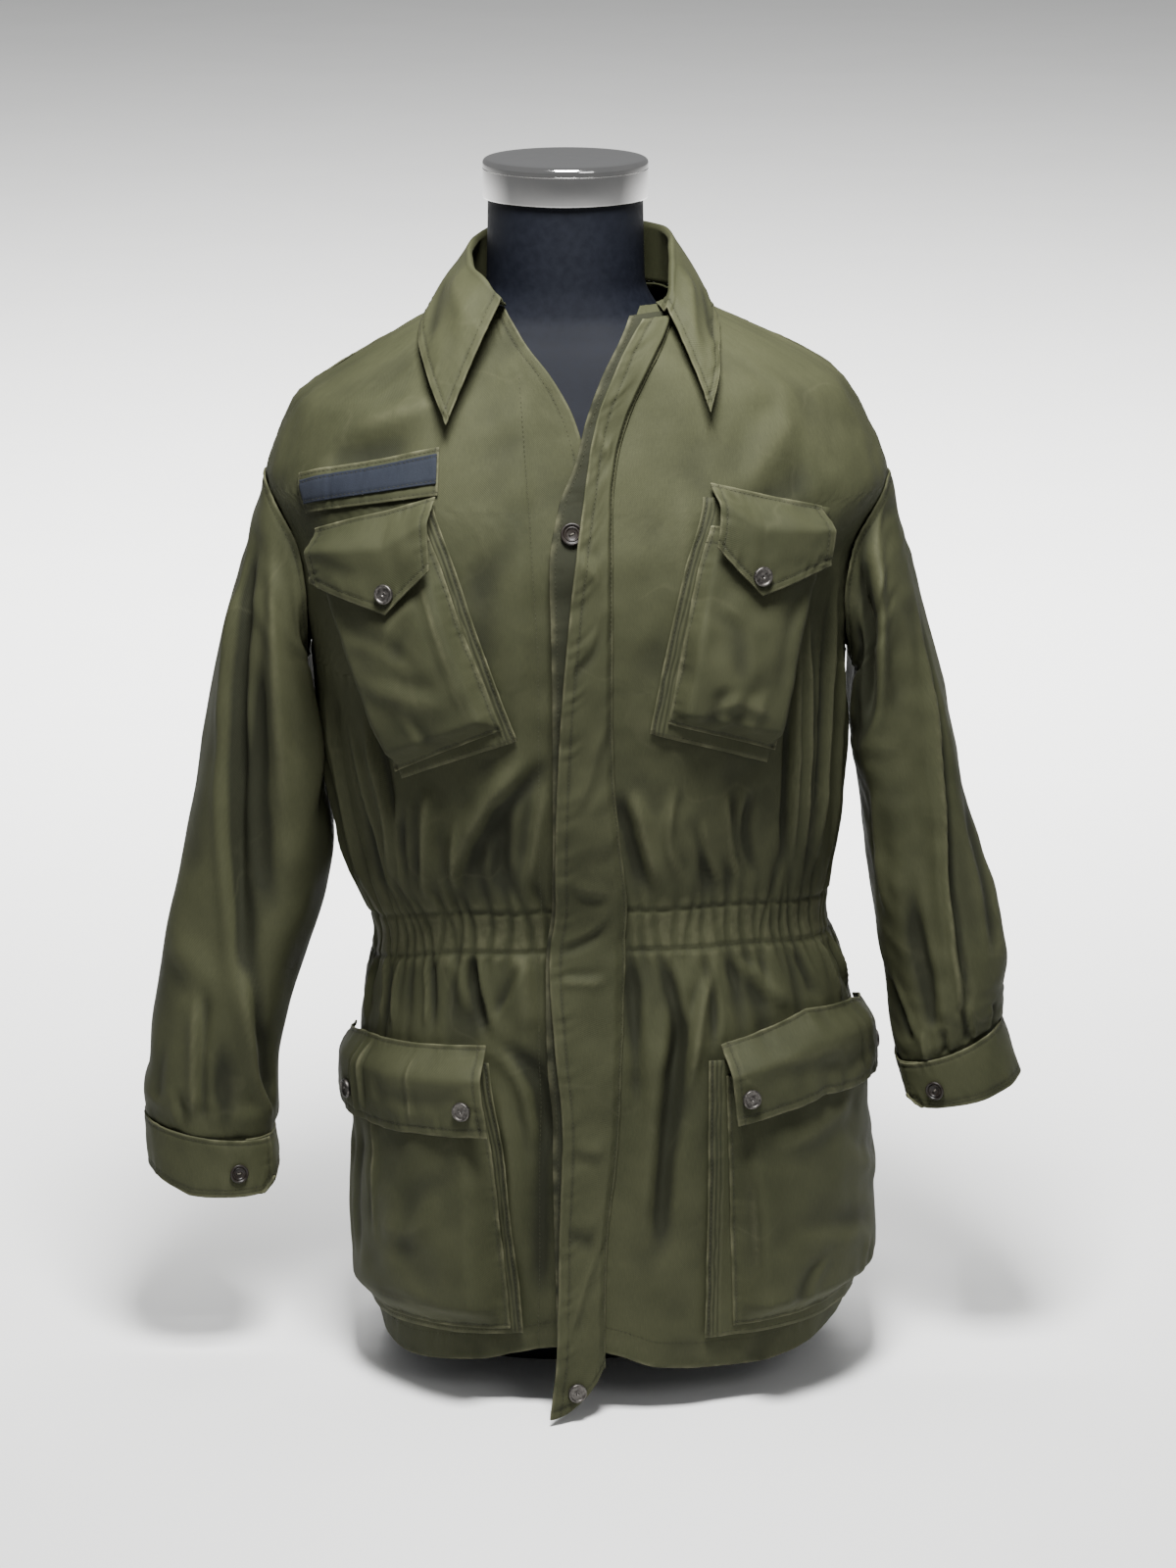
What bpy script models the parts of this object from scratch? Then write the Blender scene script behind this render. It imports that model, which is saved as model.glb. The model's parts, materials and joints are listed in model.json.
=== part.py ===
"""Field jacket worn by a limbless dress form.

Metres, +Z up, front towards -Y. Right and left are the wearer's, so right is at -X.
The body of the jacket is a stack of superellipse rings. A place on it is a girth angle,
measured from the centre front towards the left, and a height. Every piece that lies on
the body is made from the body's own points, moved out.
"""
import math

import bmesh
import bpy
import numpy as np
from mathutils import Vector

# ------------------------------------------------------------------ driving sizes
CLOTH = 0.0016            # wall of the jacket cloth
THIN_CLOTH = 0.0012       # wall of the flat patches
SEAM = 0.0004             # gap between two sewn pieces
HEM_HEIGHT = 0.042
WAIST_HEIGHT = 0.372
ARMPIT_HEIGHT = 0.565
ARMHOLE_TOP = 0.712
NECK_HEIGHT = 0.848
ARMHOLE_FRONT = 0.055     # how far the armhole reaches forward of the side seam
ARMHOLE_BACK = 0.062
GATHER_DEPTH = 0.0030     # half the height of a waist gather
GATHERS_PER_QUARTER = 10
BAND_HALF = 0.016         # half the height of the elastic waist band
FLY_MIDDLE = 5            # girth angle of the fly's middle, where nothing is gathered
FLY_HALF = 11             # half the girth angle under the fly
CAP_RADIUS = 0.0625
CAP_BOTTOM = 0.9210
CAP_TOP = 0.9500
CAP_ROUNDING = 0.004
CAP_SIDES = 40
FORM_SIDES = 28
FORM_ROUNDNESS = 0.95     # power of the form's sine and cosine; 1 is a true ellipse
BUTTON_RADIUS = 0.0075
BUTTON_HEIGHT = 0.0028
FLY_BUTTON_RADIUS = 0.0085
SNAP_RADIUS = 0.0075
SNAP_HEIGHT = 0.0030
FASTENER_SIDES = 16
FASTENER_RIM = 0.0009     # rounding of a snap's or a button's rim
FASTENER_GAP = 0.0005     # gap under a snap or a button
CUFF_BUTTON_GAP = 0.0014  # the same where the cuff's tab curves away under it

# Body rings: height, right end, left end, front depth, back depth, squareness.
BODY_RINGS = (
    (0.000, -0.146, 0.222, 0.168, 0.142, 2.40),
    (0.042, -0.150, 0.224, 0.165, 0.141, 2.40),
    (0.100, -0.152, 0.226, 0.160, 0.139, 2.40),
    (0.200, -0.154, 0.224, 0.150, 0.136, 2.40),
    (0.270, -0.163, 0.227, 0.142, 0.131, 2.40),
    (0.325, -0.160, 0.219, 0.133, 0.124, 2.35),
    (0.372, -0.151, 0.204, 0.127, 0.117, 2.30),
    (0.420, -0.171, 0.211, 0.134, 0.121, 2.30),
    (0.500, -0.189, 0.215, 0.143, 0.128, 2.30),
    (0.600, -0.201, 0.218, 0.147, 0.131, 2.30),
    (0.660, -0.213, 0.228, 0.141, 0.128, 2.20),
    (0.710, -0.229, 0.246, 0.129, 0.121, 2.10),
    (0.736, -0.222, 0.239, 0.121, 0.113, 2.00),
    (0.753, -0.215, 0.231, 0.115, 0.108, 1.95),
    (0.770, -0.206, 0.222, 0.109, 0.103, 1.90),
    (0.785, -0.186, 0.211, 0.104, 0.098, 1.85),
    (0.795, -0.170, 0.197, 0.101, 0.094, 1.80),
    (0.805, -0.153, 0.179, 0.098, 0.090, 1.80),
    (0.820, -0.127, 0.148, 0.093, 0.084, 1.75),
    (0.834, -0.102, 0.118, 0.089, 0.077, 1.75),
    (0.848, -0.079, 0.088, 0.084, 0.070, 1.80),
)

# How far the hem and the waist band sit above their nominal height: girth angle, hem, waist.
LEVEL_SHIFTS = (
    (-180, 0.003, -0.016),
    (-120, 0.002, -0.022),
    (-90, -0.012, -0.029),
    (-60, -0.017, -0.014),
    (-30, -0.004, 0.003),
    (-5, 0.013, 0.007),
    (8, -0.004, 0.010),
    (30, -0.009, 0.010),
    (60, 0.001, 0.000),
    (90, 0.014, -0.009),
    (120, 0.008, -0.013),
    (180, 0.003, -0.016),
)

FOLD_RISE = 0.3           # share of a fold's length over which it swells and fades
HEM_FOLD_FADE = 0.6       # the same for the upper end of a fold that reaches the hem

# Large folds of the body: girth angle, lower end, upper end, half width in degrees, depth.
BODY_FOLDS = (
    (-62, 0.02, 0.33, 20, 0.0020),
    (-21, 0.02, 0.35, 6, -0.0060),
    (18, 0.10, 0.35, 6, 0.0040),
    (24, 0.02, 0.22, 8, -0.0060),
    (64, 0.02, 0.33, 20, 0.0020),
    (110, 0.02, 0.34, 10, -0.0060),
    (136, 0.02, 0.34, 9, 0.0060),
    (164, 0.02, 0.35, 9, -0.0060),
    (-166, 0.02, 0.34, 9, 0.0060),
    (-138, 0.02, 0.35, 10, -0.0060),
    (-112, 0.02, 0.33, 9, 0.0055),
    (-66, 0.39, 0.60, 6, -0.0040),
    (-38, 0.39, 0.50, 6, 0.0030),
    (30, 0.39, 0.52, 6, -0.0035),
    (58, 0.39, 0.60, 6, 0.0035),
    (128, 0.39, 0.66, 8, 0.0050),
    (156, 0.39, 0.60, 7, -0.0045),
    (-150, 0.39, 0.60, 8, 0.0050),
    (-126, 0.39, 0.68, 7, -0.0045),
)

# Centre front edges: height, then x of each edge.
# Columns: right front, fly strip, placket edge, placket sewing line.
FRONT_EDGES = (
    (0.000, 0.022, -0.010, -0.009, 0.030),
    (0.060, 0.022, -0.006, -0.004, 0.030),
    (0.130, 0.022, -0.008, -0.004, 0.031),
    (0.210, 0.022, -0.010, -0.002, 0.039),
    (0.300, 0.022, -0.014, -0.008, 0.043),
    (0.350, 0.022, -0.014, -0.011, 0.044),
    (0.400, 0.022, -0.011, -0.008, 0.045),
    (0.460, 0.022, -0.009, -0.007, 0.040),
    (0.510, 0.022, -0.009, -0.005, 0.036),
    (0.560, 0.022, -0.009, -0.002, 0.035),
    (0.620, 0.022, -0.010, 0.003, 0.035),
    (0.665, 0.022, -0.011, 0.008, 0.035),
    (0.710, 0.021, -0.004, 0.014, 0.035),
    (0.740, 0.016, 0.008, 0.018, 0.038),
    (0.770, 0.007, 0.016, 0.024, 0.046),
    (0.800, -0.010, 0.027, 0.035, 0.060),
    (0.825, -0.031, 0.040, 0.047, 0.074),
    (0.848, -0.046, 0.050, 0.064, 0.082),
)

PLACKET_TIP = 0.006       # height of the placket's pointed lower end, and how far its edge rises
PLACKET_RISE = 0.034
PLACKET_DROP = 0.011      # how far below the neck seam the placket and the strip end
STRIP_DROP = 0.006
STRIP_FOOT = 0.036        # height of the strip's lower end
PLACKET_OUT = 0.0068      # stand-off of the placket at its sewing line
STRIP_OUT = 0.0026        # stand-off of the strip, and what its free edge adds
STRIP_EDGE_OUT = 0.0012
FRONT_INSET = 0.006       # how far the left front's edge and the strip keep from the fly's lines
LAP_DIP = 0.0042          # how deep the right front dips under the left one
LAP_START = -0.036        # x where the dip starts, and how far it takes to reach its depth
LAP_EASE = 0.016
LAP_TOP = 0.80            # height where the dip ends, and how far it takes to fade
LAP_FADE = 0.05
PLACKET_SNAP = (0.42, 0.0135)   # places on the placket and the strip, as shares across and up
FLY_BUTTON = (0.36, 0.812)

# How far the placket's free edge stands off the body: height, stand-off.
PLACKET_LIFT = (
    (0.000, 0.027),
    (0.050, 0.019),
    (0.120, 0.010),
    (0.300, 0.007),
    (0.500, 0.008),
    (0.620, 0.010),
    (0.690, 0.012),
    (0.760, 0.012),
    (0.800, 0.010),
    (0.850, 0.008),
)

# Sleeve rings, from the armhole down: inner height, outer height, inner x, outer x, middle y,
# half depth. The x values are measured outwards from the centre of the form.
RIGHT_SLEEVE_RINGS = (
    (0.545, 0.615, 0.2010, 0.254, 0.010, 0.071),
    (0.500, 0.560, 0.1930, 0.267, 0.012, 0.073),
    (0.455, 0.500, 0.1865, 0.278, 0.012, 0.072),
    (0.415, 0.440, 0.1830, 0.292, 0.010, 0.069),
    (0.375, 0.385, 0.1890, 0.304, 0.006, 0.066),
    (0.325, 0.325, 0.2050, 0.319, 0.000, 0.062),
    (0.280, 0.270, 0.2200, 0.328, -0.006, 0.058),
    (0.235, 0.230, 0.2290, 0.333, -0.010, 0.055),
    (0.204, 0.214, 0.2300, 0.336, -0.013, 0.052),
    (0.182, 0.198, 0.2330, 0.335, -0.015, 0.048),
)
LEFT_SLEEVE_RINGS = (
    (0.548, 0.628, 0.2235, 0.266, 0.008, 0.070),
    (0.510, 0.570, 0.2215, 0.281, 0.010, 0.072),
    (0.480, 0.520, 0.2255, 0.295, 0.010, 0.070),
    (0.440, 0.468, 0.2320, 0.308, 0.008, 0.068),
    (0.395, 0.415, 0.2370, 0.323, 0.004, 0.065),
    (0.345, 0.360, 0.2450, 0.339, -0.002, 0.061),
    (0.305, 0.315, 0.2520, 0.346, -0.008, 0.057),
    (0.270, 0.296, 0.2560, 0.346, -0.012, 0.054),
    (0.243, 0.278, 0.2620, 0.342, -0.015, 0.048),
)

SLEEVE_WRAP = 0.022       # how far the sleeve's inner side bends round the body
SLEEVE_ROUNDNESS = 0.85   # power of the sine that sets a ring's depth; 1 is a true ellipse
WRAP_ROWS = 3.6           # ring rows that the wrap reaches down to, and over which it fades
WRAP_FADE = 2.4
CAP_SHARE = 0.26          # share of the sleeve's length between the armhole and the first ring
CAP_LEANS = (0.70, 0.24)  # outward lean where the sleeve leaves the armhole, inside and outside
CAP_LEAVE = 0.42          # how far it keeps that lean, and how far it comes in along the rings
CAP_ARRIVE = 0.36
CAP_GAP = 0.0022          # how far the sleeve's start stands off the armhole

# Sleeve folds: angle round the sleeve, upper end, lower end, half width in degrees, depth.
SLEEVE_FOLDS = (
    (62, 0.10, 0.95, 22, 0.0050),
    (108, 0.15, 0.80, 20, -0.0055),
    (150, 0.05, 0.90, 20, 0.0050),
    (215, 0.20, 0.95, 24, -0.0050),
    (262, 0.10, 0.90, 24, 0.0055),
    (310, 0.25, 0.95, 22, -0.0045),
)

# Cuff rings: inner height, outer height, inner x, outer x, middle y, half depth.
RIGHT_CUFF_RINGS = (
    (0.1812, 0.1972, 0.2320, 0.336, -0.015, 0.049),
    (0.1510, 0.1560, 0.2290, 0.334, -0.018, 0.050),
)
LEFT_CUFF_RINGS = (
    (0.2422, 0.2772, 0.2600, 0.3440, -0.015, 0.049),
    (0.2120, 0.2330, 0.2690, 0.3600, -0.018, 0.050),
)
CUFF_DIP = {"right": 0.0110, "left": 0.0020}   # how much lower the front of the cuff hangs
CUFF_LAP = 0.0042         # how far the tab end lies outside the band's start
CUFF_START = 52           # angle round the wrist where the band begins, under the tab
CUFF_END = -332           # angle where the tab ends
CLIP_START = 0.955        # share of the band where the tab's lower corner is clipped
CLIP_HEIGHT = 0.24        # share of the cuff's height that the clip takes off
CUFF_RADIUS = 0.05
CLIP_FROM = 0.4           # share of the cuff's depth from which its tab is clipped
DIP_RISE = 0.5            # how the front of the cuff's edge dips: swing over which it starts,
DIP_END = 0.97            # outward share where it ends, the share over which it fades,
DIP_FADE = 0.32
DIP_FROM = 0.3            # and the share of the cuff's depth from which it shows
LAP_OVER = 0.62           # share of the cuff's length where it starts to lie over its own start
LAP_RISE = 0.3            # share of its length over which it rises to lie there
CUFF_BUTTON = (0.905, 0.62)   # the button's place on it, as shares of its length and depth

# Collar stations, from the right front end round the back to the left front end:
# girth angle on the neck ring, roll line x, y, z, outer edge x, y, z.
COLLAR_STATIONS = (
    (-38, -0.0470, -0.0790, 0.8540, -0.0880, -0.1130, 0.7690),
    (-52, -0.0600, -0.0640, 0.8670, -0.1030, -0.0850, 0.8020),
    (-70, -0.0700, -0.0370, 0.8740, -0.1100, -0.0450, 0.8240),
    (-92, -0.0720, -0.0020, 0.8800, -0.1050, -0.0020, 0.8370),
    (-120, -0.0660, 0.0330, 0.8840, -0.0910, 0.0470, 0.8370),
    (-150, -0.0430, 0.0580, 0.8900, -0.0570, 0.0790, 0.8350),
    (-180, 0.0030, 0.0670, 0.8910, 0.0040, 0.0900, 0.8345),
    (-210, 0.0500, 0.0580, 0.8910, 0.0640, 0.0790, 0.8350),
    (-240, 0.0740, 0.0330, 0.8900, 0.0960, 0.0470, 0.8380),
    (-268, 0.0790, -0.0020, 0.8880, 0.1100, -0.0020, 0.8420),
    (-286, 0.0790, -0.0370, 0.8760, 0.1150, -0.0450, 0.8310),
    (-300, 0.0780, -0.0580, 0.8590, 0.1150, -0.0830, 0.8070),
    (-308, 0.0745, -0.0700, 0.8460, 0.1080, -0.1090, 0.7780),
)
COLLAR_SEAM = 0.0018       # gap between the panels' tops and the collar's lower edge
COLLAR_CENTRE = 0.004      # x of the neck's middle
COLLAR_STAND_OFF = 0.004   # gap between the stand and the fall at the roll line
COLLAR_BOW = 0.002         # how far the fall bows out between the roll line and its edge
COLLAR_ROLL = (0.32, 0.44)  # shares of the collar's height between which it turns over
COLLAR_RISE = 0.0035       # how much higher the turned cloth is than the roll line
COLLAR_ALONG = (0, 0.16, 0.32, 0.36, 0.40, 0.44, 0.62, 0.81, 1)   # its rows, seam to edge

# Pocket patches: the four corners as x and height, top inner, top outer, bottom outer, bottom
# inner. Hip patches give girth angles in place of x.
CHEST_BACKING = {
    "right": ((-0.098, 0.712), (-0.176, 0.686), (-0.121, 0.500), (-0.036, 0.536)),
    "left": ((0.102, 0.715), (0.196, 0.700), (0.150, 0.512), (0.063, 0.542)),
}
CHEST_BAG = {
    "right": ((-0.103, 0.694), (-0.186, 0.666), (-0.125, 0.506), (-0.047, 0.545)),
    "left": ((0.107, 0.694), (0.197, 0.680), (0.154, 0.522), (0.076, 0.550)),
}
HIP_BACKING = {
    "right": ((-23.5, 0.276), (-95, 0.250), (-95, 0.042), (-18, 0.064)),
    "left": ((19, 0.280), (99, 0.272), (99, 0.062), (18, 0.060)),
}
HIP_BAG = {
    "right": ((-26, 0.268), (-92, 0.242), (-92, 0.050), (-21, 0.068)),
    "left": ((23, 0.268), (96, 0.262), (96, 0.076), (25, 0.068)),
}

# Flap stations from the inner edge to the outer one: place and height on the sewn top edge,
# place and height on the loose lower edge. Places are x on the chest, girth angles on the hip.
CHEST_FLAP = {
    "right": (
        (-0.095, 0.714, -0.094, 0.664),
        (-0.129, 0.703, -0.124, 0.630),
        (-0.184, 0.684, -0.175, 0.647),
    ),
    "left": (
        (0.107, 0.724, 0.107, 0.680),
        (0.138, 0.716, 0.137, 0.644),
        (0.189, 0.702, 0.184, 0.662),
    ),
}
HIP_FLAP = {
    "right": (
        (-24, 0.290, -23, 0.225),
        (-47, 0.283, -46, 0.219),
        (-69, 0.277, -69, 0.214),
        (-92, 0.262, -93, 0.212),
    ),
    "left": (
        (22, 0.292, 24, 0.234),
        (48, 0.308, 49, 0.245),
        (74, 0.299, 75, 0.238),
        (101, 0.276, 101, 0.224),
    ),
}
FLAP_FLARE = 0.010         # how far a hip flap's outer lower corner flares out more
CHEST_SNAP = 0.5           # share of a chest flap's width at its snap, on its point
HIP_SNAPS = {"right": (0.07, 0.70), "left": (0.045, 0.93)}   # the same for the hip flaps' snaps
SNAP_SHARE = {"chest": 0.80, "hip": 0.69}   # share of the flap's height at its snaps
CHEST_BAG_DEPTH = 0.016
CHEST_MOUTH = 0.007        # depth of a bag at its open top
HIP_MOUTH = 0.009
CHEST_PATCH_OUT = 0.0030   # stand-off of an edge patch's outer face
HIP_PATCH_OUT = 0.0044
BAG_BASE = 0.0036          # what a bag's edge and a flap's sewn edge add to that
FLAP_BASE = 0.0028
FLAP_CLEAR = 0.0106        # how far a flap's face lies outside the bag's mouth
HIP_BAG_DEPTH = 0.021
HIP_SIDE_SHARE = 0.55      # share of a hip bag's depth that is left at its side edge
FLAP_SIDE_SHARE = 0.30     # the same for a hip flap's stand-off
GUSSET_SHARE = 0.10        # share of a bag's width, and of its height, that a gusset takes
BAG_FULL_SHARE = 0.75      # share of a bag's height at which it is deepest
FLAP_ROLL_SHARE = 0.38     # share of a flap's height that rises off its seam
FLARE_START = 0.55         # share of a hip flap's width where its flare starts

# Name tape corners as x and height: top outer, top inner, bottom inner, bottom outer.
TAPE_BACKING = ((-0.199, 0.721), (-0.093, 0.749), (-0.094, 0.716), (-0.194, 0.694))
TAPE_LOOP = ((-0.197, 0.716), (-0.094, 0.744), (-0.095, 0.724), (-0.194, 0.701))

TAPE_BACKING_OUT = 0.0026
TAPE_LOOP_OUT = 0.0044

STRAP_OUTER = 0.740       # height of a shoulder strap at the armhole and at its pointed end
STRAP_INNER = 0.822
STRAP_WIDTH = 0.046
STRAP_BACK = 0.046        # how far behind the shoulder line the strap's middle lies
STRAP_DRIFT = 0.006       # how much further back it lies at the armhole
STRAP_LIFT = 0.0022       # stand-off of its ends, and what the middle adds
STRAP_BOW = 0.0022
STRAP_POINT = 0.86        # share of its length where the pointed end starts
STRAP_TAPER = 0.55        # share of its width that the pointed end loses
STRAP_BUTTON = (0.5, 0.88)   # the button's place on it, as shares of its width and length

# Dress form rings: height, half width, front depth, back depth.
FORM_RINGS = (
    (0.000, 0.114, 0.062, 0.086),
    (0.006, 0.120, 0.067, 0.092),
    (0.050, 0.126, 0.086, 0.102),
    (0.120, 0.131, 0.108, 0.109),
    (0.200, 0.132, 0.111, 0.109),
    (0.300, 0.126, 0.101, 0.101),
    (0.372, 0.121, 0.097, 0.095),
    (0.450, 0.133, 0.106, 0.102),
    (0.550, 0.152, 0.118, 0.111),
    (0.620, 0.165, 0.119, 0.111),
    (0.690, 0.178, 0.107, 0.103),
    (0.730, 0.181, 0.096, 0.094),
    (0.760, 0.172, 0.086, 0.086),
    (0.780, 0.156, 0.079, 0.080),
    (0.795, 0.137, 0.074, 0.075),
    (0.810, 0.112, 0.069, 0.070),
    (0.825, 0.088, 0.064, 0.064),
    (0.840, 0.069, 0.060, 0.060),
    (0.860, 0.060, 0.058, 0.058),
    (0.9205, 0.0585, 0.0585, 0.0585),
)

# Nominal heights of the panel rows: below the gathers, in them, and above them.
SKIRT_ROWS = (0.042, 0.090, 0.150, 0.215, 0.270)
GATHER_ROWS = (0.314, 0.355, 0.389, 0.440)
CHEST_ROWS = (0.500,)
ARMHOLE_TURNS = (0, 25, 50, 80, 110, 140, 162, 180)
SHOULDER_ROWS = (0.736, 0.760, 0.783, 0.800, 0.818, 0.834, 0.848)

# Looks of the materials: colour, roughness, metallic.
FINISHES = {
    "olive_cotton": ((0.080, 0.082, 0.044, 1.0), 0.85, 0.0),
    "navy_loop": ((0.020, 0.026, 0.046, 1.0), 0.95, 0.0),
    "aged_metal": ((0.110, 0.105, 0.100, 1.0), 0.45, 1.0),
    "dark_button": ((0.030, 0.024, 0.020, 1.0), 0.40, 0.0),
    "black_form": ((0.012, 0.012, 0.014, 1.0), 0.60, 0.0),
    "bright_metal": ((0.800, 0.800, 0.800, 1.0), 0.08, 1.0),
}


# ------------------------------------------------------------------ small tools
class Profile:
    """Smooth curves through a table whose first column rises and is looked up."""

    def __init__(self, rows):
        table = np.array(rows, dtype=float)
        self.keys = table[:, 0]
        self.values = table[:, 1:]
        slope = np.diff(self.values, axis=0) / np.diff(self.keys)[:, None]
        product = slope[:-1] * slope[1:]
        total = slope[:-1] + slope[1:]
        inner = np.where(product > 0, 2 * product / np.where(total == 0, 1, total), 0)
        self.tangents = np.vstack((slope[:1], inner, slope[-1:]))

    def __call__(self, key):
        key = np.clip(np.asarray(key, dtype=float), self.keys[0], self.keys[-1])
        row = np.clip(np.searchsorted(self.keys, key, side="right") - 1, 0, len(self.keys) - 2)
        span = self.keys[row + 1] - self.keys[row]
        part = ((key - self.keys[row]) / span)[..., None]
        span = span[..., None]
        start = (1 + 2 * part) * (1 - part) ** 2 * self.values[row]
        end = part ** 2 * (3 - 2 * part) * self.values[row + 1]
        leave = part * (1 - part) ** 2 * span * self.tangents[row]
        arrive = part ** 2 * (part - 1) * span * self.tangents[row + 1]
        return np.moveaxis(start + end + leave + arrive, -1, 0)


def smooth(value):
    """Ease from 0 to 1 as the value goes from 0 to 1."""
    value = np.clip(value, 0, 1)
    return value * value * (3 - 2 * value)


def unit(vectors):
    """Scale an array of vectors to length 1."""
    return vectors / np.maximum(np.linalg.norm(vectors, axis=-1, keepdims=True), 1e-12)


def between(low, high, part):
    """Blend from low to high."""
    return low + (high - low) * part


def grid_normals(place, across, along, step=1e-3):
    """Normals of the surface place(across, along), by differences."""
    side = place(across + step, along) - place(across - step, along)
    rise = place(across, along + step) - place(across, along - step)
    return unit(np.cross(side, rise))


# ------------------------------------------------------------------ body surface
body_ring = Profile(BODY_RINGS)
level_shift = Profile(LEVEL_SHIFTS)
front_edges = Profile(FRONT_EDGES)
placket_lift = Profile(PLACKET_LIFT)


def height_at(angle, nominal):
    """True height of a nominal height, with the hem and the waist band at their own levels."""
    hem_shift, waist_shift = level_shift(np.degrees((angle + np.pi) % (2 * np.pi) - np.pi))
    hem = HEM_HEIGHT + hem_shift
    waist = WAIST_HEIGHT + waist_shift
    below = between(hem, waist, (nominal - HEM_HEIGHT) / (WAIST_HEIGHT - HEM_HEIGHT))
    above = between(waist, ARMPIT_HEIGHT, (nominal - WAIST_HEIGHT) / (ARMPIT_HEIGHT - WAIST_HEIGHT))
    return np.where(nominal < WAIST_HEIGHT, below, np.where(nominal < ARMPIT_HEIGHT, above, nominal))


def nominal_at(angle, height):
    """Nominal height of a true height: the reverse of height_at."""
    hem_shift, waist_shift = level_shift(np.degrees((angle + np.pi) % (2 * np.pi) - np.pi))
    hem = HEM_HEIGHT + hem_shift
    waist = WAIST_HEIGHT + waist_shift
    below = between(HEM_HEIGHT, WAIST_HEIGHT, (height - hem) / (waist - hem))
    above = between(WAIST_HEIGHT, ARMPIT_HEIGHT, (height - waist) / (ARMPIT_HEIGHT - waist))
    return np.where(height < waist, below, np.where(height < ARMPIT_HEIGHT, above, height))


def smooth_body(angle, nominal):
    """Point of the body before any fold."""
    right, left, front, back, power = body_ring(nominal)
    sine = np.sin(angle)
    cosine = np.cos(angle)
    x = 0.5 * (right + left) + 0.5 * (left - right) * np.sign(sine) * np.abs(sine) ** (2 / power)
    depth = np.where(cosine > 0, -front, back)
    y = depth * np.abs(cosine) ** (2 / power)
    return np.stack((x, y, height_at(angle, nominal)), axis=-1)


def smooth_body_normal(angle, nominal):
    """Outward normal of the body before any fold."""
    return grid_normals(smooth_body, angle, nominal, 4e-3)


def angle_at(x, nominal):
    """Girth angle, on the front, of a place given by its x."""
    right, left, _front, _back, power = body_ring(nominal)
    part = np.clip((x - 0.5 * (right + left)) / (0.5 * (left - right)), -1, 1)
    return np.arcsin(np.sign(part) * np.abs(part) ** (power / 2))


def gather_relief(angle, nominal):
    """Height of the waist gathers above the smooth body."""
    turn = 4 * GATHERS_PER_QUARTER * angle + math.pi / 4
    uneven = 1 + 0.3 * np.sin(3 * angle + 1) + 0.25 * np.sin(7 * angle)
    off_band = np.maximum(np.abs(nominal - WAIST_HEIGHT) - BAND_HALF, 0)
    degrees = (np.degrees(angle) + 180) % 360 - 180
    off_fly = smooth((np.abs(degrees - FLY_MIDDLE) - FLY_HALF) / 5)
    return GATHER_DEPTH * uneven * off_fly * np.cos(turn) * np.exp(-(off_band / 0.045) ** 2)


def fold_relief(angle, nominal):
    """Height of the large folds above the smooth body."""
    relief = np.zeros(np.broadcast(angle, nominal).shape)
    for middle, low, high, width, depth in BODY_FOLDS:
        across = (np.degrees(angle) - middle + 180) % 360 - 180
        along = np.clip((nominal - low) / (high - low), 0, 1)
        swell = smooth(along / FOLD_RISE) * smooth((1 - along) / FOLD_RISE)
        if low < HEM_HEIGHT:
            swell = smooth((1 - along) / HEM_FOLD_FADE)
        relief = relief + depth * swell * np.exp(-(across / width) ** 2)
    return relief


def body(angle, nominal, out=0.0):
    """Point of the body cloth's outer face, or a distance out from it."""
    relief = fold_relief(angle, nominal) + gather_relief(angle, nominal)
    normal = smooth_body_normal(angle, nominal)
    return smooth_body(angle, nominal) + normal * (relief + out)[..., None]


def calm_body(angle, nominal, out=0.0):
    """Point over the body cloth that follows its large folds but not its gathers."""
    relief = fold_relief(angle, nominal)
    normal = smooth_body_normal(angle, nominal)
    return smooth_body(angle, nominal) + normal * (relief + out)[..., None]


def edge_angle(nominal, reach):
    """Girth angle on the left side of a panel edge that is reach away from the side line."""
    _right, _left, front, back, power = body_ring(nominal)
    depth = np.where(reach < 0, front, back)
    share = np.clip(np.abs(reach) / depth, 0, 1)
    turn = np.arccos(share ** (power / 2))
    return np.where(reach < 0, turn, np.pi - turn)


def armhole_reach(nominal, most):
    """How far the armhole edge is from the side line at a height."""
    middle = 0.5 * (ARMPIT_HEIGHT + ARMHOLE_TOP)
    half = 0.5 * (ARMHOLE_TOP - ARMPIT_HEIGHT)
    part = np.clip(np.abs(nominal - middle) / half, 0, 1)
    return most * np.sqrt(1 - part ** 2)


# ------------------------------------------------------------------ meshes
def stitch(faces, lower, upper):
    """Add the faces between two rows of point numbers, which may differ by a whole factor."""
    if len(lower) == len(upper):
        for k in range(len(lower) - 1):
            faces.append((lower[k], lower[k + 1], upper[k + 1], upper[k]))
        return
    coarse, fine = (lower, upper) if len(lower) < len(upper) else (upper, lower)
    factor = (len(fine) - 1) // (len(coarse) - 1)
    for k in range(len(coarse) - 1):
        run = fine[k * factor:(k + 1) * factor + 1]
        if coarse is lower:
            faces.append((coarse[k], coarse[k + 1], *reversed(run)))
        else:
            faces.append((*run, coarse[k + 1], coarse[k]))


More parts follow.
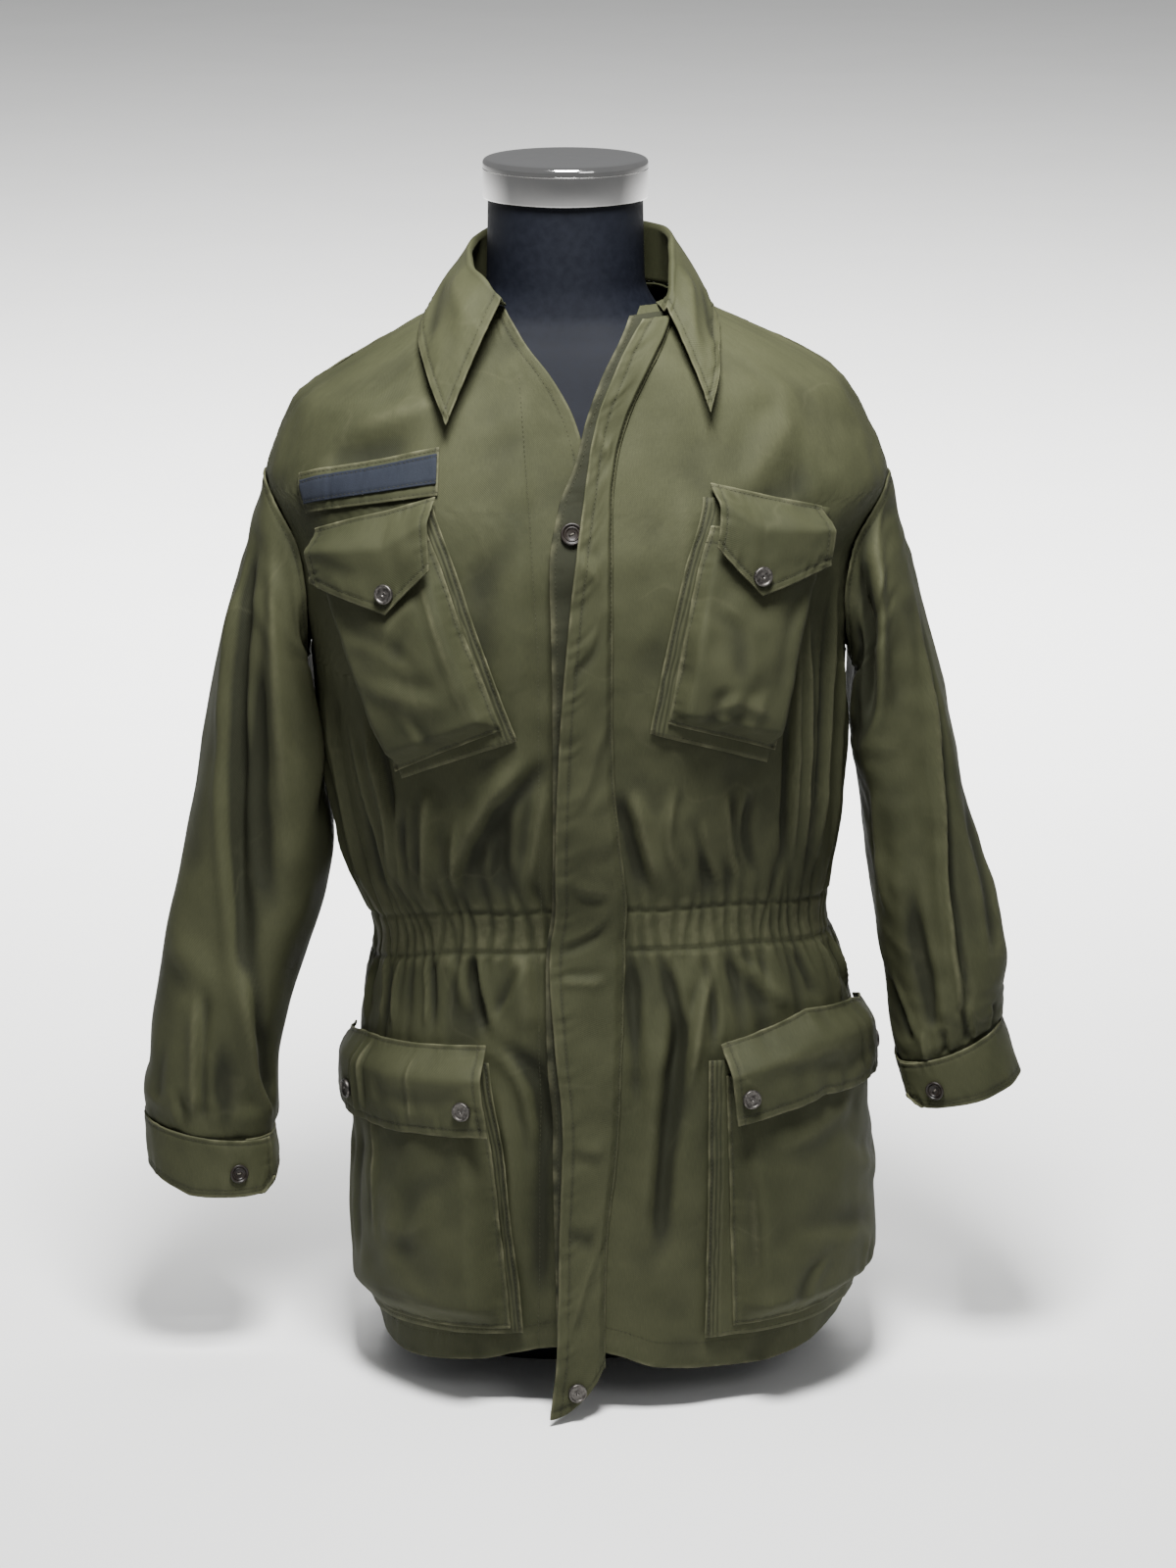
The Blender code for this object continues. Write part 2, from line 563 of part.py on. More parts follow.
def closed_wall(name, outer_rows, inner_rows, ring=False):
    """A wall between an outer and an inner sheet of rows; ring joins each row's ends."""
    points = []
    numbers = {}
    for sheet, rows in (("outer", outer_rows), ("inner", inner_rows)):
        numbers[sheet] = []
        for row in rows:
            start = len(points)
            points.extend(tuple(point) for point in row)
            row_numbers = list(range(start, start + len(row)))
            if ring:
                row_numbers.append(start)
            numbers[sheet].append(row_numbers)
    faces = []
    backs = []
    for k in range(len(outer_rows) - 1):
        stitch(faces, numbers["outer"][k], numbers["outer"][k + 1])
        stitch(backs, numbers["inner"][k], numbers["inner"][k + 1])
    faces.extend(tuple(reversed(face)) for face in backs)
    first_out, first_in = numbers["outer"][0], numbers["inner"][0]
    last_out, last_in = numbers["outer"][-1], numbers["inner"][-1]
    for k in range(len(first_out) - 1):
        faces.append((first_out[k + 1], first_out[k], first_in[k], first_in[k + 1]))
    for k in range(len(last_out) - 1):
        faces.append((last_out[k], last_out[k + 1], last_in[k + 1], last_in[k]))
    if not ring:
        for end in (0, -1):
            for k in range(len(outer_rows) - 1):
                edge_out = outer_edge(numbers["outer"], k, end)
                edge_in = outer_edge(numbers["inner"], k, end)
                faces.append((*edge_out, *reversed(edge_in)))
    return new_mesh(name, points, faces)


def outer_edge(rows, k, end):
    """The two point numbers of one sheet's edge between two rows."""
    return rows[k][end], rows[k + 1][end]


def new_mesh(name, points, faces):
    """Make a mesh object whose faces all point out."""
    mesh = bpy.data.meshes.new(name)
    mesh.from_pydata(points, [], faces)
    obj = bpy.data.objects.new(name, mesh)
    work = bmesh.new()
    work.from_mesh(mesh)
    bmesh.ops.recalc_face_normals(work, faces=work.faces)
    if work.calc_volume(signed=True) < 0:
        bmesh.ops.reverse_faces(work, faces=work.faces)
    bmesh.ops.triangulate(work, faces=[face for face in work.faces if len(face.verts) > 4])
    work.to_mesh(mesh)
    work.free()
    mesh.shade_smooth()
    mesh.set_sharp_from_angle(angle=math.radians(40))
    return obj


def sheet_wall(name, place, across, along, thickness, ring=False, flip=False):
    """A cloth wall over the surface place(across, along), thickened to its hidden side."""
    outer_rows = []
    inner_rows = []
    for level in along:
        row_across = np.array(across, dtype=float)
        row_along = np.full(row_across.shape, float(level))
        points = place(row_across, row_along)
        normals = grid_normals(place, row_across, row_along)
        if flip:
            normals = -normals
        outer_rows.append(points)
        inner_rows.append(points - normals * thickness)
    return closed_wall(name, outer_rows, inner_rows, ring)


def steps(low, high, count):
    """Evenly spaced values from low to high."""
    return np.linspace(low, high, count)


# ------------------------------------------------------------------ body panels
def chest_rows():
    """Nominal heights of the panel rows above the gathers."""
    middle = 0.5 * (ARMPIT_HEIGHT + ARMHOLE_TOP)
    half = 0.5 * (ARMHOLE_TOP - ARMPIT_HEIGHT)
    armhole = [middle - half * math.cos(math.radians(turn)) for turn in ARMHOLE_TURNS]
    return (*CHEST_ROWS, *armhole, *SHOULDER_ROWS)


def panel_rows():
    """Each panel row's nominal height and whether it is a fine one."""
    rows = [(height, False) for height in SKIRT_ROWS]
    rows += [(height, True) for height in GATHER_ROWS]
    rows += [(height, False) for height in chest_rows()]
    return rows


def build_panel(name, start_angle, end_angle, columns, recess):
    """A body panel between two edges, each a function of the nominal height."""
    outer_rows = []
    inner_rows = []
    for nominal, fine in panel_rows():
        count = columns * (4 if fine else 1) + 1
        angle = steps(float(start_angle(nominal)), float(end_angle(nominal)), count)
        height = np.full(angle.shape, nominal)

        def place(turn, level):
            return body(turn, level, recess(turn, level))

        points = place(angle, height)
        normals = grid_normals(place, angle, height, 2e-3)
        outer_rows.append(points)
        inner_rows.append(points - normals * CLOTH)
    return closed_wall(name, outer_rows, inner_rows)


def side_reach(nominal, most):
    """Half the seam gap, plus the armhole where there is one."""
    return SEAM * 0.5 + float(armhole_reach(nominal, most))


def no_recess(angle, nominal):
    """A panel that keeps to the body's own face."""
    return np.zeros(np.broadcast(angle, nominal).shape)


def under_lap(angle, nominal):
    """The right front dips under the left front near the centre."""
    x = smooth_body(angle, nominal)[..., 0]
    return -LAP_DIP * smooth((x - LAP_START) / LAP_EASE) * smooth((LAP_TOP - nominal) / LAP_FADE)


def build_fronts():
    """The two fronts. The left one laps over the right."""
    def right_edge(nominal):
        return angle_at(front_edges(nominal)[0], nominal)

    def right_side(nominal):
        return -edge_angle(nominal, -side_reach(nominal, ARMHOLE_FRONT))

    def left_edge(nominal):
        return angle_at(front_edges(nominal)[1] + FRONT_INSET, nominal)

    def left_side(nominal):
        return edge_angle(nominal, -side_reach(nominal, ARMHOLE_FRONT))

    columns = GATHERS_PER_QUARTER
    return [
        build_panel("front_right", right_side, right_edge, columns, under_lap),
        build_panel("front_left", left_edge, left_side, columns, no_recess),
    ]


def build_back():
    """The back, from side seam to side seam."""
    def left_side(nominal):
        return edge_angle(nominal, side_reach(nominal, ARMHOLE_BACK))

    def right_side(nominal):
        return 2 * np.pi - edge_angle(nominal, side_reach(nominal, ARMHOLE_BACK))

    return build_panel("back", left_side, right_side, 2 * GATHERS_PER_QUARTER, no_recess)


# ------------------------------------------------------------------ fly
def build_fly():
    """The buttonhole strip and the placket over it."""
    def strip(across, along):
        height = between(STRIP_FOOT, NECK_HEIGHT - STRIP_DROP, along)
        _right, start, _edge, line = front_edges(height)
        angle = angle_at(between(start, line - FRONT_INSET, across), height)
        nominal = nominal_at(angle, height)
        return calm_body(angle, nominal, STRIP_OUT + STRIP_EDGE_OUT * (1 - across))

    def placket(across, along):
        foot = PLACKET_TIP + PLACKET_RISE * np.clip(across, 0, 2) ** 2
        height = between(foot, NECK_HEIGHT - PLACKET_DROP, along)
        _right, _strip, edge, line = front_edges(height)
        angle = angle_at(between(edge, line, across), height)
        nominal = nominal_at(angle, height)
        lift = between(PLACKET_OUT, placket_lift(height)[0], np.clip(1 - across, 0, 2) ** 1.5)
        return calm_body(angle, nominal, lift)

    strip_obj = sheet_wall("fly_strip", strip, steps(0, 1, 3), steps(0, 1, 24), THIN_CLOTH)
    placket_obj = sheet_wall("fly_placket", placket, steps(0, 1, 5), steps(0, 1, 26), CLOTH)
    return [strip_obj, placket_obj], strip, placket


# ------------------------------------------------------------------ pockets
def corner_blend(corners, across, along):
    """Blend four corners: across from inner to outer, along from top to bottom."""
    top = [between(corners[0][k], corners[1][k], across) for k in (0, 1)]
    bottom = [between(corners[3][k], corners[2][k], across) for k in (0, 1)]
    return [between(top[k], bottom[k], along) for k in (0, 1)]


def corner_angles(corners, by_angle):
    """Corners with their first value as a girth angle in radians."""
    turned = []
    for first, height in corners:
        if by_angle:
            angle = math.radians(first)
        else:
            angle = float(angle_at(np.array(first), np.array(height)))
        turned.append((angle, height))
    return turned


def over_body(angle, height, out):
    """Point over the body at a girth angle and a true height."""
    return calm_body(angle, nominal_at(angle, height), out)


def patch_place(corners, out):
    """Surface of a flat patch on the body."""
    def place(across, along):
        angle, height = corner_blend(corners, across, along)
        return over_body(angle, height, np.full(np.shape(angle), out))
    return place


def bag_place(corners, depth, mouth, base, outer_share):
    """Surface of a bellows bag: gussets at the sides and the bottom, open at the top."""
    def place(across, along):
        angle, height = corner_blend(corners, across, along)
        sides = smooth(across / GUSSET_SHARE) * smooth((1 - across) / GUSSET_SHARE)
        floor = smooth((1 - along) / GUSSET_SHARE)
        full = between(mouth, depth, smooth(along / BAG_FULL_SHARE))
        taper = 1 - (1 - outer_share) * np.clip(across, 0, 1)
        return over_body(angle, height, base + full * sides * floor * taper)
    return place


def flap_place(stations, by_angle, base, lift, outer_share, flare):
    """Surface of a flap: top edge sewn down, lower edge standing over the bag."""
    top = corner_angles([row[0:2] for row in stations], by_angle)
    low = corner_angles([row[2:4] for row in stations], by_angle)
    keys = steps(0, 1, len(stations))

    def edge(points, across, column):
        return np.interp(across, keys, [point[column] for point in points])

    def place(across, along):
        angle = between(edge(top, across, 0), edge(low, across, 0), along)
        height = between(edge(top, across, 1), edge(low, across, 1), along)
        taper = 1 - (1 - outer_share) * np.clip(across, 0, 1)
        stand = base + lift * taper * smooth(along / FLAP_ROLL_SHARE)
        flared = smooth((across - FLARE_START) / (1 - FLARE_START))
        return over_body(angle, height, stand + flare * flared * along)
    return place


BAG_ACROSS = {
    "chest": (0, 0.05, 0.11, 0.36, 0.64, 0.89, 0.95, 1),
    "hip": (0, 0.05, 0.11, 0.24, 0.37, 0.50, 0.63, 0.76, 0.89, 0.95, 1),
}
BAG_ALONG = (0, 0.25, 0.5, 0.7, 0.89, 0.95, 1)
FLAP_ACROSS = {
    "chest": (0, 0.17, 0.34, 0.5, 0.66, 0.83, 1),
    "hip": (0, 0.17, 0.3333, 0.5, 0.6667, 0.84, 1),
}
FLAP_ALONG = (0, 0.2, 0.4, 0.7, 1)


def build_pocket(kind, side, tables, by_angle, depth, mouth, patch_out, outer_shares, flare):
    """One pocket: its edge patch, its bag and its flap. Also returns the flap's surface."""
    backing = corner_angles(tables[0][side], by_angle)
    bag = corner_angles(tables[1][side], by_angle)
    flip = side == "left"
    patch = sheet_wall(f"{kind}_backing_{side}", patch_place(backing, patch_out),
                       steps(0, 1, 10), steps(0, 1, 7), THIN_CLOTH, flip=flip)
    bag_surface = bag_place(bag, depth, mouth, patch_out + BAG_BASE, outer_shares[0])
    pouch = sheet_wall(f"{kind}_pocket_{side}", bag_surface, BAG_ACROSS[kind], BAG_ALONG,
                       CLOTH, flip=flip)
    flap_surface = flap_place(tables[2][side], by_angle, patch_out + FLAP_BASE,
                              mouth + FLAP_CLEAR, outer_shares[1], flare)
    cover = sheet_wall(f"{kind}_flap_{side}", flap_surface, FLAP_ACROSS[kind], FLAP_ALONG,
                       CLOTH, flip=flip)
    return [patch, pouch, cover], flap_surface


def build_name_tape():
    """The olive strip and the bare loop strip on it, above the right chest pocket."""
    pieces = []
    for name, corners, out in (("name_tape_backing", TAPE_BACKING, TAPE_BACKING_OUT),
                               ("name_tape_loop", TAPE_LOOP, TAPE_LOOP_OUT)):
        turned = corner_angles(corners, False)
        order = [turned[1], turned[0], turned[3], turned[2]]
        pieces.append(sheet_wall(name, patch_place(order, out), steps(0, 1, 8), steps(0, 1, 3),
                                 THIN_CLOTH))
    return pieces


# ------------------------------------------------------------------ shoulders and sleeves
def strap_place(side):
    """Surface of a shoulder strap, which lies along the shoulder just behind its top."""
    mirror = -1 if side == "right" else 1

    def place(across, along):
        height = between(STRAP_OUTER, STRAP_INNER, along)
        point_width = 1 - STRAP_TAPER * smooth((along - STRAP_POINT) / (1 - STRAP_POINT))
        reach = STRAP_WIDTH * (across - 0.5) * point_width + STRAP_BACK + STRAP_DRIFT * (1 - along)
        lift = STRAP_LIFT + STRAP_BOW * np.sin(np.pi * along)
        return body(mirror * edge_angle(height, reach), height, lift)
    return place


def sleeve_place(side):
    """Surface of a sleeve: angle round it from the inner side by the front, and length 0 to 1."""
    mirror = -1 if side == "right" else 1
    rings = Profile([(k, *row) for k, row in
                     enumerate(RIGHT_SLEEVE_RINGS if side == "right" else LEFT_SLEEVE_RINGS)])
    last = len(rings.keys) - 1

    def ring_point(angle, row):
        inner_z, outer_z, inner_x, outer_x, middle, half_depth = rings(row)
        outward = 0.5 * (1 - np.cos(angle))
        swing = np.sin(angle)
        pressed = SLEEVE_WRAP * smooth((WRAP_ROWS - row) / WRAP_FADE)
        beside = swing ** 2 * (1 - outward) ** 2
        x = between(inner_x, outer_x, outward) - pressed * beside
        y = middle - half_depth * np.sign(swing) * np.abs(swing) ** SLEEVE_ROUNDNESS
        return np.stack((mirror * x, y, between(inner_z, outer_z, outward)), axis=-1)

    def armhole_point(angle):
        most = np.where(np.sin(angle) > 0, -ARMHOLE_FRONT, ARMHOLE_BACK)
        middle = 0.5 * (ARMPIT_HEIGHT + ARMHOLE_TOP)
        half = 0.5 * (ARMHOLE_TOP - ARMPIT_HEIGHT)
        height = middle - half * np.cos(angle)
        reach = most * np.abs(np.sin(angle))
        turn = mirror * edge_angle(height, reach)
        return smooth_body(turn, height) + smooth_body_normal(turn, height) * CAP_GAP

    def place(angle, along):
        angle = np.asarray(angle, dtype=float)
        along = np.asarray(along, dtype=float)
        row = np.clip((along - CAP_SHARE) / (1 - CAP_SHARE), 0, 1) * last
        hanging = ring_point(angle, row)
        start = armhole_point(angle)
        first = ring_point(angle, np.zeros_like(along))
        length = np.linalg.norm(first - start, axis=-1, keepdims=True)
        lean = between(*CAP_LEANS, 0.5 * (1 - np.cos(angle)))
        outward = np.stack((mirror * lean, np.zeros_like(lean), -np.sqrt(1 - lean ** 2)), axis=-1)
        down = unit(ring_point(angle, np.full_like(along, 0.15)) - first)
        part = np.clip(along / CAP_SHARE, 0, 1)[..., None]
        leave = start + outward * length * CAP_LEAVE
        arrive = first - down * length * CAP_ARRIVE
        cap = ((1 - part) ** 3 * start + 3 * part * (1 - part) ** 2 * leave
               + 3 * part ** 2 * (1 - part) * arrive + part ** 3 * first)
        return np.where(part < 1, cap, hanging)

    def folded(angle, along):
        degrees = np.degrees(angle) % 360
        relief = np.zeros(np.broadcast(angle, along).shape)
        for middle, high, low, width, depth in SLEEVE_FOLDS:
            across = (degrees - middle + 180) % 360 - 180
            part = np.clip((along - high) / (low - high), 0, 1)
            swell = smooth(part / FOLD_RISE) * smooth((1 - part) / FOLD_RISE)
            relief = relief + depth * swell * np.exp(-(across / width) ** 2)
        normal = grid_normals(place, angle, along, 4e-3) * -mirror
        return place(angle, along) + normal * relief[..., None]

    return folded


SLEEVE_ALONG = (0, 0.035, 0.08, 0.14, 0.20, 0.26, 0.32, 0.39, 0.46, 0.53, 0.60, 0.67, 0.74,
                0.81, 0.88, 0.94, 1)


def build_sleeve(side):
    """One sleeve, from the armhole to the cuff seam."""
    around = np.radians(steps(0, 360, 21))[:-1]
    place = sleeve_place(side)
    return sheet_wall(f"sleeve_{side}", place, around, SLEEVE_ALONG, CLOTH, ring=True,
                      flip=side == "left")


def cuff_place(side):
    """Surface of a cuff band, which laps over itself; its tab end is clipped."""
    mirror = -1 if side == "right" else 1
    rows = RIGHT_CUFF_RINGS if side == "right" else LEFT_CUFF_RINGS
    rings = Profile([(k, *row) for k, row in enumerate(rows)])

    def place(across, along):
        degrees = between(CUFF_START, CUFF_END, across)
        turn = np.radians(degrees)
        clip = CLIP_HEIGHT * smooth((across - CLIP_START) / (1 - CLIP_START))
        row = np.minimum(along, 1 - clip * smooth((along - CLIP_FROM) / (1 - CLIP_FROM)))
        inner_z, outer_z, inner_x, outer_x, middle, half_depth = rings(row)
        outward = 0.5 * (1 - np.cos(turn))
        swing = np.sin(turn)
        height = between(inner_z, outer_z, outward)
        front = smooth(swing / DIP_RISE) * np.clip((DIP_END - outward) / DIP_FADE, 0, 1)
        height = height - CUFF_DIP[side] * front * smooth((row - DIP_FROM) / (1 - DIP_FROM))
        spread = 1 + CUFF_LAP / CUFF_RADIUS * smooth((across - LAP_OVER) / LAP_RISE)
        centre_x = 0.5 * (inner_x + outer_x)
        x = centre_x + (between(inner_x, outer_x, outward) - centre_x) * spread
        y = middle - half_depth * np.sign(swing) * np.abs(swing) ** SLEEVE_ROUNDNESS * spread
        return np.stack((mirror * x, y, height), axis=-1)
    return place


def build_cuff(side):
    """One cuff."""
    return sheet_wall(f"cuff_{side}", cuff_place(side), steps(0, 1, 28), (0, 0.5, 1), CLOTH,
                      flip=side == "right")


# ------------------------------------------------------------------ collar
def collar_place():
    """Surface of the collar: across from the right end to the left, along from seam to edge."""
    stations = Profile([(k, *row) for k, row in enumerate(COLLAR_STATIONS)])
    last = len(COLLAR_STATIONS) - 1
    roll_start, roll_end = COLLAR_ROLL

    def place(across, along):
        values = stations(across * last)
        angle = np.radians(values[0])
        roll = np.stack(values[1:4], axis=-1)
        edge = np.stack(values[4:7], axis=-1)
        nominal = np.full(np.shape(angle), NECK_HEIGHT)
        seam = smooth_body(angle, nominal) + np.array((0, 0, COLLAR_SEAM))
        away = unit((seam - np.array((COLLAR_CENTRE, 0, 0))) * np.array((1, 1, 0)))
        inner_roll = roll - away * COLLAR_STAND_OFF * 0.5
        outer_roll = roll + away * COLLAR_STAND_OFF
        part = np.asarray(along)[..., None]
        stand = between(seam, inner_roll, np.clip(part / roll_start, 0, 1))
        fall_part = np.clip((part - roll_end) / (1 - roll_end), 0, 1)
        bow = np.sin(np.pi * fall_part) * COLLAR_BOW
        fall = between(outer_roll, edge, fall_part) + away * bow
        turn = np.clip((part - roll_start) / (roll_end - roll_start), 0, 1)
        over = between(inner_roll, outer_roll, turn)
        over = over + np.array((0, 0, COLLAR_RISE)) * np.sin(np.pi * turn)
        return np.where(part < roll_start, stand, np.where(part < roll_end, over, fall))
    return place


def build_collar():
    """The collar in one folded piece."""
    return sheet_wall("collar", collar_place(), steps(0, 1, 27), COLLAR_ALONG, CLOTH)


# ------------------------------------------------------------------ hard pieces
def disc(name, centre, normal, radius, height):
    """A round cap that lies along a normal, with a rounded rim."""
    bpy.ops.mesh.primitive_cylinder_add(vertices=FASTENER_SIDES, radius=radius, depth=height)
    obj = bpy.context.active_object
    obj.name = name
    bevel = obj.modifiers.new("rim", "BEVEL")
    bevel.width = FASTENER_RIM
    bevel.segments = 1
    bevel.limit_method = "ANGLE"
    bevel.angle_limit = math.radians(60)
    obj.rotation_mode = "QUATERNION"
    obj.rotation_quaternion = Vector(normal).to_track_quat("Z", "Y")
    obj.location = centre + normal * height * 0.5
    return obj


def on_sheet(place, across, along, gap, flip=False):
    """A point just above a sheet, and the sheet's normal there."""
    spot = (np.array([across]), np.array([along]))
    normal = grid_normals(place, *spot)[0]
    if flip:
        normal = -normal
    return place(*spot)[0] + normal * gap, normal


def build_neck_cap():
    """The bright metal cap on the form's neck: a turned profile."""
    profile = [(0.0, CAP_TOP), (CAP_RADIUS - CAP_ROUNDING, CAP_TOP)]
    for turn in (30, 60):
        across = CAP_RADIUS - CAP_ROUNDING * (1 - math.sin(math.radians(turn)))
        profile.append((across, CAP_TOP - CAP_ROUNDING * (1 - math.cos(math.radians(turn)))))
    profile += [(CAP_RADIUS, CAP_TOP - CAP_ROUNDING), (CAP_RADIUS, CAP_BOTTOM), (0.0, CAP_BOTTOM)]
    mesh = bpy.data.meshes.new("form_neck_cap")
    edges = [(k, k + 1) for k in range(len(profile) - 1)]
    mesh.from_pydata([(radius, 0.0, height) for radius, height in profile], edges, [])
    obj = bpy.data.objects.new("form_neck_cap", mesh)
    screw = obj.modifiers.new("turned", "SCREW")
    screw.axis = "Z"
    screw.steps = CAP_SIDES
    screw.render_steps = CAP_SIDES
    screw.use_merge_vertices = True
    screw.merge_threshold = 0.0001
    screw.use_smooth_shade = False
    return obj


def build_form():
    """The limbless form: one closed body from its flat foot to the top of its neck."""
    rings = Profile(FORM_RINGS)
    heights = [row[0] for row in FORM_RINGS]
    turns = 2 * np.pi * np.arange(FORM_SIDES) / FORM_SIDES
    points = []
    for height in heights:
        half, front, back = rings(height)
        cosine = np.cos(turns)
        for turn, shade in zip(turns, cosine):
            x = half * math.copysign(abs(math.sin(turn)) ** FORM_ROUNDNESS, math.sin(turn))
            y = (-front if shade > 0 else back) * abs(shade) ** FORM_ROUNDNESS
            points.append((float(x), float(y), height))
    faces = []
    for row in range(len(heights) - 1):
        for k in range(FORM_SIDES):
            after = (k + 1) % FORM_SIDES
            low = row * FORM_SIDES
            high = low + FORM_SIDES
            faces.append((low + k, low + after, high + after, high + k))
    faces.append(tuple(range(FORM_SIDES)))
    faces.append(tuple(range((len(heights) - 1) * FORM_SIDES, len(heights) * FORM_SIDES)))
    return new_mesh("form_torso", points, faces)


# ------------------------------------------------------------------ assembly
def finish(name):
    """One plain material for a finish."""
    colour, roughness, metallic = FINISHES[name]
    material = bpy.data.materials.new(name)
    material.use_nodes = True
    shader = material.node_tree.nodes["Principled BSDF"]
    shader.inputs["Base Color"].default_value = colour
    shader.inputs["Roughness"].default_value = roughness
    shader.inputs["Metallic"].default_value = metallic
    material.diffuse_color = colour
    return material


def finish_of(name):
    """The finish that a piece takes, from its name."""
    if name.startswith("snap"):
        return "aged_metal"
    if name.startswith("button"):
        return "dark_button"
    if name == "name_tape_loop":
        return "navy_loop"
    if name == "form_torso":
        return "black_form"
    if name == "form_neck_cap":
        return "bright_metal"
    return "olive_cotton"


def main():
    """Clear the file and build every piece."""
    for obj in list(bpy.data.objects):
        bpy.data.objects.remove(obj, do_unlink=True)
    pieces = [build_form(), build_neck_cap(), build_back(), build_collar()]
    pieces += build_fronts()
    fly, strip, placket = build_fly()
    pieces += fly
    pieces += build_name_tape()
    fasteners = []
    for side in ("right", "left"):
        flip = side == "left"
        chest, chest_flap = build_pocket(
            "chest", side, (CHEST_BACKING, CHEST_BAG, CHEST_FLAP), False, CHEST_BAG_DEPTH,
            CHEST_MOUTH, CHEST_PATCH_OUT, (1.0, 1.0), 0.0)
        hip, hip_flap = build_pocket(
            "hip", side, (HIP_BACKING, HIP_BAG, HIP_FLAP), True, HIP_BAG_DEPTH,
            HIP_MOUTH, HIP_PATCH_OUT, (HIP_SIDE_SHARE, FLAP_SIDE_SHARE), FLAP_FLARE)
        strap = strap_place(side)
        strap_obj = sheet_wall(f"shoulder_strap_{side}", strap, steps(0, 1, 4), steps(0, 1, 10),
                               CLOTH, flip=side == "right")
        pieces += chest + hip + [strap_obj, build_sleeve(side), build_cuff(side)]
        fasteners.append((f"snap_chest_{side}", chest_flap, CHEST_SNAP, SNAP_SHARE["chest"],
                          flip, SNAP_RADIUS, SNAP_HEIGHT))
        for place_name, share in zip(("front", "side"), HIP_SNAPS[side]):
            fasteners.append((f"snap_hip_{side}_{place_name}", hip_flap, share, SNAP_SHARE["hip"],
                              flip, SNAP_RADIUS, SNAP_HEIGHT))
        fasteners.append((f"button_strap_{side}", strap, *STRAP_BUTTON, not flip,
                          BUTTON_RADIUS, BUTTON_HEIGHT))
        fasteners.append((f"button_cuff_{side}", cuff_place(side), *CUFF_BUTTON, not flip,
                          BUTTON_RADIUS, BUTTON_HEIGHT))
    fasteners.append(("snap_placket", placket, *PLACKET_SNAP, False, SNAP_RADIUS, SNAP_HEIGHT))
    fasteners.append(("button_fly", strip, *FLY_BUTTON, False, FLY_BUTTON_RADIUS, BUTTON_HEIGHT))
    for name, place, across, along, flip, radius, height in fasteners:
        gap = CUFF_BUTTON_GAP if name.startswith("button_cuff") else FASTENER_GAP
        centre, normal = on_sheet(place, across, along, gap, flip)
        pieces.append(disc(name, centre, normal, radius, height))
    home = bpy.data.collections.new("field_jacket")
    bpy.context.scene.collection.children.link(home)
    materials = {name: finish(name) for name in FINISHES}
    for obj in pieces:
        for owner in list(obj.users_collection):
            owner.objects.unlink(obj)
        home.objects.link(obj)
        obj.data.materials.clear()
        obj.data.materials.append(materials[finish_of(obj.name)])


main()
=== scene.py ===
"""A field jacket on a limbless dress form: its draped cloth, sewing, fasteners and finishes.

Metres, +Z up, front towards -Y. Right and left are the wearer's, so right is at -X.
The body of the jacket is a stack of superellipse rings. A place on it is a girth angle,
measured from the centre front towards the left, and a nominal height. Every cloth piece
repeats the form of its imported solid, on a finer grid, and adds creases, puckers and wear.
"""

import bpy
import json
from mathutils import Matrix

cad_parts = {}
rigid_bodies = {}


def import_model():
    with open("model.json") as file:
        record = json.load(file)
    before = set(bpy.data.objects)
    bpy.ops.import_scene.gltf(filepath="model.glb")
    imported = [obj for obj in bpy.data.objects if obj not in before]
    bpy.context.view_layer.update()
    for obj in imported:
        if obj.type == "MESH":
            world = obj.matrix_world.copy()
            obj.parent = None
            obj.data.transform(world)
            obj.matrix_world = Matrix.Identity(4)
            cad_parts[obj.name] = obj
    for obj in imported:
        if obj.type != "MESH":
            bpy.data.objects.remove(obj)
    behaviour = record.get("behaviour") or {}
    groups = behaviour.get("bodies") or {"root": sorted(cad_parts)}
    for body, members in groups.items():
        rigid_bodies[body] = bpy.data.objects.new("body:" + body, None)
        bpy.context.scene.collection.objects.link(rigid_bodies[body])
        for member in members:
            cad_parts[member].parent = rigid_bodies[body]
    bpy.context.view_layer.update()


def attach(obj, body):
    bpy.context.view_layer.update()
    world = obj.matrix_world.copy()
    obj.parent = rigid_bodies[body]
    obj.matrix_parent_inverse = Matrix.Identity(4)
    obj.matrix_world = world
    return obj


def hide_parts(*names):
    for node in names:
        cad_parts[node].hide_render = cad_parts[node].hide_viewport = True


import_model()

import json
import logging
import math
from dataclasses import dataclass, field
from enum import Enum
from functools import partial
from typing import Callable

import bpy
import numpy as np
from mathutils import Matrix, Vector

LOG = logging.getLogger("field_jacket")

Array = np.ndarray
Surface = Callable[[Array, Array], Array]
Node = bpy.types.Node
Socket = bpy.types.NodeSocket

# ------------------------------------------------------------------ driving sizes
CLOTH = 0.0016            # wall of the jacket cloth
THIN_CLOTH = 0.0012       # wall of the flat patches
SEAM = 0.0004             # gap between two sewn pieces
EDGE_ROUND = 0.45         # how far a rim's middle stands out, in thicknesses
EDGE_WORN = 1.2           # how much more a rim wears
HEM_HEIGHT = 0.042
WAIST_HEIGHT = 0.372
ARMPIT_HEIGHT = 0.565
ARMHOLE_TOP = 0.712
ARMHOLE_MIDDLE = 0.5 * (ARMPIT_HEIGHT + ARMHOLE_TOP)
ARMHOLE_HALF = 0.5 * (ARMHOLE_TOP - ARMPIT_HEIGHT)
NECK_HEIGHT = 0.848
ARMHOLE_FRONT = 0.055     # how far the armhole reaches forward of the side seam
ARMHOLE_BACK = 0.062
BAND_HALF = 0.016         # half the height of the elastic waist band
GIRTH_RADIUS = 0.19       # mean radius that turns girth angles into lengths
FLY_MIDDLE = -1           # girth angle of the fly's middle, where nothing is gathered
FLY_HALF = 3.5
